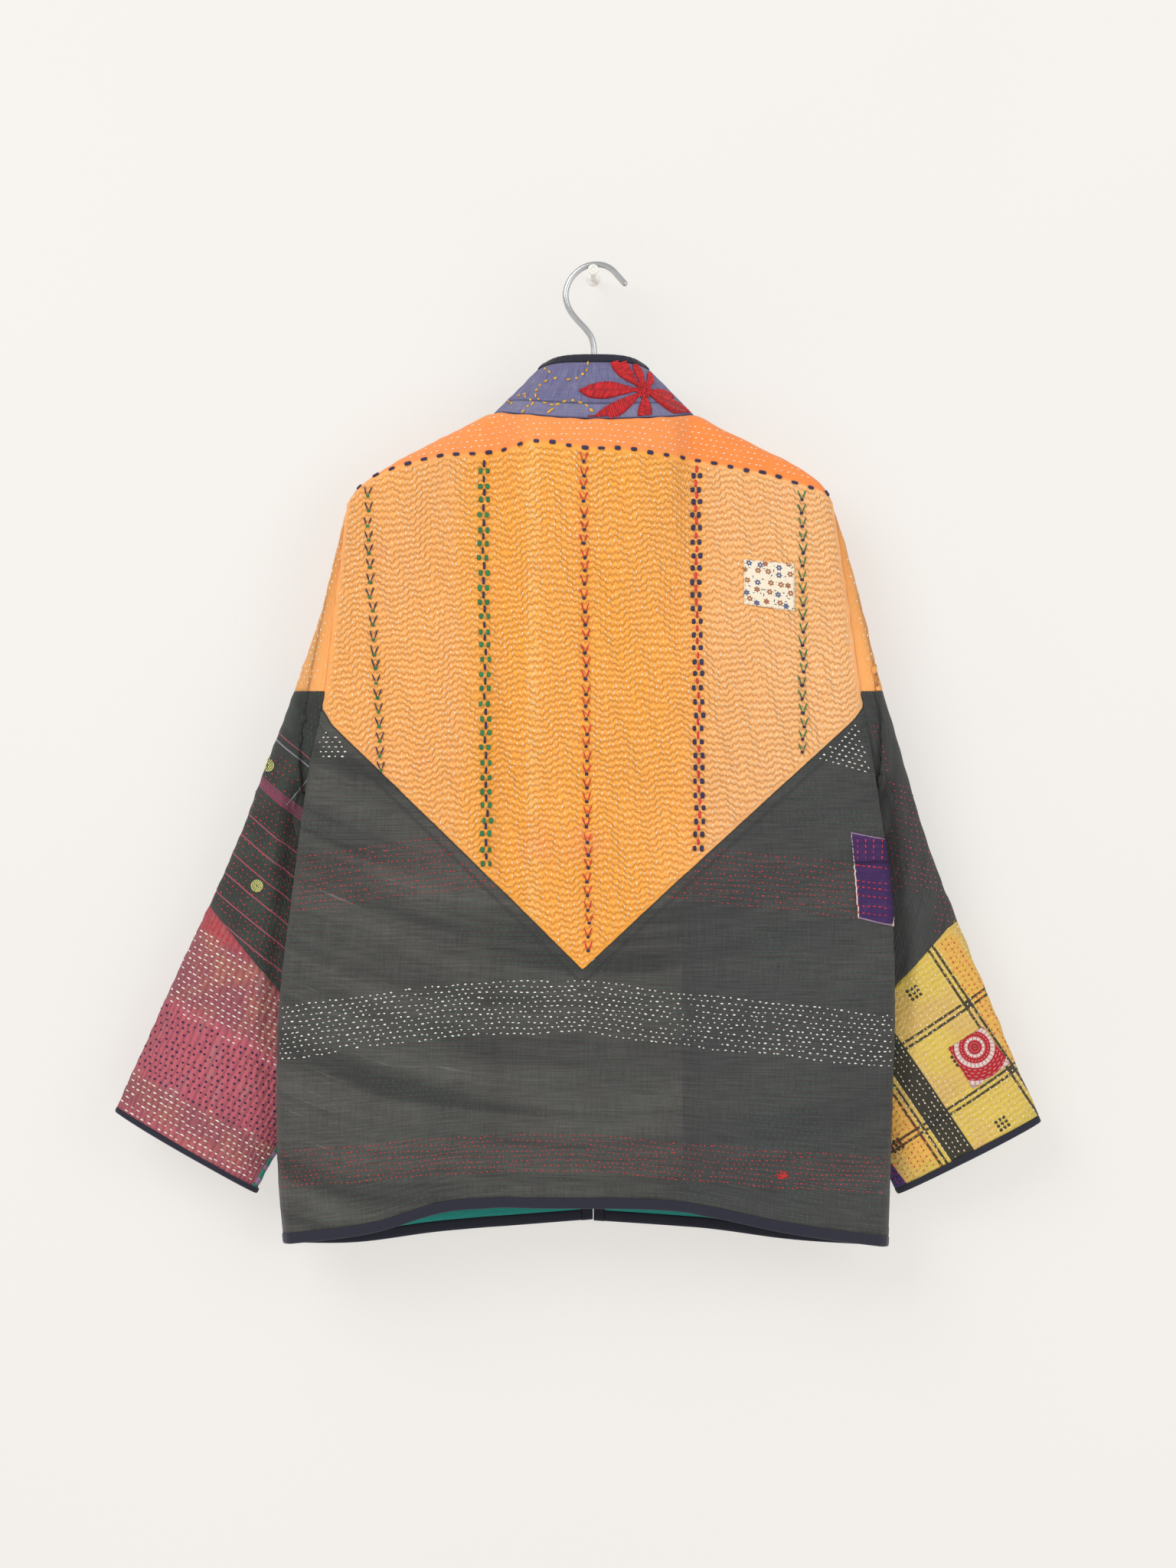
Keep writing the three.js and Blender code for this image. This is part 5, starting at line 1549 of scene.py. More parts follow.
class Cut:
    """A cloth's flat cut: its width and length in metres, and its area where it isn't a rectangle."""

    def __init__(self, width, length, share=1.0):
        self.flat = (width, length)
        self.area = width * length * share

    def declare(self, piece, with_pieces=()):
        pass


def add_upper_back(colours, sizes):
    tip = seam_rows(np.array([0.485]), v_seam_z)[0] + 0.004
    s = steps(0, 1, sizes.column_step / BODY_WIDTH, [*SIDE_COLUMNS, *(1 - SIDE_COLUMNS)])
    t = steps(0, tip, sizes.row_step / BODY_HEIGHT, ROLL_ROWS)
    seam = seam_rows(s, lambda x: v_seam_z(x) + SEAM_GAP)
    points = back_surface(s[:, None], np.minimum(t[None, :], seam[:, None]))
    x, y, z = np.moveaxis(points, -1, 0)
    below_line = dash_line_z(x) - z
    on_yoke = smooth(0.0015, -0.0015, below_line)
    distance = seam_distance(x, z)
    ease = smooth(0.000, 0.006, below_line) * smooth(0.0005, 0.005, distance)
    ease *= smooth(0, 0.010, np.minimum(s, 1 - s)[:, None] * BODY_WIDTH + 0 * z)
    values = {
        "row": row_count(x, z, sizes.row_pitch),
        "ease": ease,
        "yoke": on_yoke,
        "seam": distance,
        "lift": -0.0008 * smooth(0.004, 0.0, distance) + puffs(x, z) * 0.0006 * smooth(0, 0.01, distance),
    }
    lengths = body_lengths(s[:, None], np.minimum(t[None, :], seam[:, None]))
    mesh = grid_mesh("back_upper_cloth", points, lengths, -1, values=values)
    material = orange_cotton(colours)
    made = grow(mesh, trees()["Ripples"], {"Height": sizes.ripple_height, "Material": material})
    piece = add_piece("back_upper_cloth", made, material, ["back_upper"])
    Cut(0.46, 0.49, 0.70).declare(thicken(piece))


def puffs(x, z):
    """Soft unevenness of quilted cloth, from -1 to 1."""
    return (
        np.sin(x * 210 + np.sin(z * 90) * 1.7)
        + np.sin(z * 240 + np.sin(x * 130 + 1) * 1.9)
        + np.sin((x + z) * 330 + 2)
    ) / 3


def add_lower_back(colours, sizes):
    s = steps(0, 1, sizes.plain_step / BODY_WIDTH, [*SIDE_COLUMNS, *(1 - SIDE_COLUMNS)])
    w = steps(0, 1, sizes.plain_step / 0.38)
    hem = 1 - BINDING_WIDTH / BODY_HEIGHT
    seam = seam_rows(s, v_seam_z)
    t = seam[:, None] + (hem - seam[:, None]) * w[None, :]
    points = back_surface(s[:, None], t)
    x, y, z = np.moveaxis(points, -1, 0)
    distance = seam_distance(x, z)
    lift = 0.0006 * smooth(0.0, 0.003, distance) - 0.0007 * np.exp(-(((distance - 0.0092) / 0.0016) ** 2))
    values = {"seam": distance, "lift": lift - 0.0006 + puffs(x, z) * 0.0005, "row": 0 * z, "ease": 0 * z}
    lengths = body_lengths(s[:, None], t)
    mesh = grid_mesh("back_lower_cloth", points, lengths, -1, values=values)
    material = charcoal_cotton(colours)
    made = grow(mesh, trees()["Ripples"], {"Height": 0.0, "Material": material})
    piece = add_piece("back_lower_cloth", made, material, ["back_lower"])
    Cut(0.54, 0.46, 0.76).declare(thicken(piece))


def add_fronts(colours, sizes):
    upper_look = cotton("Orange front cotton", colours.peach, 0.14, 0.6)
    lower_look = charcoal_cotton(colours, "Charcoal front cotton")
    lining = cotton("Teal lining", colours.teal, 0.2, 0.4)
    centre = 1 - BINDING_WIDTH / (BODY_WIDTH / 2)
    hem = 1 - BINDING_WIDTH / BODY_HEIGHT
    for side, name in ((LEFT, "left"), (RIGHT, "right")):
        s = steps(0, centre, sizes.plain_step * 2 / BODY_WIDTH, SIDE_COLUMNS * 2)
        middle = front_surface(side, np.full(400, 0.5), np.linspace(0, 1, 400))[:, 2]
        seam = np.interp(-FRONT_SEAM_Z, -middle, np.linspace(0, 1, 400))
        upper_t = steps(0, seam - SEAM_GAP / BODY_HEIGHT, sizes.plain_step / BODY_HEIGHT, ROLL_ROWS)
        lower_t = steps(seam, hem, sizes.plain_step / BODY_HEIGHT)
        pieces = (
            ("upper", upper_t, upper_look, "orange", Cut(0.245, 0.235, 0.80)),
            ("lower", lower_t, lower_look, "charcoal", Cut(0.27, 0.455, 0.98)),
        )
        for part, t, look, slot, cut in pieces:
            points = front_surface(side, s[:, None], t[None, :])
            values = {"seam": np.ones(points.shape[:2])}
            piece_name = f"front_{name}_{part}_cloth"
            lengths = body_lengths(s[:, None], t[None, :], BODY_WIDTH / 2)
            mesh = grid_mesh(piece_name, points, lengths, 1, values=values)
            piece = add_piece(piece_name, mesh, look, [f"front_{name}_{part}"])
            thicken(piece, lining=lining)
            cut.declare(piece)


def below_line(points, line):
    """How far points are below a sloping line of two x and z ends."""
    (ax, az), (bx, bz) = line
    along = np.array([bx - ax, bz - az]) / math.hypot(bx - ax, bz - az)
    down = np.array([along[1], -along[0]])
    if down[1] > 0:
        down = -down
    return (points[..., 0] - ax) * down[0] + (points[..., 2] - az) * down[1]


def cut_rows(side, u, line):
    """The v, at each u of a sleeve, where it passes below a line; 0 where it starts below."""
    low = np.zeros_like(u)
    high = np.full_like(u, CUFF_ROW)
    for _ in range(36):
        middle = (low + high) / 2
        below = below_line(sleeve_surface(side, u, middle), line) > 0
        high = np.where(below, middle, high)
        low = np.where(below, low, middle)
    return np.where(high < 1e-4, 0, (low + high) / 2)


def cap_line(side):
    return ((side.sign * 0.3, CAP_SEAM_Z), (side.sign * 0.2, CAP_SEAM_Z))


def lower_line(side):
    return LEFT_SLEEVE_SEAM if side.sign < 0 else RIGHT_SLEEVE_SEAM


def sleeve_creases(side, u, v, points):
    """Soft troughs and ridges where a hanging sleeve folds, as a lift off the cloth."""
    w = (1 - np.cos(2 * np.pi * u)) / 2
    sharp = lambda phase: 1 - np.abs(np.sin(phase)) ** 0.8
    armpit = np.exp(-(((w - 0.86) / 0.16) ** 2)) * smooth(0.10, 0.22, v) * smooth(0.62, 0.40, v)
    drape = np.sin(2 * np.pi * (3.2 * v + 0.8 * w + 0.1 * side.sign)) * smooth(0.2, 0.5, v)
    return (
        -0.0030 * armpit * sharp(np.pi * (v * 13 + w * 2.2))
        + 0.0012 * drape
        + 0.0006 * puffs(points[..., 0], points[..., 2])
    )


def add_sleeves(colours, sizes, looks):
    lining = cotton("Sleeve lining", colours.teal, 0.2, 0.4)
    for side, name in ((LEFT, "left"), (RIGHT, "right")):
        cloth = SLEEVES[side]
        u = np.linspace(0, 1, 125)
        cap, middle = (cut_rows(side, u, line) for line in (cap_line(side), lower_line(side)))
        end = np.full_like(u, CUFF_ROW)
        pieces = (
            ("cap", 0 * u, cap, "orange", Cut(0.17, 0.10, 0.49), 36),
            ("middle", cap, middle, "charcoal", Cut(0.33, 0.27, 0.61), 74),
            ("lower", middle, end, {LEFT: "rose", RIGHT: "yellow"}[side], Cut(0.30, 0.22, 0.81), 58),
        )
        whole = sleeve_surface(side, u[:, None], np.linspace(0, CUFF_ROW, 200)[None, :])
        all_lengths = lengths_of(whole)
        for part, start, stop, slot, cut, rows in pieces:
            w = np.linspace(0, 1, rows)
            v = start[:, None] + (stop - start)[:, None] * w[None, :]
            grid_u = np.broadcast_to(u[:, None], v.shape)
            points = sleeve_surface(side, grid_u, v)
            creases = sleeve_creases(side, grid_u, v, points)
            points = points + cloth.normals(grid_u, v) * creases[..., None]
            v_lengths = np.stack(
                [np.interp(v[i], np.linspace(0, CUFF_ROW, 200), all_lengths[i, :, 1]) for i in range(len(u))]
            )
            around = np.linspace(0, 0.5, len(u))[:, None] + 0 * v
            lengths = np.stack([around, v_lengths], axis=-1)
            opposite = sleeve_surface(side, 1 - grid_u, v)
            gap = np.linalg.norm(points - opposite, axis=-1)
            room = np.clip(0.4 * gap / CLOTH, 0.04, 1)
            values = {"seam": 0 * v + 1.0, "room": room}
            piece_name = f"sleeve_{name}_{part}_cloth"
            mesh = grid_mesh(piece_name, points, lengths, -1, closed=True, values=values)
            piece = add_piece(piece_name, mesh, looks[(name, part)], [f"sleeve_{name}_{part}"])
            thicken(piece, lining=lining if part == "lower" else None, room="room")
            cut.declare(piece)


# Bindings


BINDING_AROUND = 14
BINDING_PROUD = 0.0009
BINDING_PUCKER = 0.10
BINDING_SQUARENESS = 0.55
EDGE = 1 - 1e-4


def rounded_ring(count, power):
    """A round of unit x and y, squarer as power falls."""
    angle = 2 * np.pi * np.arange(count) / count
    flat = lambda wave: np.sign(wave) * np.abs(wave) ** power
    return flat(np.cos(angle)), flat(np.sin(angle))


def strip_rings(cloth, inner, outer, pucker_at):
    """Rings round a folded strip over a cloth's edge, from its u and v at its inner and outer lines."""
    start = cloth(*inner)
    end = cloth(*outer)
    middle_u, middle_v = ((np.array(a) + np.array(b)) / 2 for a, b in zip(inner, outer))
    normal = cloth.normals(middle_u, middle_v)
    down = end - start
    width = np.linalg.norm(down, axis=1, keepdims=True)
    down = down / np.maximum(width, 1e-9)
    pucker = 1 + BINDING_PUCKER * pucker_at(start)[:, None]
    centre = (start + end) / 2 - normal * CLOTH / 2
    unit_across, unit_proud = rounded_ring(BINDING_AROUND, BINDING_SQUARENESS)
    across = (width / 2) * unit_across[None, :]
    proud = (CLOTH / 2 + BINDING_PROUD) * pucker * unit_proud[None, :]
    return centre[:, None, :] + across[..., None] * down[:, None, :] + proud[..., None] * normal[:, None, :]


def add_binding(name, cloth, inner, outer, look, node, seed=0.0):
    def pucker_at(start):
        steps_along = np.linalg.norm(np.diff(start, axis=0), axis=1)
        travelled = np.concatenate([[0], np.cumsum(steps_along)])
        fine = np.sin(travelled * 900 + 2.2 * np.sin(travelled * 170 + seed))
        return fine * np.sin(travelled * 61 + seed)

    mesh = loft(name, strip_rings(cloth, inner, outer, pucker_at))
    add_piece(name, mesh, look, [node])


def add_bindings(colours):
    look = cotton("Navy binding", colours.navy, 0.22, 0.0)
    hem = 1 - BINDING_WIDTH / BODY_HEIGHT
    centre = 1 - BINDING_WIDTH / (BODY_WIDTH / 2)
    s = steps(0.001, 0.999, 0.0025 / BODY_WIDTH, SIDE_COLUMNS)
    lines = (s, 0 * s + hem), (s, 0 * s + EDGE)
    add_binding("hem_binding_back_strip", BACK, *lines, look, "hem_binding_back")
    for side, name in ((LEFT, "left"), (RIGHT, "right")):
        s = steps(0.004, centre, 0.005 / BODY_WIDTH)
        t = steps(0.012, EDGE, 0.0025 / BODY_HEIGHT)
        strips = (
            (f"hem_binding_{name}", f"hem_binding_front_{name}", (s, 0 * s + hem), (s, 0 * s + EDGE), 1.0),
            (f"front_edge_{name}", f"front_edge_binding_{name}", (0 * t + centre, t), (0 * t + EDGE, t), 2.0),
        )
        for strip, node, inner, outer, seed in strips:
            add_binding(f"{strip}_strip", FRONTS[side], inner, outer, look, node, seed + side.sign)
        add_cuff(side, name, look)
    add_collar_binding(look)


def add_cuff(side, name, look):
    """The binding round a cuff: a closed ring of folded strip."""
    u = np.linspace(0, 1, 241)[:-1]
    pucker = np.sin(u * 2 * np.pi * 58 + np.sin(u * 40)) * np.sin(u * 2 * np.pi * 5)
    rings = strip_rings(SLEEVES[side], (u, 0 * u + CUFF_ROW), (u, 0 * u + EDGE), lambda start: pucker)
    mesh = loft(f"cuff_{name}_strip", np.concatenate([rings, rings[:1]]), closed_ends=False)
    merged(mesh)
    add_piece(f"cuff_{name}_strip", mesh, look, [f"cuff_binding_{name}"])


def add_collar_binding(look):
    u = steps(-0.998, 0.998, 0.006)
    foot = 1 - COLLAR_BINDING + 0.008
    lines = (u, 0 * u + foot), (u, 0 * u + 1)
    add_binding("collar_binding_strip", COLLAR, *lines, look, "collar_binding", 0.7)


# Collar


def chambray(colours):
    """Blue cotton with a pale weft, a lighter strip at its foot and a seam above that."""
    look = Look("Blue chambray")
    u, v, _ = look.lengths().parts()
    rise = look.attribute("rise")
    pale = look.noise(look.vector(u * 500, v * 60), 1.0, 3.0, 0.7).step(0.35, 0.75)
    base = look.mix(colours.indigo, paint("9a9dbd"), pale * 0.35)
    strip = rise.step(0.235, 0.225)
    base = look.mix(base, paint("8b8aa6"), strip * 0.3)
    worn = look.noise(look.vector(u * 40, v * 80), 1.0, 3.0).step(0.5, 0.75)
    base = look.mix(base, paint("8a8793"), worn * 0.35)
    dyed, height = woven(look, base, 0.36, coarse=0.8)
    seam = rise.band(0.23, 0.004, 0.012)
    foot = rise.step(0.03, 0.0)
    dyed = look.mix(dyed, paint("3a3d63"), (seam * 0.65).most(foot * 0.7))
    return look.finish(dyed, 0.88, quilted(look, height, depth=0.35) - seam * 1.5, 0.0006, Sheen_Weight=0.12)


def add_collar(colours):
    u = np.unique(np.concatenate([steps(-0.999, 0.999, 0.010), [0.0]]))
    v = steps(0.0, 1 - COLLAR_BINDING, 0.028)
    points = collar_surface(u[:, None], v[None, :])
    normal = COLLAR.normals(np.broadcast_to(u[:, None], points.shape[:2]), np.broadcast_to(v, points.shape[:2]))
    x, y, z = np.moveaxis(points, -1, 0)
    points = points + normal * (0.0007 * puffs(x, z) * np.sin(np.pi * v / v[-1]))[..., None]
    values = {"rise": np.broadcast_to(v, x.shape)}
    mesh = grid_mesh("collar_cloth", points, lengths_of(points), -1, values=values)
    piece = add_piece("collar_cloth", mesh, chambray(colours), ["collar"])
    thicken(piece, lining=cotton("Collar lining", colours.peach, 0.2, 0.4))
    Cut(0.44, 0.062, 0.85).declare(piece)


# Hanger, hook and peg


def directions(line, w):
    """The unit directions of a curve at fractions of its length."""
    along = line(np.minimum(w + 1e-3, 1)) - line(np.maximum(w - 1e-3, 0))
    return along / np.linalg.norm(along, axis=1, keepdims=True)


def add_hanger(colours):
    metal = brushed_metal("Satin aluminium", colours.aluminium)
    line = Curve(HANGER_LINE)
    w = np.unique(np.concatenate([np.linspace(0, 1, 121), [0.002, 0.004, 0.996, 0.998]]))
    point = line(w)
    along = directions(line, w)
    down = np.stack([along[:, 2], 0 * w, -along[:, 0]], axis=1)
    down *= np.where(down[:, 2:] > 0, -1, 1)
    from_end = np.minimum(w, 1 - w)
    slim = (0.7 + 0.3 * smooth(0, 0.06, from_end)) * (0.86 + 0.14 * smooth(0, 0.004, from_end))
    across, deep = rounded_ring(24, 0.5)
    centre = point + down * (HANGER_HEIGHT / 2 * slim)[:, None]
    rings = (
        centre[:, None, :]
        + deep[None, :, None] * (HANGER_HEIGHT / 2 * slim)[:, None, None] * down[:, None, :]
        + across[None, :, None] * (HANGER_HALF_DEPTH * slim)[:, None, None] * np.array([0, 1, 0])
    )
    mesh = loft("hanger_bar_cast", rings)
    add_piece("hanger_bar_cast", mesh, metal, ["hanger_bar"])

    line = Curve(HOOK_LINE)
    end = np.sin(np.linspace(0.12, 1, 7) * np.pi / 2)
    tip = 1 - (1 - end) * HOOK_WIRE / 2 / line.length
    w = np.concatenate([np.linspace(0, 1 - HOOK_WIRE / 2 / line.length, 160), tip])
    point = line(w)
    along = directions(line, w)
    side = np.stack([-along[:, 2], 0 * w, along[:, 0]], axis=1)
    from_tip = np.minimum(1, (1 - w) * line.length / (HOOK_WIRE / 2))
    radius = HOOK_WIRE / 2 * np.sqrt(np.maximum(1 - (1 - from_tip) ** 2, 0.004))
    angle = 2 * np.pi * np.arange(24) / 24
    rings = point[:, None, :] + radius[:, None, None] * (
        np.cos(angle)[None, :, None] * side[:, None, :]
        + np.sin(angle)[None, :, None] * np.array([0, 1, 0])
    )
    mesh = loft("hanger_hook_wire", rings)
    add_piece("hanger_hook_wire", mesh, metal, ["hanger_hook"])


# The peg's outline: distance along Y and radius
PEG_OUTLINE = (
    (WALL_Y, 0.0060),
    (WALL_Y - 0.0012, 0.0060),
    (WALL_Y - 0.0019, 0.0056),
    (WALL_Y - 0.0022, 0.0046),
    (WALL_Y - 0.0025, PEG_RADIUS),
    (PEG_FRONT_Y + 0.0032, PEG_RADIUS),
    (PEG_FRONT_Y + 0.0029, PEG_HEAD_RADIUS - 0.0003),
    (PEG_FRONT_Y + 0.0026, PEG_HEAD_RADIUS),
    (PEG_FRONT_Y + 0.0008, PEG_HEAD_RADIUS),
    (PEG_FRONT_Y + 0.0003, PEG_HEAD_RADIUS - 0.0003),
    (PEG_FRONT_Y, PEG_HEAD_RADIUS - 0.0010),
    (PEG_FRONT_Y, 0.0024),
    (PEG_FRONT_Y + 0.0003, 0.0021),
    (PEG_FRONT_Y + 0.0009, 0.0019),
    (PEG_FRONT_Y + 0.0009, 0.0008),
)


def add_peg(colours):
    angle = 2 * np.pi * np.arange(48) / 48
    rings = [
        np.stack([radius * np.cos(angle), 0 * angle + y, -PEG_RADIUS + radius * np.sin(angle)], axis=1)
        for y, radius in PEG_OUTLINE
    ]
    mesh = loft("wall_peg_turned", rings)
    material = eggshell_paint("Eggshell paint", colours.paint)
    piece = add_piece("wall_peg_turned", mesh, material, ["wall_peg"])
    bevel = piece.modifiers.new("Edge", "BEVEL")
    bevel.width = 0.0001
    bevel.segments = 2
    bevel.limit_method = "ANGLE"


# Sewing on the body


def on_back(stitches, x, z, **layout):
    """Adds stitches to the back at places seen from behind."""
    x, z = (np.ravel(a) for a in np.broadcast_arrays(np.asarray(x, float), np.asarray(z, float)))
    if len(x):
        stitches.add(BACK, *find_on_back(x, z), **layout)


def find_on_back(x, z):
    return BACK.find(x, z, ((x + 0.27) / 0.54, (-z - 0.13) / 0.72))


def side_x(side, z):
    return side.curve(side.curve.fraction_at_z(z))[..., 0]


def on_body(x, z, margin):
    """True where a place is on the body, further than margin from its sides."""
    return (x > side_x(LEFT, z) + margin) & (x < side_x(RIGHT, z) - margin)


# The embroidered rows down the upper back: x at the top and bottom, z at the top and bottom
EMBROIDERY = {
    "row_1": (-0.1985, -0.1870, -0.1935, -0.448),
    "row_2": (-0.0965, -0.0945, -0.1690, -0.532),
    "row_3": (-0.0085, -0.0045, -0.1650, -0.610),
    "row_4": (0.0900, 0.0935, -0.1740, -0.517),
    "row_5": (0.1840, 0.1835, -0.1975, -0.434),
}
FLORAL_CENTRE = (0.1545, -0.2815)
FLORAL_SIZE = 0.045


def row_x(name, z):
    top_x, bottom_x, top_z, bottom_z = EMBROIDERY[name]
    return top_x + (bottom_x - top_x) * smooth(top_z, bottom_z, z)


def clear_of_embroidery(x, z, margin):
    clear = np.ones(np.shape(x), bool)
    for name, (_, _, top_z, bottom_z) in EMBROIDERY.items():
        clear &= (np.abs(x - row_x(name, z)) > margin) | (z > top_z) | (z < bottom_z)
    return clear


def off_floral_patch(x, z, margin=0.002):
    half = FLORAL_SIZE / 2 + margin
    return (np.abs(x - FLORAL_CENTRE[0]) > half) | (np.abs(z - FLORAL_CENTRE[1]) > half)


def add_back_running_stitches(colours, sizes, rng):
    """Cream stitches: upright ones on the ridges of the upper back, level ones over the shoulders."""
    cream = thread_look("Cream thread", colours.cream, 0.85, 0.7)
    upright = Thread()
    rows = np.arange(0, 84)
    x = np.arange(-0.262, 0.258, sizes.stitch_pitch)
    x, row = np.meshgrid(x, rows, indexing="ij")
    x = x + rng.normal(0, 0.0006, x.shape) + (row % 2) * sizes.stitch_pitch * 0.5
    z = dash_line_z(x) - row * sizes.row_pitch
    for _ in range(8):
        z = z + (row_count(x, z, sizes.row_pitch) - (row + first_row(sizes) + 0.5)) * sizes.row_pitch
    inside = (dash_line_z(x) - z > 0.004) & (z > v_seam_z(x) + 0.0035) & on_body(x, z, 0.004)
    inside &= (seam_distance(x, z) > 0.003) & clear_of_embroidery(x, z, 0.0055) & off_floral_patch(x, z)
    inside &= rng.random(x.shape) > 0.04
    on_back(upright, x[inside], z[inside], thread=(0.05, 0, -1), proud=sizes.ripple_height)
    stitch = Stitch("cream", sizes.stitch_length, sizes.stitch_width, sizes.stitch_width * 0.8)
    upright.sew("stitches_upper_back", cream, stitch, sizes.seed)

    level = Thread()
    x, row = np.meshgrid(np.arange(-0.215, 0.212, 0.0060), np.arange(1, 12), indexing="ij")
    x = x + rng.normal(0, 0.0007, x.shape) + (row % 2) * 0.0030
    droop = np.interp(np.abs(x), (0, 0.1, 0.2), (0, -0.001, -0.004))
    z = dash_line_z(x) * 0.5 + (-0.158 - 0.12 * np.abs(x)) * 0.5 + row * 0.0049 + droop
    inside = (z > dash_line_z(x) + 0.0035) & (z < shoulder_z(x) - 0.0025)
    inside &= rng.random(x.shape) > 0.05
    on_back(level, x[inside], z[inside], thread=(1, 0, 0.06), proud=0.0002)
    level.sew("stitches_shoulders", cream, STITCHES["shoulder"], sizes.seed + 1)


def first_row(sizes):
    return math.floor(row_count(0.0, -0.150, sizes.row_pitch))


def shoulder_z(x):
    return np.interp(x, BACK_TOP.points[:, 0], BACK_TOP.points[:, 2])


def embroidery_places(name, pitch, rng):
    top_x, bottom_x, top_z, bottom_z = EMBROIDERY[name]
    count = int((top_z - bottom_z) / pitch)
    z = top_z - (np.arange(count) + 0.5) * pitch + rng.normal(0, 0.0005, count)
    return row_x(name, z) + rng.normal(0, 0.0005, count), z


# The draw that the first piece of dashes starts from; the next pieces count on
DASH_SEED = 3


def add_embroidery(colours, sizes, rng):
    """Rows of open V stitches with a knot at each point, and of dashes between pairs of blocks."""
    green = thread_look("Green thread", colours.green_thread)
    violet = thread_look("Violet thread", colours.violet_thread)
    red = thread_look("Red thread", colours.red_thread)
    chevrons = (
        ("row_1", violet, green, 0.0127),
        ("row_3", red, violet, 0.0119),
        ("row_5", green, violet, 0.0117),
    )
    for name, arm_look, knot_look, pitch in chevrons:
        x, z = embroidery_places(name, pitch, rng)
        arms = Thread()
        for lean in (-1, 1):
            tilt = rng.normal(0, 0.05, len(x))
            spread = np.stack([lean * (0.36 + tilt), 0 * x, 1 + 0 * x], axis=1)
            on_back(arms, x + lean * 0.0022, z + 0.0012, thread=spread, proud=0.0012)
        arms.sew(f"embroidery_{name}_arms", arm_look, STITCHES["arm"], sizes.seed)
        knots = Thread()
        on_back(knots, x, z - 0.0036, thread=(0, 0, 1), proud=0.0013)
        knots.sew(f"embroidery_{name}_knots", knot_look, STITCHES["knot"], sizes.seed)
    pairs = (("row_2", violet, green, 0.0128), ("row_4", red, violet, 0.0117))
    for name, dash_look, block_look, pitch in pairs:
        x, z = embroidery_places(name, pitch, rng)
        dashes = Thread()
        on_back(dashes, x, z, thread=(0, 0, 1), proud=0.0012)
        dashes.sew(f"embroidery_{name}_dashes", dash_look, STITCHES["dash"], DASH_SEED)
        blocks = Thread()
        for lean in (-1, 1):
            on_back(blocks, x + lean * 0.0030, z - pitch / 2, thread=(0, 0, 1), proud=0.0012)
        blocks.sew(f"embroidery_{name}_blocks", block_look, STITCHES["block"], DASH_SEED + 1)
    dashes = Thread()
    x = np.arange(-0.206, 0.206, 0.0142)
    x = x[np.abs(x - 0.184) > 0.003]
    slope = (dash_line_z(x + 0.003) - dash_line_z(x - 0.003)) / 0.006
    along = np.stack([0 * x + 1, 0 * x, slope], axis=1)
    on_back(dashes, x, dash_line_z(x) + rng.normal(0, 0.0004, len(x)), thread=along, proud=0.0010)
    dashes.sew("embroidery_shoulder_dashes", violet, STITCHES["shoulder dash"], DASH_SEED + 2)


class KANTHA_OT_back_sewing(bpy.types.Operator):
    """Sew and embroider the back"""

    bl_idname = "kantha.back_sewing"
    bl_label = "Sewing of the back"

    def execute(self, context):
        colours, sizes = settings()
        rng = np.random.default_rng(sizes.seed)
        add_back_running_stitches(colours, sizes, rng)
        add_embroidery(colours, sizes, rng)
        return {"FINISHED"}


# Sewing on the lower back

# How far a row of sewing drops from its height in the middle, as x and drop
ROW_DROP = (
    (-0.274, 0.0247),
    (-0.200, 0.0133),
    (-0.114, 0.0029),
    (-0.0095, 0.0),
    (0.066, 0.0113),
    (0.161, 0.020),
    (0.256, 0.0315),
)
# Bands of rows: the first row's z in the middle, its rows, their pitch, the stitches' pitch and the drop
WHITE_BAND = (-0.6297, 11, 0.0045, 0.0060, 1.0)
UPPER_RED_BAND = (-0.4990, 10, 0.0051, 0.0044, 1.05)
LOWER_RED_BAND = (-0.7640, 8, 0.0043, 0.0044, 0.70)
# Triangles of white rows under the upper corners of the V: corners as x and z, and the rows' slope
WHITE_TRIANGLES = (
    (((-0.238, -0.405), (-0.210, -0.431), (-0.2445, -0.437)), 0.0),
    (((0.2305, -0.399), (0.186, -0.434), (0.246, -0.451)), -0.287),
)
PURPLE_LEFT = ((0.2268, -0.4994), (0.2330, -0.5754))
PURPLE_BOTTOM_EDGE_Z = -0.583
PURPLE_TOP_EDGE_Z = -0.5056
PURPLE_ON_FRONT = 0.016


def lower_lift(x, z):
    """How far the lower back's cloth lies off its plain surface."""
    return -0.0006 + puffs(x, z) * 0.0005


def off_purple_patch(x, z):
    (top_x, top_z), (bottom_x, bottom_z) = PURPLE_LEFT
    left = top_x + (bottom_x - top_x) * (top_z - z) / (top_z - bottom_z)
    return (x < left - 0.001) | (z > top_z - 0.002) | (z < PURPLE_BOTTOM_EDGE_Z)


def on_lower_back(stitches, x, z, inside, slope):
    """Adds level or sloping stitches to the lower back, clear of its seams, edges and patch."""
    inside = inside & (z < v_seam_z(x) - 0.0035) & (seam_distance(x, z) > 0.003)
    inside &= on_body(x, z, 0.003) & off_purple_patch(x, z)
    x, z, slope = x[inside], z[inside], np.broadcast_to(slope, inside.shape)[inside]
    thread = np.stack([1 + 0 * x, 0 * x, slope], axis=1)
    on_back(stitches, x, z, thread=thread, proud=lower_lift(x, z) + 0.0005)


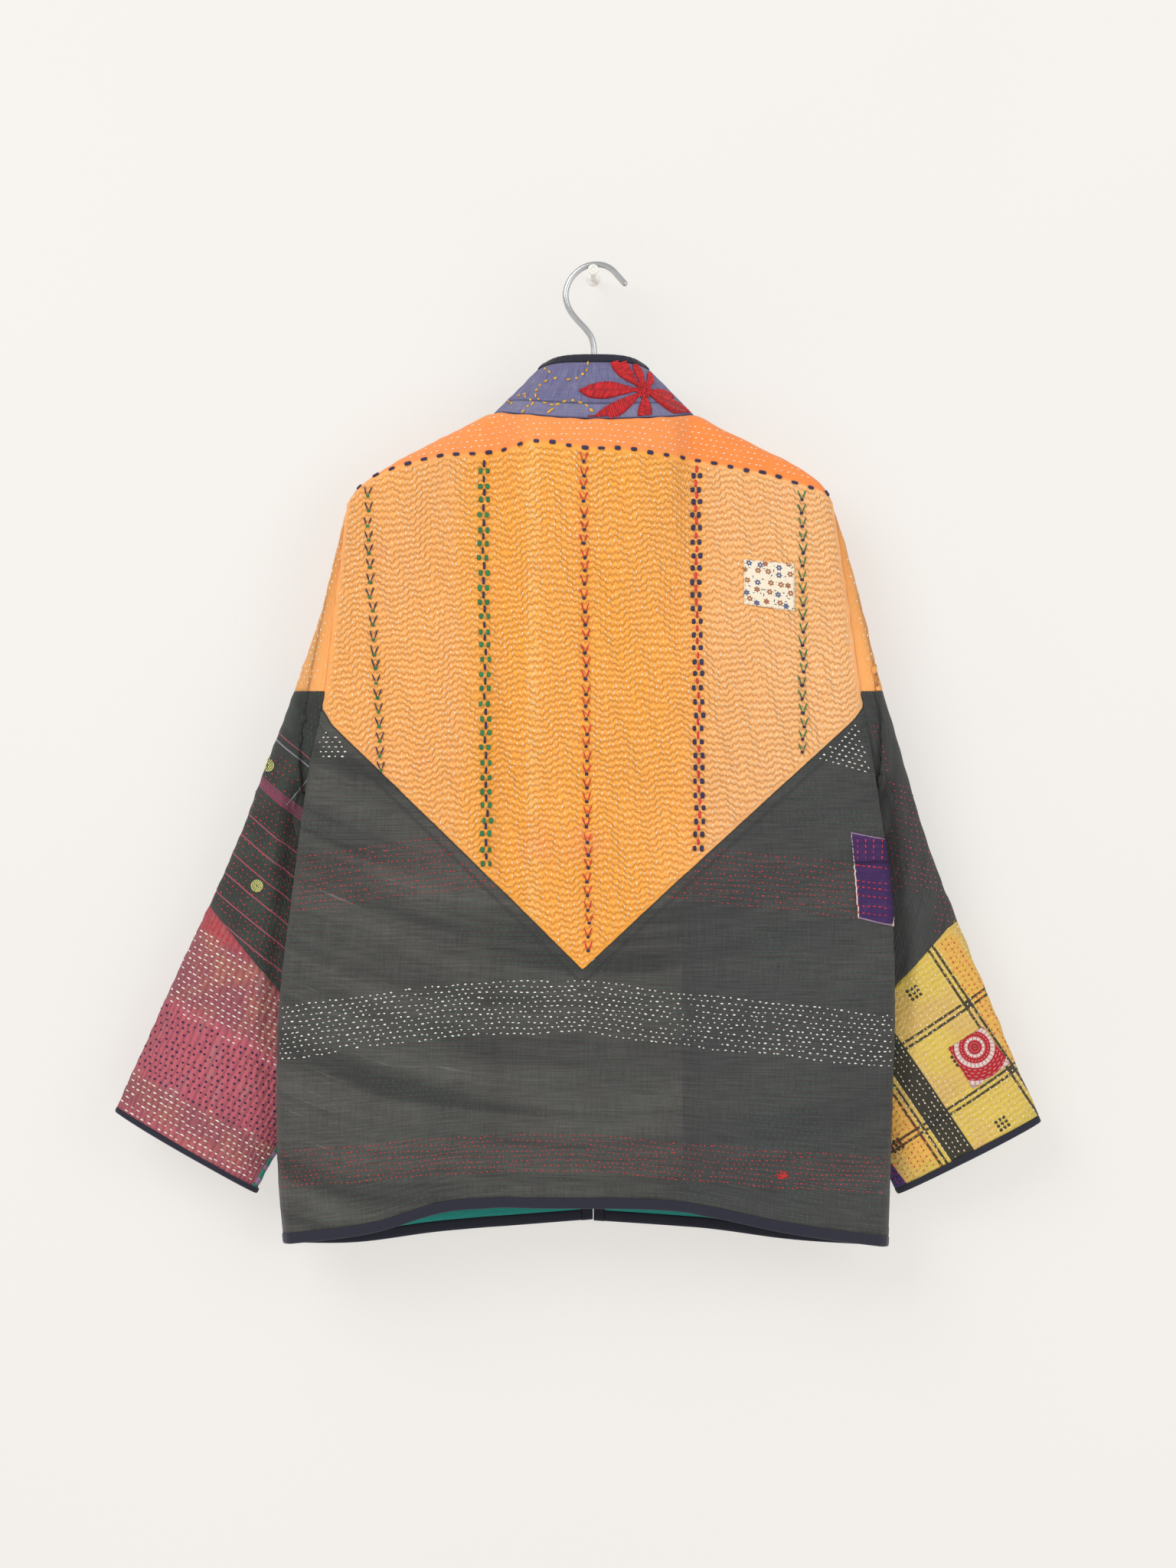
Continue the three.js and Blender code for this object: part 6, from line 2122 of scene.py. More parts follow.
def sew_band(stitches, band, rng, low=-0.28, high=0.27):
    top, rows, row_pitch, pitch, sag = band
    x, row = np.meshgrid(np.arange(low, high, pitch), np.arange(rows), indexing="ij")
    x = x + rng.normal(0, 0.0007, x.shape) + (row % 2) * pitch / 2
    drop = lambda place: np.interp(place, *np.array(ROW_DROP).T) * sag
    wave = 0.0007 * np.sin(x * 70 + row * 0.9) + rng.normal(0, 0.0003, x.shape)
    z = top - row * row_pitch - drop(x) + wave
    slope = (drop(x - 0.004) - drop(x + 0.004)) / 0.008 + rng.normal(0, 0.10, x.shape)
    on_lower_back(stitches, x, z, rng.random(x.shape) > 0.05, slope)


def in_triangle(x, z, corners):
    inside = np.ones(np.shape(x), bool)
    middle = np.mean(corners, axis=0)
    for (ax, az), (bx, bz) in zip(corners, corners[1:] + corners[:1]):
        turn = lambda px, pz: (bx - ax) * (pz - az) - (bz - az) * (px - ax)
        inside &= turn(x, z) * turn(*middle) > 0
    return inside


# A tangle of red thread: its middle as x and z, its reach, and its stitches
TANGLE_CENTRE = (0.165, -0.7985)
TANGLE_RADIUS = 0.0042
TANGLE_STITCHES = 26


def add_lower_back_sewing(colours, sizes, rng):
    """White and red bands across the lower back, and white triangles under the V's corners."""
    white = thread_look("White thread", colours.white_thread, 0.86, 0.7)
    red = thread_look("Red running thread", colours.red_thread, 0.7, 0.6)
    band = Thread()
    sew_band(band, WHITE_BAND, rng)
    for corners, slope in WHITE_TRIANGLES:
        x, row = np.meshgrid(np.arange(-0.03, 0.03, 0.0057), np.arange(-9, 10), indexing="ij")
        x = x + np.mean(corners, axis=0)[0] + (row % 2) * 0.0029 + rng.normal(0, 0.0005, x.shape)
        middle_x, middle_z = np.mean(corners, axis=0)
        z = middle_z + row * 0.0042 + (x - middle_x) * slope
        on_lower_back(band, x, z, in_triangle(x, z, corners), slope)
    band.sew("stitches_white_band", white, STITCHES["white band"], sizes.seed)
    reds = Thread()
    sew_band(reds, UPPER_RED_BAND, rng)
    sew_band(reds, LOWER_RED_BAND, rng)
    reds.sew("stitches_red_bands", red, STITCHES["red band"], sizes.seed)
    knot = Thread()
    angle = rng.random(TANGLE_STITCHES) * 2 * np.pi
    reach = TANGLE_RADIUS * np.sqrt(rng.random(TANGLE_STITCHES))
    tangle = np.stack([np.cos(angle * 3), 0 * angle, np.sin(angle * 3)], axis=1)
    centre_x, centre_z = TANGLE_CENTRE
    x, z = centre_x + reach * np.cos(angle), centre_z + reach * np.sin(angle)
    on_back(knot, x, z, thread=tangle, proud=0.0004)
    knot.sew("tangle_lower_back", red, STITCHES["tangle"], sizes.seed)


# Sewing on the sleeves


def rows_over(origin, along, pitch, row_pitch, reach, rng):
    """Places in rows along a direction in the plane of the back, each row set off from the last."""
    count = int(reach / row_pitch)
    a, row = np.meshgrid(np.arange(-reach, reach, pitch), np.arange(-count, count + 1), indexing="ij")
    a = a + (row % 2) * pitch / 2 + rng.normal(0, 0.0005, a.shape)
    b = row * row_pitch + rng.normal(0, 0.0003, a.shape)
    x = origin[0] + a * along[0] - b * along[1]
    z = origin[1] + a * along[1] + b * along[0]
    return x.ravel(), z.ravel()


# Centres of two small flowers on the left sleeve, and the distance between a flower's rings
LIME_FLOWERS = ((-0.2976, -0.5470), (-0.2868, -0.4407))
LIME_RING = 0.0016


def on_sleeve(stitches, side, x, z, inside, thread, proud=0.0002):
    """Adds stitches to the part of a sleeve that shows from behind, at places seen from there."""
    cloth = SLEEVES[side]
    outside = side.sign * (x - side_x(side, z)) > -0.006
    x, z = x[inside & outside], z[inside & outside]
    u, v = cloth.find(x, z, (0.25, 0.6))
    point = cloth(u, v)
    found = np.hypot(point[..., 0] - x, point[..., 2] - z) < 0.0005
    found &= (u > 0.015) & (u < 0.485) & (v > 0.02) & (v < CUFF_ROW - 0.006)
    u, v = u[found], v[found]
    lift = sleeve_creases(side, u, v, point[found])
    stitches.add(cloth, u, v, thread=thread, proud=lift + proud)


def sleeve_part(side, x, z, part):
    """True where a place of a sleeve is on its cap, middle or lower piece, clear of the seams."""
    points = np.stack([x, 0 * x, z], axis=-1)
    above_cap = -below_line(points, cap_line(side))
    below_middle = below_line(points, lower_line(side))
    if part == "cap":
        return above_cap > 0.003
    if part == "middle":
        return (above_cap < -0.003) & (below_middle < -0.003)
    return below_middle > 0.0035


# How far from the cuff its violet stitches start and end, and its red ones start
CUFF_VIOLET = (0.030, 0.094)
CUFF_RED_FROM = 0.167


def add_left_sleeve_sewing(colours, sizes, rng):
    white = thread_look("White sleeve thread", colours.white_thread, 0.86, 0.7)
    violet = thread_look("Violet sleeve thread", paint("261548"), 0.8, 0.7)
    red = thread_look("Red sleeve thread", colours.red_thread, 0.7, 0.6)
    along = (CUFF_UP[1], -CUFF_UP[0])
    x, z = rows_over(LEFT_CUFF, along, 0.0057, 0.0052, 0.26, rng)
    from_cuff = (x - LEFT_CUFF[0]) * CUFF_UP[0] + (z - LEFT_CUFF[1]) * CUFF_UP[1]
    from_cuff = from_cuff + 0.002 * np.sin(x * 190)
    into_print = (x - LEFT_PRINT[0]) * LEFT_PRINT_INWARD[0] + (z - LEFT_PRINT[1]) * LEFT_PRINT_INWARD[1]
    printed = into_print > -0.001
    lower = sleeve_part(LEFT, x, z, "lower") & ~printed & (rng.random(x.shape) > 0.05)
    violet_zone = (from_cuff > CUFF_VIOLET[0]) & (from_cuff < CUFF_VIOLET[1])
    thread = (along[0], 0, along[1])
    layers = (
        ("white", white, ~violet_zone & (from_cuff < CUFF_RED_FROM)),
        ("violet", violet, violet_zone),
        ("red", red, from_cuff >= CUFF_RED_FROM),
    )
    for name, look, zone in layers:
        stitches = Thread()
        on_sleeve(stitches, LEFT, x, z, lower & zone, thread)
        stitches.sew(f"stitches_left_cuff_{name}", look, STITCHES[f"left cuff {name}"], sizes.seed)
    stitches = Thread()
    x, z = rows_over((-0.29, -0.50), STRIPE_ALONG, 0.0052, 0.0055, 0.20, rng)
    across = x * -STRIPE_ALONG[1] + z * STRIPE_ALONG[0]
    plain = (across < -0.580) & (x > -0.262)
    plain |= across > -0.505
    inside = sleeve_part(LEFT, x, z, "middle") & ~plain & (rng.random(x.shape) > 0.12)
    on_sleeve(stitches, LEFT, x, z, inside, (STRIPE_ALONG[0], 0, STRIPE_ALONG[1]))
    stitches.sew("stitches_left_middle", red, STITCHES["left middle"], sizes.seed)
    lime = thread_look("Lime thread", paint("c6c97c"), 0.8, 0.7)
    flowers = Thread()
    for centre_x, centre_z in LIME_FLOWERS:
        for ring in range(1, 4):
            angle = np.arange(6 * ring) * np.pi / (3 * ring) + ring
            x = centre_x + LIME_RING * ring * np.cos(angle)
            z = centre_z + LIME_RING * ring * np.sin(angle)
            on_sleeve(flowers, LEFT, x, z, np.ones(x.shape, bool), (0.6, 0, 0.8), 0.0004)
    flowers.sew("stitches_lime_flowers", lime, STITCHES["lime flower"], sizes.seed)


def add_right_sleeve_sewing(colours, sizes, rng):
    cream = thread_look("Cream sleeve thread", colours.cream, 0.86, 0.7)
    red = thread_look("Crimson sleeve thread", paint("c9303f"), 0.7, 0.6)
    rose = thread_look("Rose sleeve thread", paint("b03a58"), 0.7, 0.6)
    x, z = rows_over(PANE_CROSSING, PANE_DOWN, 0.0047, 0.0050, 0.24, rng)
    off_x, off_z = x - PANE_CROSSING[0], z - PANE_CROSSING[1]
    inward = off_x * PANE_DOWN[1] - off_z * PANE_DOWN[0]
    down = off_x * PANE_DOWN[0] + off_z * PANE_DOWN[1]
    eye = np.hypot(x - RINGS_EYE[0], z - RINGS_EYE[1] + 0.008)
    lower = sleeve_part(RIGHT, x, z, "lower") & (eye > 0.027) & (rng.random(x.shape) > 0.06)
    orange_zone = ((inward > -0.022) & (inward < -0.005)) | ((inward > 0.098) & (down > 0.02))
    thread = (PANE_DOWN[0], 0, PANE_DOWN[1])
    for name, look, zone in (("cream", cream, ~orange_zone), ("red", red, orange_zone)):
        stitches = Thread()
        on_sleeve(stitches, RIGHT, x, z, lower & zone, thread)
        stitches.sew(f"stitches_right_cuff_{name}", look, STITCHES[f"right cuff {name}"], sizes.seed)
    stitches = Thread()
    x, z = rows_over((0.27, -0.50), (0.97, -0.24), 0.0046, 0.0051, 0.18, rng)
    outer = side_x(RIGHT, z) + 0.012
    inside = sleeve_part(RIGHT, x, z, "middle") & (z < -0.397) & ((z < -0.456) | (x < outer))
    inside &= (z > -0.552) | (x > 0.301)
    on_sleeve(stitches, RIGHT, x, z, inside & (rng.random(x.shape) > 0.08), (0.97, 0, -0.24))
    stitches.sew("stitches_right_middle", rose, STITCHES["right middle"], sizes.seed)


def add_cap_sewing(colours, sizes, rng):
    cream = thread_look("Cream cap thread", colours.cream, 0.86, 0.7)
    stitches = Thread()
    for side in (LEFT, RIGHT):
        x, z = rows_over((side.sign * 0.245, -0.30), (1.0, 0.0), 0.0050, 0.0052, 0.12, rng)
        on_sleeve(stitches, side, x, z, sleeve_part(side, x, z, "cap"), (0.2, 0, 1))
    stitches.sew("stitches_caps", cream, STITCHES["cap"], sizes.seed)


# Patches


def patch_grid(corners, fray, rng, columns=34, rows=34):
    """Places over a four-cornered patch, seen from behind, and their fractions across and down.

    corners go round from the upper left one. fray is how far its edges stray.
    """
    a, b = np.meshgrid(np.linspace(0, 1, columns), np.linspace(0, 1, rows), indexing="ij")
    upper_left, upper_right, lower_right, lower_left = (np.array(corner) for corner in corners)
    upper = lerp(upper_left, upper_right, a)
    lower = lerp(lower_left, lower_right, a)
    place = lerp_between(upper, lower, b)
    outline = np.minimum(np.minimum(a, 1 - a), np.minimum(b, 1 - b)) == 0
    place = place + rng.normal(0, fray, place.shape) * outline[..., None]
    return place[..., 0], place[..., 1], a, b


def lerp_between(a, b, w):
    return a + (b - a) * w[..., None]


def add_patch(name, cloth, places, look, node, lift, start, cut):
    """Lays a patch on a cloth, proud of it by lift, with lengths from its cut."""
    x, z, a, b = places
    u, v = cloth.find(x, z, start)
    points = cloth(u, v)
    normal = cloth.normals(u, v)
    edge = np.minimum(np.minimum(a, 1 - a), np.minimum(b, 1 - b))
    raised = lift(u, v, points) + PATCH_RAISE * (0.45 + 0.55 * smooth(0, 0.05, edge))
    raised = raised + 0.0002 * np.sin(a * 47 + 3 * np.sin(b * 9)) * np.sin(b * 43)
    lengths = np.stack([a * cut.flat[0], b * cut.flat[1]], axis=-1)
    mesh = grid_mesh(name, points + normal * raised[..., None], lengths, -1)
    piece = add_piece(name, mesh, look, [node])
    thicken(piece, PATCH_RAISE)
    cut.declare(piece)
    return piece


FLORAL_CORNERS = ((0.1318, -0.2596), (0.1767, -0.2637), (0.1770, -0.3058), (0.1322, -0.2992))
RINGS_CORNERS = ((0.3141, -0.6908), (0.3451, -0.6718), (0.3693, -0.7046), (0.3357, -0.7261))


def add_floral_patch(colours, sizes, rng):
    places = patch_grid(FLORAL_CORNERS, 0.00025, rng)
    lift = lambda u, v, points: sizes.ripple_height + 0.0002
    start = (0.79, 0.17)
    look = floral_print(colours)
    cut = Cut(0.045, 0.044, 0.95)
    add_patch("floral_patch", BACK, places, look, "patch_floral", lift, start, cut)
    edging = Thread()
    corners = np.array(FLORAL_CORNERS)
    middle = corners.mean(axis=0)
    for here, there in zip(corners, np.roll(corners, -1, axis=0)):
        w = (np.arange(8) + 0.5 + rng.normal(0, 0.08, 8)) / 8
        place = (here + (there - here) * w[:, None] - middle) * 0.955 + middle
        along = np.array([there[0] - here[0], 0, there[1] - here[1]])
        proud = sizes.ripple_height + PATCH_RAISE + 0.0002
        on_back(edging, place[:, 0], place[:, 1], thread=along, proud=proud)
    thread = thread_look("Patch thread", paint("e8c9a0"), 0.85, 0.7)
    edging.sew("floral_patch_edging", thread, STITCHES["patch edging"], sizes.seed)


def add_rings_patch(colours, sizes, rng):
    places = patch_grid(RINGS_CORNERS, 0.00025, rng)
    lift = lambda u, v, points: sleeve_creases(RIGHT, u, v, points) + 0.0002
    start = (0.25, 0.75)
    look = rings_print(colours)
    cloth = SLEEVES[RIGHT]
    cut = Cut(0.042, 0.044, 0.86)
    add_patch("rings_patch", cloth, places, look, "patch_rings", lift, start, cut)


def add_purple_patch(colours, sizes, rng):
    """The patch that wraps round the right side edge, from the back on to the front."""
    b = np.linspace(0, 1, 46)
    (top_x, top_z), (bottom_x, bottom_z) = PURPLE_LEFT
    first_x, first_z = top_x + (bottom_x - top_x) * b, top_z + (bottom_z - top_z) * b
    edge_z = PURPLE_TOP_EDGE_Z + (PURPLE_BOTTOM_EDGE_Z - PURPLE_TOP_EDGE_Z) * b
    first_u, first_v = find_on_back(first_x + rng.normal(0, 0.0003, b.shape), first_z)
    edge_v = RIGHT.curve.fraction_at_z(edge_z)
    a = np.linspace(0, 1, 30)[:, None] ** 0.7
    last_u = 1 - 2 * Cloth.STEP
    back_u, back_v = first_u + (last_u - first_u) * a, first_v + (edge_v - first_v) * a
    on_front = np.linspace(0, 1, 14)[1:, None] ** 1.4
    front_u = 2 * Cloth.STEP + PURPLE_ON_FRONT / (BODY_WIDTH / 2) * on_front + 0 * b
    front_v = edge_v + 0 * on_front
    front = FRONTS[RIGHT]
    points = np.concatenate([BACK(back_u, back_v), front(front_u, front_v)])
    back_normal, front_normal = BACK.normals(back_u, back_v), front.normals(front_u, front_v)
    normal = np.concatenate([back_normal, front_normal])
    count = len(back_u)
    fold = np.exp(-np.abs(np.arange(len(normal)) - (count - 0.5)) / 2.0)[:, None, None]
    normal = normal * (1 - fold) + np.array([1.0, 0, 0]) * fold
    normal /= np.linalg.norm(normal, axis=-1, keepdims=True)
    rows = np.minimum(b, 1 - b)[None, :]
    pucker = 0.0003 * np.sin(b * 60 + 2 * np.sin(np.arange(len(points))[:, None] * 0.4))
    raised = 0.0001 + PATCH_RAISE * (0.5 + 0.5 * smooth(0, 0.05, rows)) + pucker
    points = points + normal * raised[..., None]
    mesh = grid_mesh("purple_patch", points, lengths_of(points), -1)
    piece = add_piece("purple_patch", mesh, purple_cotton(colours), ["patch_purple"])
    thicken(piece, PATCH_RAISE)
    Cut(0.054, 0.078, 0.98).declare(piece)
    sewing = Thread()
    for row_z, width in PURPLE_ROWS:
        x = np.arange(top_x + 0.006, 0.258, 0.0048)
        z = row_z - (x - top_x) * 0.12 + rng.normal(0, 0.0003, len(x))
        on_back(sewing, x, z, thread=(1, 0, -0.12), proud=PATCH_RAISE + 0.0004, reach=width / 0.0013)
    for x in (0.2325, 0.2395, 0.2465, 0.2535):
        z = np.arange(-0.507, -0.523, -0.0050)
        on_back(sewing, x + 0 * z, z, thread=(0.1, 0, -1), proud=PATCH_RAISE + 0.0004)
    red = thread_look("Purple patch thread", colours.red_thread, 0.75, 0.6)
    sewing.sew("purple_patch_sewing", red, STITCHES["purple patch"], sizes.seed)


# Rows of red stitches on the purple patch: z at its left edge, and the stitches' thickness
PURPLE_ROWS = (
    (-0.5276, 0.0018),
    (-0.5416, 0.0012),
    (-0.5467, 0.0012),
    (-0.5540, 0.0012),
    (-0.5629, 0.0012),
    (-0.5691, 0.0012),
)


# Flower and golden sewing on the collar

FLOWER_CENTRE = (0.044, -0.111)
# The petals' tips, across and up from the centre
PETAL_TIPS = (
    (-0.0534, -0.0011),
    (-0.0375, 0.0335),
    (-0.0060, 0.0300),
    (0.0160, 0.0200),
    (0.0330, -0.0050),
    (0.0430, -0.0225),
    (0.0045, -0.0300),
    (-0.0310, -0.0290),
)
PETAL_HALF_WIDTH = 0.0077
PETAL_SLENDERNESS = 0.17
FLOWER_TOP = 0.868
# Curls of golden stitches on the collar: each row the x and z of the stitches along one curl
CURLS = (
    ((-0.0048, -0.0876), (-0.0059, -0.0938), (-0.0094, -0.0973), (-0.0147, -0.1010), (-0.0217, -0.1019)),
    (
        (-0.0467, -0.1064),
        (-0.0497, -0.1106),
        (-0.0506, -0.1157),
        (-0.0480, -0.1190),
        (-0.0424, -0.1226),
        (-0.0363, -0.1246),
    ),
    (
        (-0.0312, -0.1242),
        (-0.0253, -0.1217),
        (-0.0179, -0.1209),
        (-0.0114, -0.1229),
        (-0.0059, -0.1256),
        (-0.0018, -0.1298),
    ),
    (
        (-0.0653, -0.1143),
        (-0.0603, -0.1135),
        (-0.0597, -0.1161),
        (-0.0551, -0.1194),
        (-0.0532, -0.1230),
        (-0.0575, -0.1252),
        (-0.0616, -0.1298),
    ),
    ((-0.0415, -0.1028), (-0.0334, -0.1006)),
    ((-0.0385, -0.0945), (-0.0422, -0.0911)),
    ((-0.0387, -0.1307), (-0.0365, -0.1290)),
    ((-0.0746, -0.1191), (-0.0720, -0.1210)),
)


def on_collar(dx, dz):
    """The collar's u and v at a place across and up from the flower's centre, seen from behind."""
    u0, v0 = COLLAR.find(*(np.array([w]) for w in FLOWER_CENTRE), (0.15, 0.5))
    across, up = (d[0] / (2 * Cloth.STEP) for d in COLLAR.tangents(u0, v0))
    turned = across[0] * up[2] - across[2] * up[0]
    u = u0[0] + (dx * up[2] - dz * up[0]) / turned
    v = v0[0] + (dz * across[0] - dx * across[2]) / turned
    return u, np.clip(v, 0.03, FLOWER_TOP)


def petal_width(along, length):
    """A petal's half width at a fraction of its length."""
    widest = min(PETAL_HALF_WIDTH, PETAL_SLENDERNESS * length)
    return widest * np.sin(np.pi * np.clip(along, 0.06, 0.975) ** 1.5) ** 0.85


def add_flower(colours, sizes, rng):
    """Eight padded petals round a knotted centre, each covered in slanting stitches."""
    red = thread_look("Crimson petal thread", colours.crimson, 0.62, 0.6)
    dark = thread_look("Petal ground", paint("a31420"), 0.8, 0.8)
    stitches = Thread()
    grids = []
    for tip_x, tip_z in PETAL_TIPS:
        length = math.hypot(tip_x, tip_z)
        axis = np.array([tip_x, tip_z]) / length
        f, c = np.meshgrid(np.linspace(0, 1, 26), np.linspace(-1, 1, 13), indexing="ij")
        width = petal_width(f, length) * c
        u, v = on_collar(axis[0] * f * length - axis[1] * width, axis[1] * f * length + axis[0] * width)
        rise = 0.0002 + 0.0012 * np.sqrt(np.clip(1 - c**2, 0, 1)) * smooth(0, 0.12, f) * smooth(1, 0.9, f)
        grids.append(COLLAR(u, v) + COLLAR.normals(u, v) * rise[..., None])
        turn = math.atan2(tip_z, tip_x)
        f = np.arange(0.003, length - 0.001, 0.00135) / length
        for lean in (-1, 1):
            half = petal_width(f, length)
            offset = lean * half * 0.44 + rng.normal(0, 0.0003, len(f))
            x = axis[0] * f * length - axis[1] * offset
            z = axis[1] * f * length + axis[0] * offset
            u, v = on_collar(x, z)
            fits = (v > 0.035) & (v < FLOWER_TOP - 0.003)
            slant = turn + math.radians(68) + rng.normal(0, 0.08, len(f))
            reach = half / 0.0044
            thread = np.stack([np.cos(slant), 0 * slant, np.sin(slant)], axis=1)
            stitches.add(COLLAR, u[fits], v[fits], thread=thread[fits], proud=0.0011, reach=reach[fits])
    heads = Thread()
    angle = np.arange(42) * 2.4
    radius = 0.0011 * np.sqrt(np.arange(42))
    heads.add(COLLAR, *on_collar(radius * np.cos(angle), radius * np.sin(angle)), turn=angle, proud=0.0018)
    meshes = [grid_mesh("petal", grid, lengths_of(grid), -1) for grid in grids]
    work = bmesh.new()
    for petal in meshes:
        work.from_mesh(petal)
        bpy.data.meshes.remove(petal)
    mesh = bpy.data.meshes.new("collar_flower_pad")
    work.to_mesh(mesh)
    work.free()
    pad = add_piece("collar_flower_pad", mesh, dark, ["collar_flower"])
    thicken(pad, 0.0006)
    stitches.sew("collar_flower_petals", red, STITCHES["petal"], sizes.seed)
    heads.sew("collar_flower_centre", red, STITCHES["flower centre"], sizes.seed)


def add_golden_sewing(colours, sizes):
    golden = thread_look("Golden thread", colours.golden_thread, 0.75, 0.55)
    stitches = Thread()
    for curl in CURLS:
        x, z = np.array(curl).T
        u, v = COLLAR.find(x, z, (-0.1, 0.5))
        along = np.stack([np.gradient(x), 0 * x, np.gradient(z)], axis=1)
        along /= np.linalg.norm(along, axis=1, keepdims=True)
        stitches.add(COLLAR, u, v, thread=along, proud=0.0006)
    stitches.sew("collar_golden_stitches", golden, STITCHES["golden"], sizes.seed)


class KANTHA_OT_lower_sewing(bpy.types.Operator):
    """Sew the bands of the lower back"""

    bl_idname = "kantha.lower_sewing"
    bl_label = "Sewing of the lower back"

    def execute(self, context):
        colours, sizes = settings()
        add_lower_back_sewing(colours, sizes, np.random.default_rng(sizes.seed + 1))
        return {"FINISHED"}


class KANTHA_OT_sleeve_sewing(bpy.types.Operator):
    """Sew the sleeves"""

    bl_idname = "kantha.sleeve_sewing"
    bl_label = "Sewing of the sleeves"

    def execute(self, context):
        colours, sizes = settings()
        rng = np.random.default_rng(sizes.seed + 2)
        add_left_sleeve_sewing(colours, sizes, rng)
        add_right_sleeve_sewing(colours, sizes, rng)
        add_cap_sewing(colours, sizes, rng)
        return {"FINISHED"}


class KANTHA_OT_patches(bpy.types.Operator):
    """Lay the three patches"""

    bl_idname = "kantha.patches"
    bl_label = "Patches"

    def execute(self, context):
        colours, sizes = settings()
        rng = np.random.default_rng(sizes.seed + 3)
        add_floral_patch(colours, sizes, rng)
        add_rings_patch(colours, sizes, rng)
        add_purple_patch(colours, sizes, rng)
        return {"FINISHED"}


class KANTHA_OT_collar_sewing(bpy.types.Operator):
    """Embroider the collar"""

    bl_idname = "kantha.collar_sewing"
    bl_label = "Embroidery of the collar"

    def execute(self, context):
        colours, sizes = settings()
        add_flower(colours, sizes, np.random.default_rng(sizes.seed + 4))
        add_golden_sewing(colours, sizes)
        return {"FINISHED"}


# Stage

IMAGE_HEIGHT_M = 1.388
IMAGE_CENTRE = (-0.0047, -0.457)
CAMERA_DISTANCE = 3.3
SENSOR_HEIGHT_MM = 36.0
FLOOR_Z = -1.6
# The wall's paint: the share of its colour that is lit, and its glow, which keeps shadows faint
WALL_LIT = 0.32
WALL_GLOW = 0.63


def wall_look(colours):
    """Plain paint that can't be seen from behind, so the jacket shows from the wall's side too."""
    look = Look("Pale wall paint")
    lumps = look.noise(look.place(), 120.0, 4.0, 0.6)
    tone = 1 + (look.noise(look.place(), 2.0, 2.0) - 0.5) * 0.03
    inputs = {"Base Color": look.shade(colours.wall, tone * WALL_LIT), "Roughness": 0.8}
    inputs["Emission Color"] = look.shade(paint("f6f3ef"), tone)
    inputs["Emission Strength"] = WALL_GLOW
    inputs["Normal"] = look.node("ShaderNodeBump", {}, {"Height": lumps, "Distance": 0.0006, "Strength": 0.5})
    front = look.node("ShaderNodeBsdfPrincipled", {}, inputs)
    clear = look.node("ShaderNodeBsdfTransparent", {}, {})
    behind = look.node("ShaderNodeNewGeometry", {}, {}, "Backfacing")
    mixed = look.node("ShaderNodeMixShader", {}, {0: behind, 1: front, 2: clear})
    output = look.tree.nodes.new("ShaderNodeOutputMaterial")
    look.tree.links.new(mixed.socket, output.inputs["Surface"])
    return look.material


def add_plane(name, corners, material):
    mesh = bpy.data.meshes.new(name)
    mesh.from_pydata(corners, [], [tuple(range(len(corners)))])
    mesh.materials.append(material)
    plane = bpy.data.objects.new(name, mesh)
    bpy.context.scene.collection.objects.link(plane)


def add_area_light(name, place, target, size, energy):
    light = bpy.data.lights.new(name, "AREA")
    light.shape = "RECTANGLE"
    light.size, light.size_y = size
    light.energy = energy
    lamp = bpy.data.objects.new(name, light)
    lamp.location = place
    lamp.rotation_euler = (Vector(target) - Vector(place)).to_track_quat("-Z", "Y").to_euler()
    bpy.context.scene.collection.objects.link(lamp)


def add_stage(colours):
    material = wall_look(colours)
    half = 6.0
    add_plane(
        "wall",
        [(-half, WALL_Y, FLOOR_Z), (half, WALL_Y, FLOOR_Z), (half, WALL_Y, 4.0), (-half, WALL_Y, 4.0)],
        material,
    )
    add_plane(
        "floor",
        [(-half, -half, FLOOR_Z), (half, -half, FLOOR_Z), (half, half, FLOOR_Z), (-half, half, FLOOR_Z)],
        material,
    )
    middle = (0, 0, -0.45)
    add_area_light("key", (-1.9, -2.8, 1.5), middle, (2.2, 2.2), 70)
    add_area_light("fill", (2.4, -2.8, 0.2), middle, (2.4, 2.4), 34)
    add_area_light("rear_left", (-2.2, 2.4, 1.2), middle, (2.2, 2.2), 40)
    add_area_light("rear_right", (2.2, 2.4, 0.6), middle, (2.2, 2.2), 30)
    world = bpy.data.worlds.new("Studio")
    world.use_nodes = True
    background = world.node_tree.nodes["Background"]
    background.inputs["Color"].default_value = (1.0, 0.99, 0.975, 1.0)
    background.inputs["Strength"].default_value = 0.55
    bpy.context.scene.world = world
    bpy.context.scene.view_settings.view_transform = "Standard"

    data = bpy.data.cameras.new("Photograph")
    data.sensor_fit = "VERTICAL"
    data.sensor_height = SENSOR_HEIGHT_MM
    data.lens = SENSOR_HEIGHT_MM * CAMERA_DISTANCE / IMAGE_HEIGHT_M
    camera = bpy.data.objects.new("Photograph", data)
    camera.location = (IMAGE_CENTRE[0], -CAMERA_DISTANCE, IMAGE_CENTRE[1])
    camera.rotation_euler = (math.pi / 2, 0, 0)
    bpy.context.scene.collection.objects.link(camera)
    bpy.context.scene.camera = camera


# Operators


def settings():
    return bpy.context.scene.kantha_colours, bpy.context.scene.kantha_sizes


class KANTHA_OT_back(bpy.types.Operator):
    """Make the upper and the lower back"""

    bl_idname = "kantha.back"
    bl_label = "Back"

    def execute(self, context):
        colours, sizes = settings()
        add_upper_back(colours, sizes)
        add_lower_back(colours, sizes)
        return {"FINISHED"}


class KANTHA_OT_fronts(bpy.types.Operator):
    """Make the two fronts"""

    bl_idname = "kantha.fronts"
    bl_label = "Fronts"

    def execute(self, context):
        add_fronts(*settings())
        return {"FINISHED"}


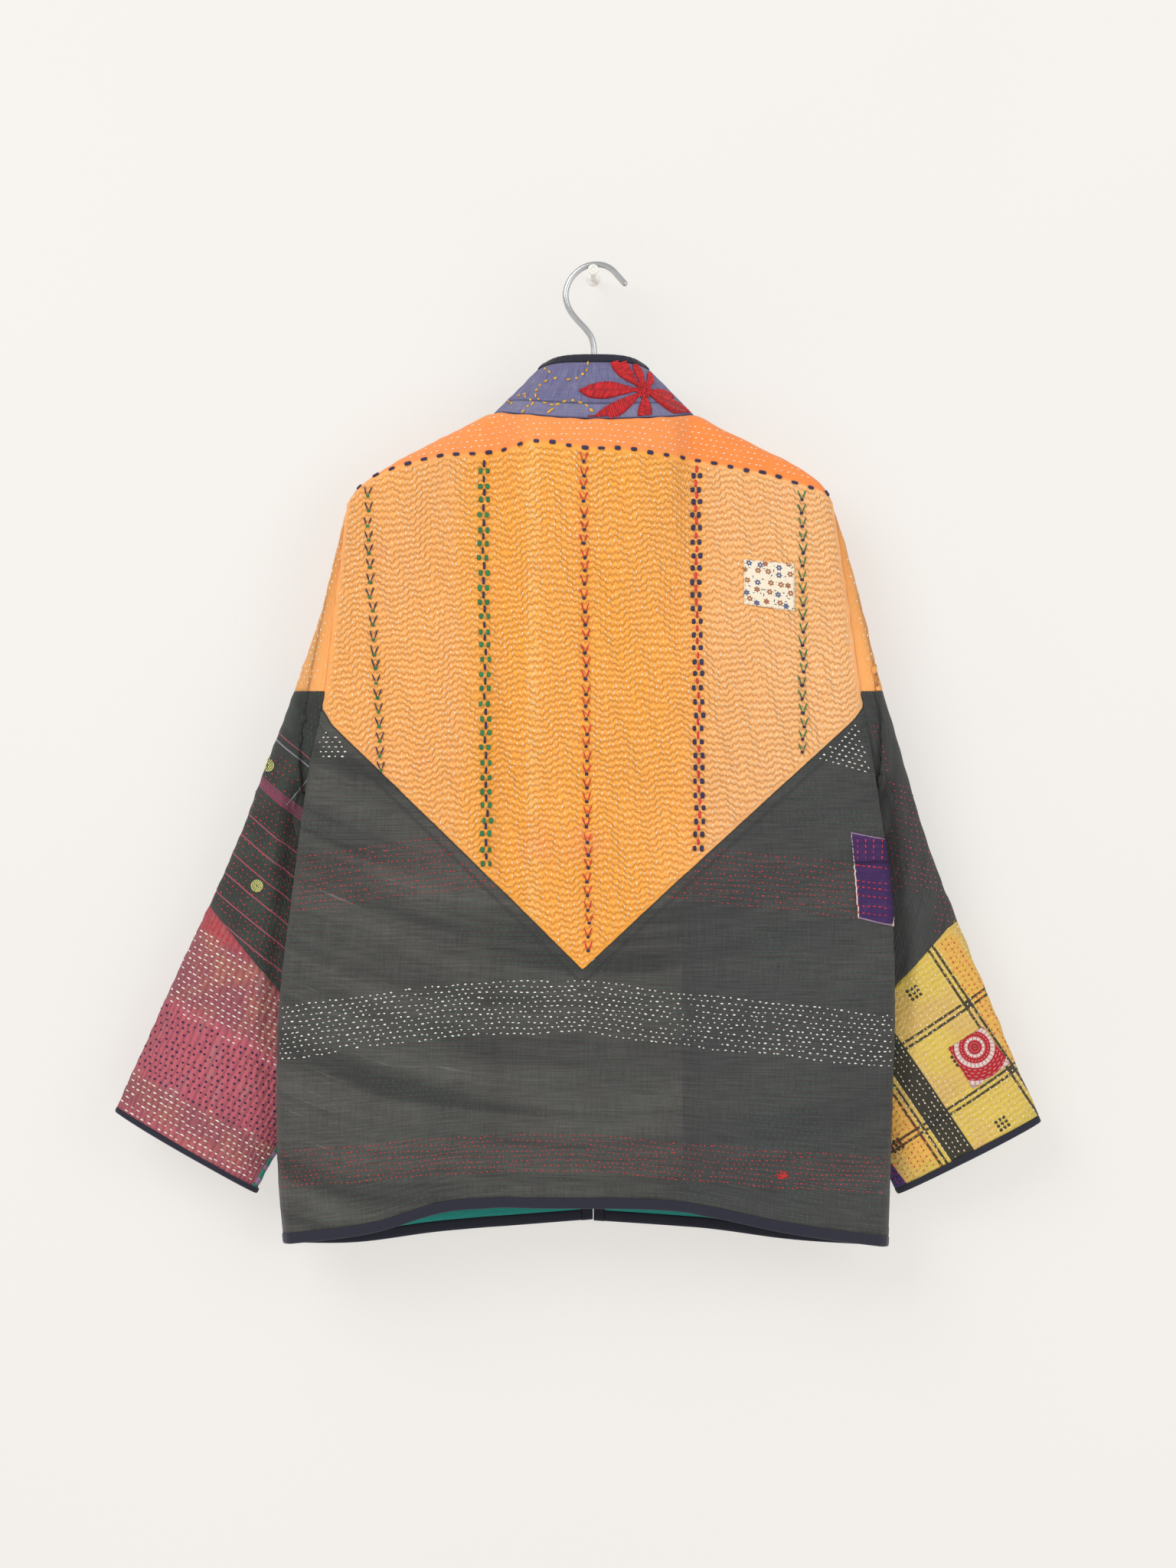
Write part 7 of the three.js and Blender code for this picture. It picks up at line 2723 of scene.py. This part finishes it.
class KANTHA_OT_sleeves(bpy.types.Operator):
    """Make the sleeves"""

    bl_idname = "kantha.sleeves"
    bl_label = "Sleeves"

    def execute(self, context):
        colours, sizes = settings()
        peach = cotton("Peach cap cotton", colours.peach, 0.14, 0.6)
        charcoal = charcoal_cotton(colours, "Charcoal sleeve cotton", 0.7)
        looks = {
            ("left", "cap"): peach,
            ("right", "cap"): peach,
            ("left", "middle"): striped_charcoal(colours),
            ("right", "middle"): charcoal,
            ("left", "lower"): rose_cotton(colours),
            ("right", "lower"): windowpane_cotton(colours),
        }
        add_sleeves(colours, sizes, looks)
        return {"FINISHED"}


class KANTHA_OT_bindings(bpy.types.Operator):
    """Make the bindings of the hem, the fronts, the cuffs and the collar"""

    bl_idname = "kantha.bindings"
    bl_label = "Bindings"

    def execute(self, context):
        add_bindings(settings()[0])
        return {"FINISHED"}


class KANTHA_OT_collar(bpy.types.Operator):
    """Make the collar"""

    bl_idname = "kantha.collar"
    bl_label = "Collar"

    def execute(self, context):
        add_collar(settings()[0])
        return {"FINISHED"}


class KANTHA_OT_hanger(bpy.types.Operator):
    """Make the hanger and the peg that it hangs on"""

    bl_idname = "kantha.hanger"
    bl_label = "Hanger and peg"

    def execute(self, context):
        colours, _ = settings()
        add_hanger(colours)
        add_peg(colours)
        return {"FINISHED"}


class KANTHA_OT_stage(bpy.types.Operator):
    """Make the wall, floor, lights and camera"""

    bl_idname = "kantha.stage"
    bl_label = "Stage"

    def execute(self, context):
        add_stage(settings()[0])
        return {"FINISHED"}


MAKERS = (
    KANTHA_OT_stage,
    KANTHA_OT_back,
    KANTHA_OT_fronts,
    KANTHA_OT_sleeves,
    KANTHA_OT_bindings,
    KANTHA_OT_collar,
    KANTHA_OT_hanger,
    KANTHA_OT_back_sewing,
    KANTHA_OT_lower_sewing,
    KANTHA_OT_sleeve_sewing,
    KANTHA_OT_patches,
    KANTHA_OT_collar_sewing,
)


class KANTHA_PT_jacket(bpy.types.Panel):
    """The jacket's pieces"""

    bl_idname = "KANTHA_PT_jacket"
    bl_label = "Kantha Jacket"
    bl_space_type = "VIEW_3D"
    bl_region_type = "UI"
    bl_category = "Kantha"

    def draw(self, context):
        for maker in MAKERS:
            self.layout.operator(maker.bl_idname)
        for group in (context.scene.kantha_sizes, context.scene.kantha_colours):
            for key in group.__annotations__:
                self.layout.prop(group, key)


CLASSES = (KanthaColours, KanthaSizes, *MAKERS, KANTHA_PT_jacket)


def register():
    for cls in CLASSES:
        bpy.utils.register_class(cls)
    bpy.types.Scene.kantha_colours = PointerProperty(type=KanthaColours)
    bpy.types.Scene.kantha_sizes = PointerProperty(type=KanthaSizes)


def unregister():
    del bpy.types.Scene.kantha_sizes
    del bpy.types.Scene.kantha_colours
    for cls in reversed(CLASSES):
        bpy.utils.unregister_class(cls)


def main():
    register()
    for maker in MAKERS:
        group, name = maker.bl_idname.split(".")
        getattr(getattr(bpy.ops, group), name)()


if __name__ == "__main__":
    main()
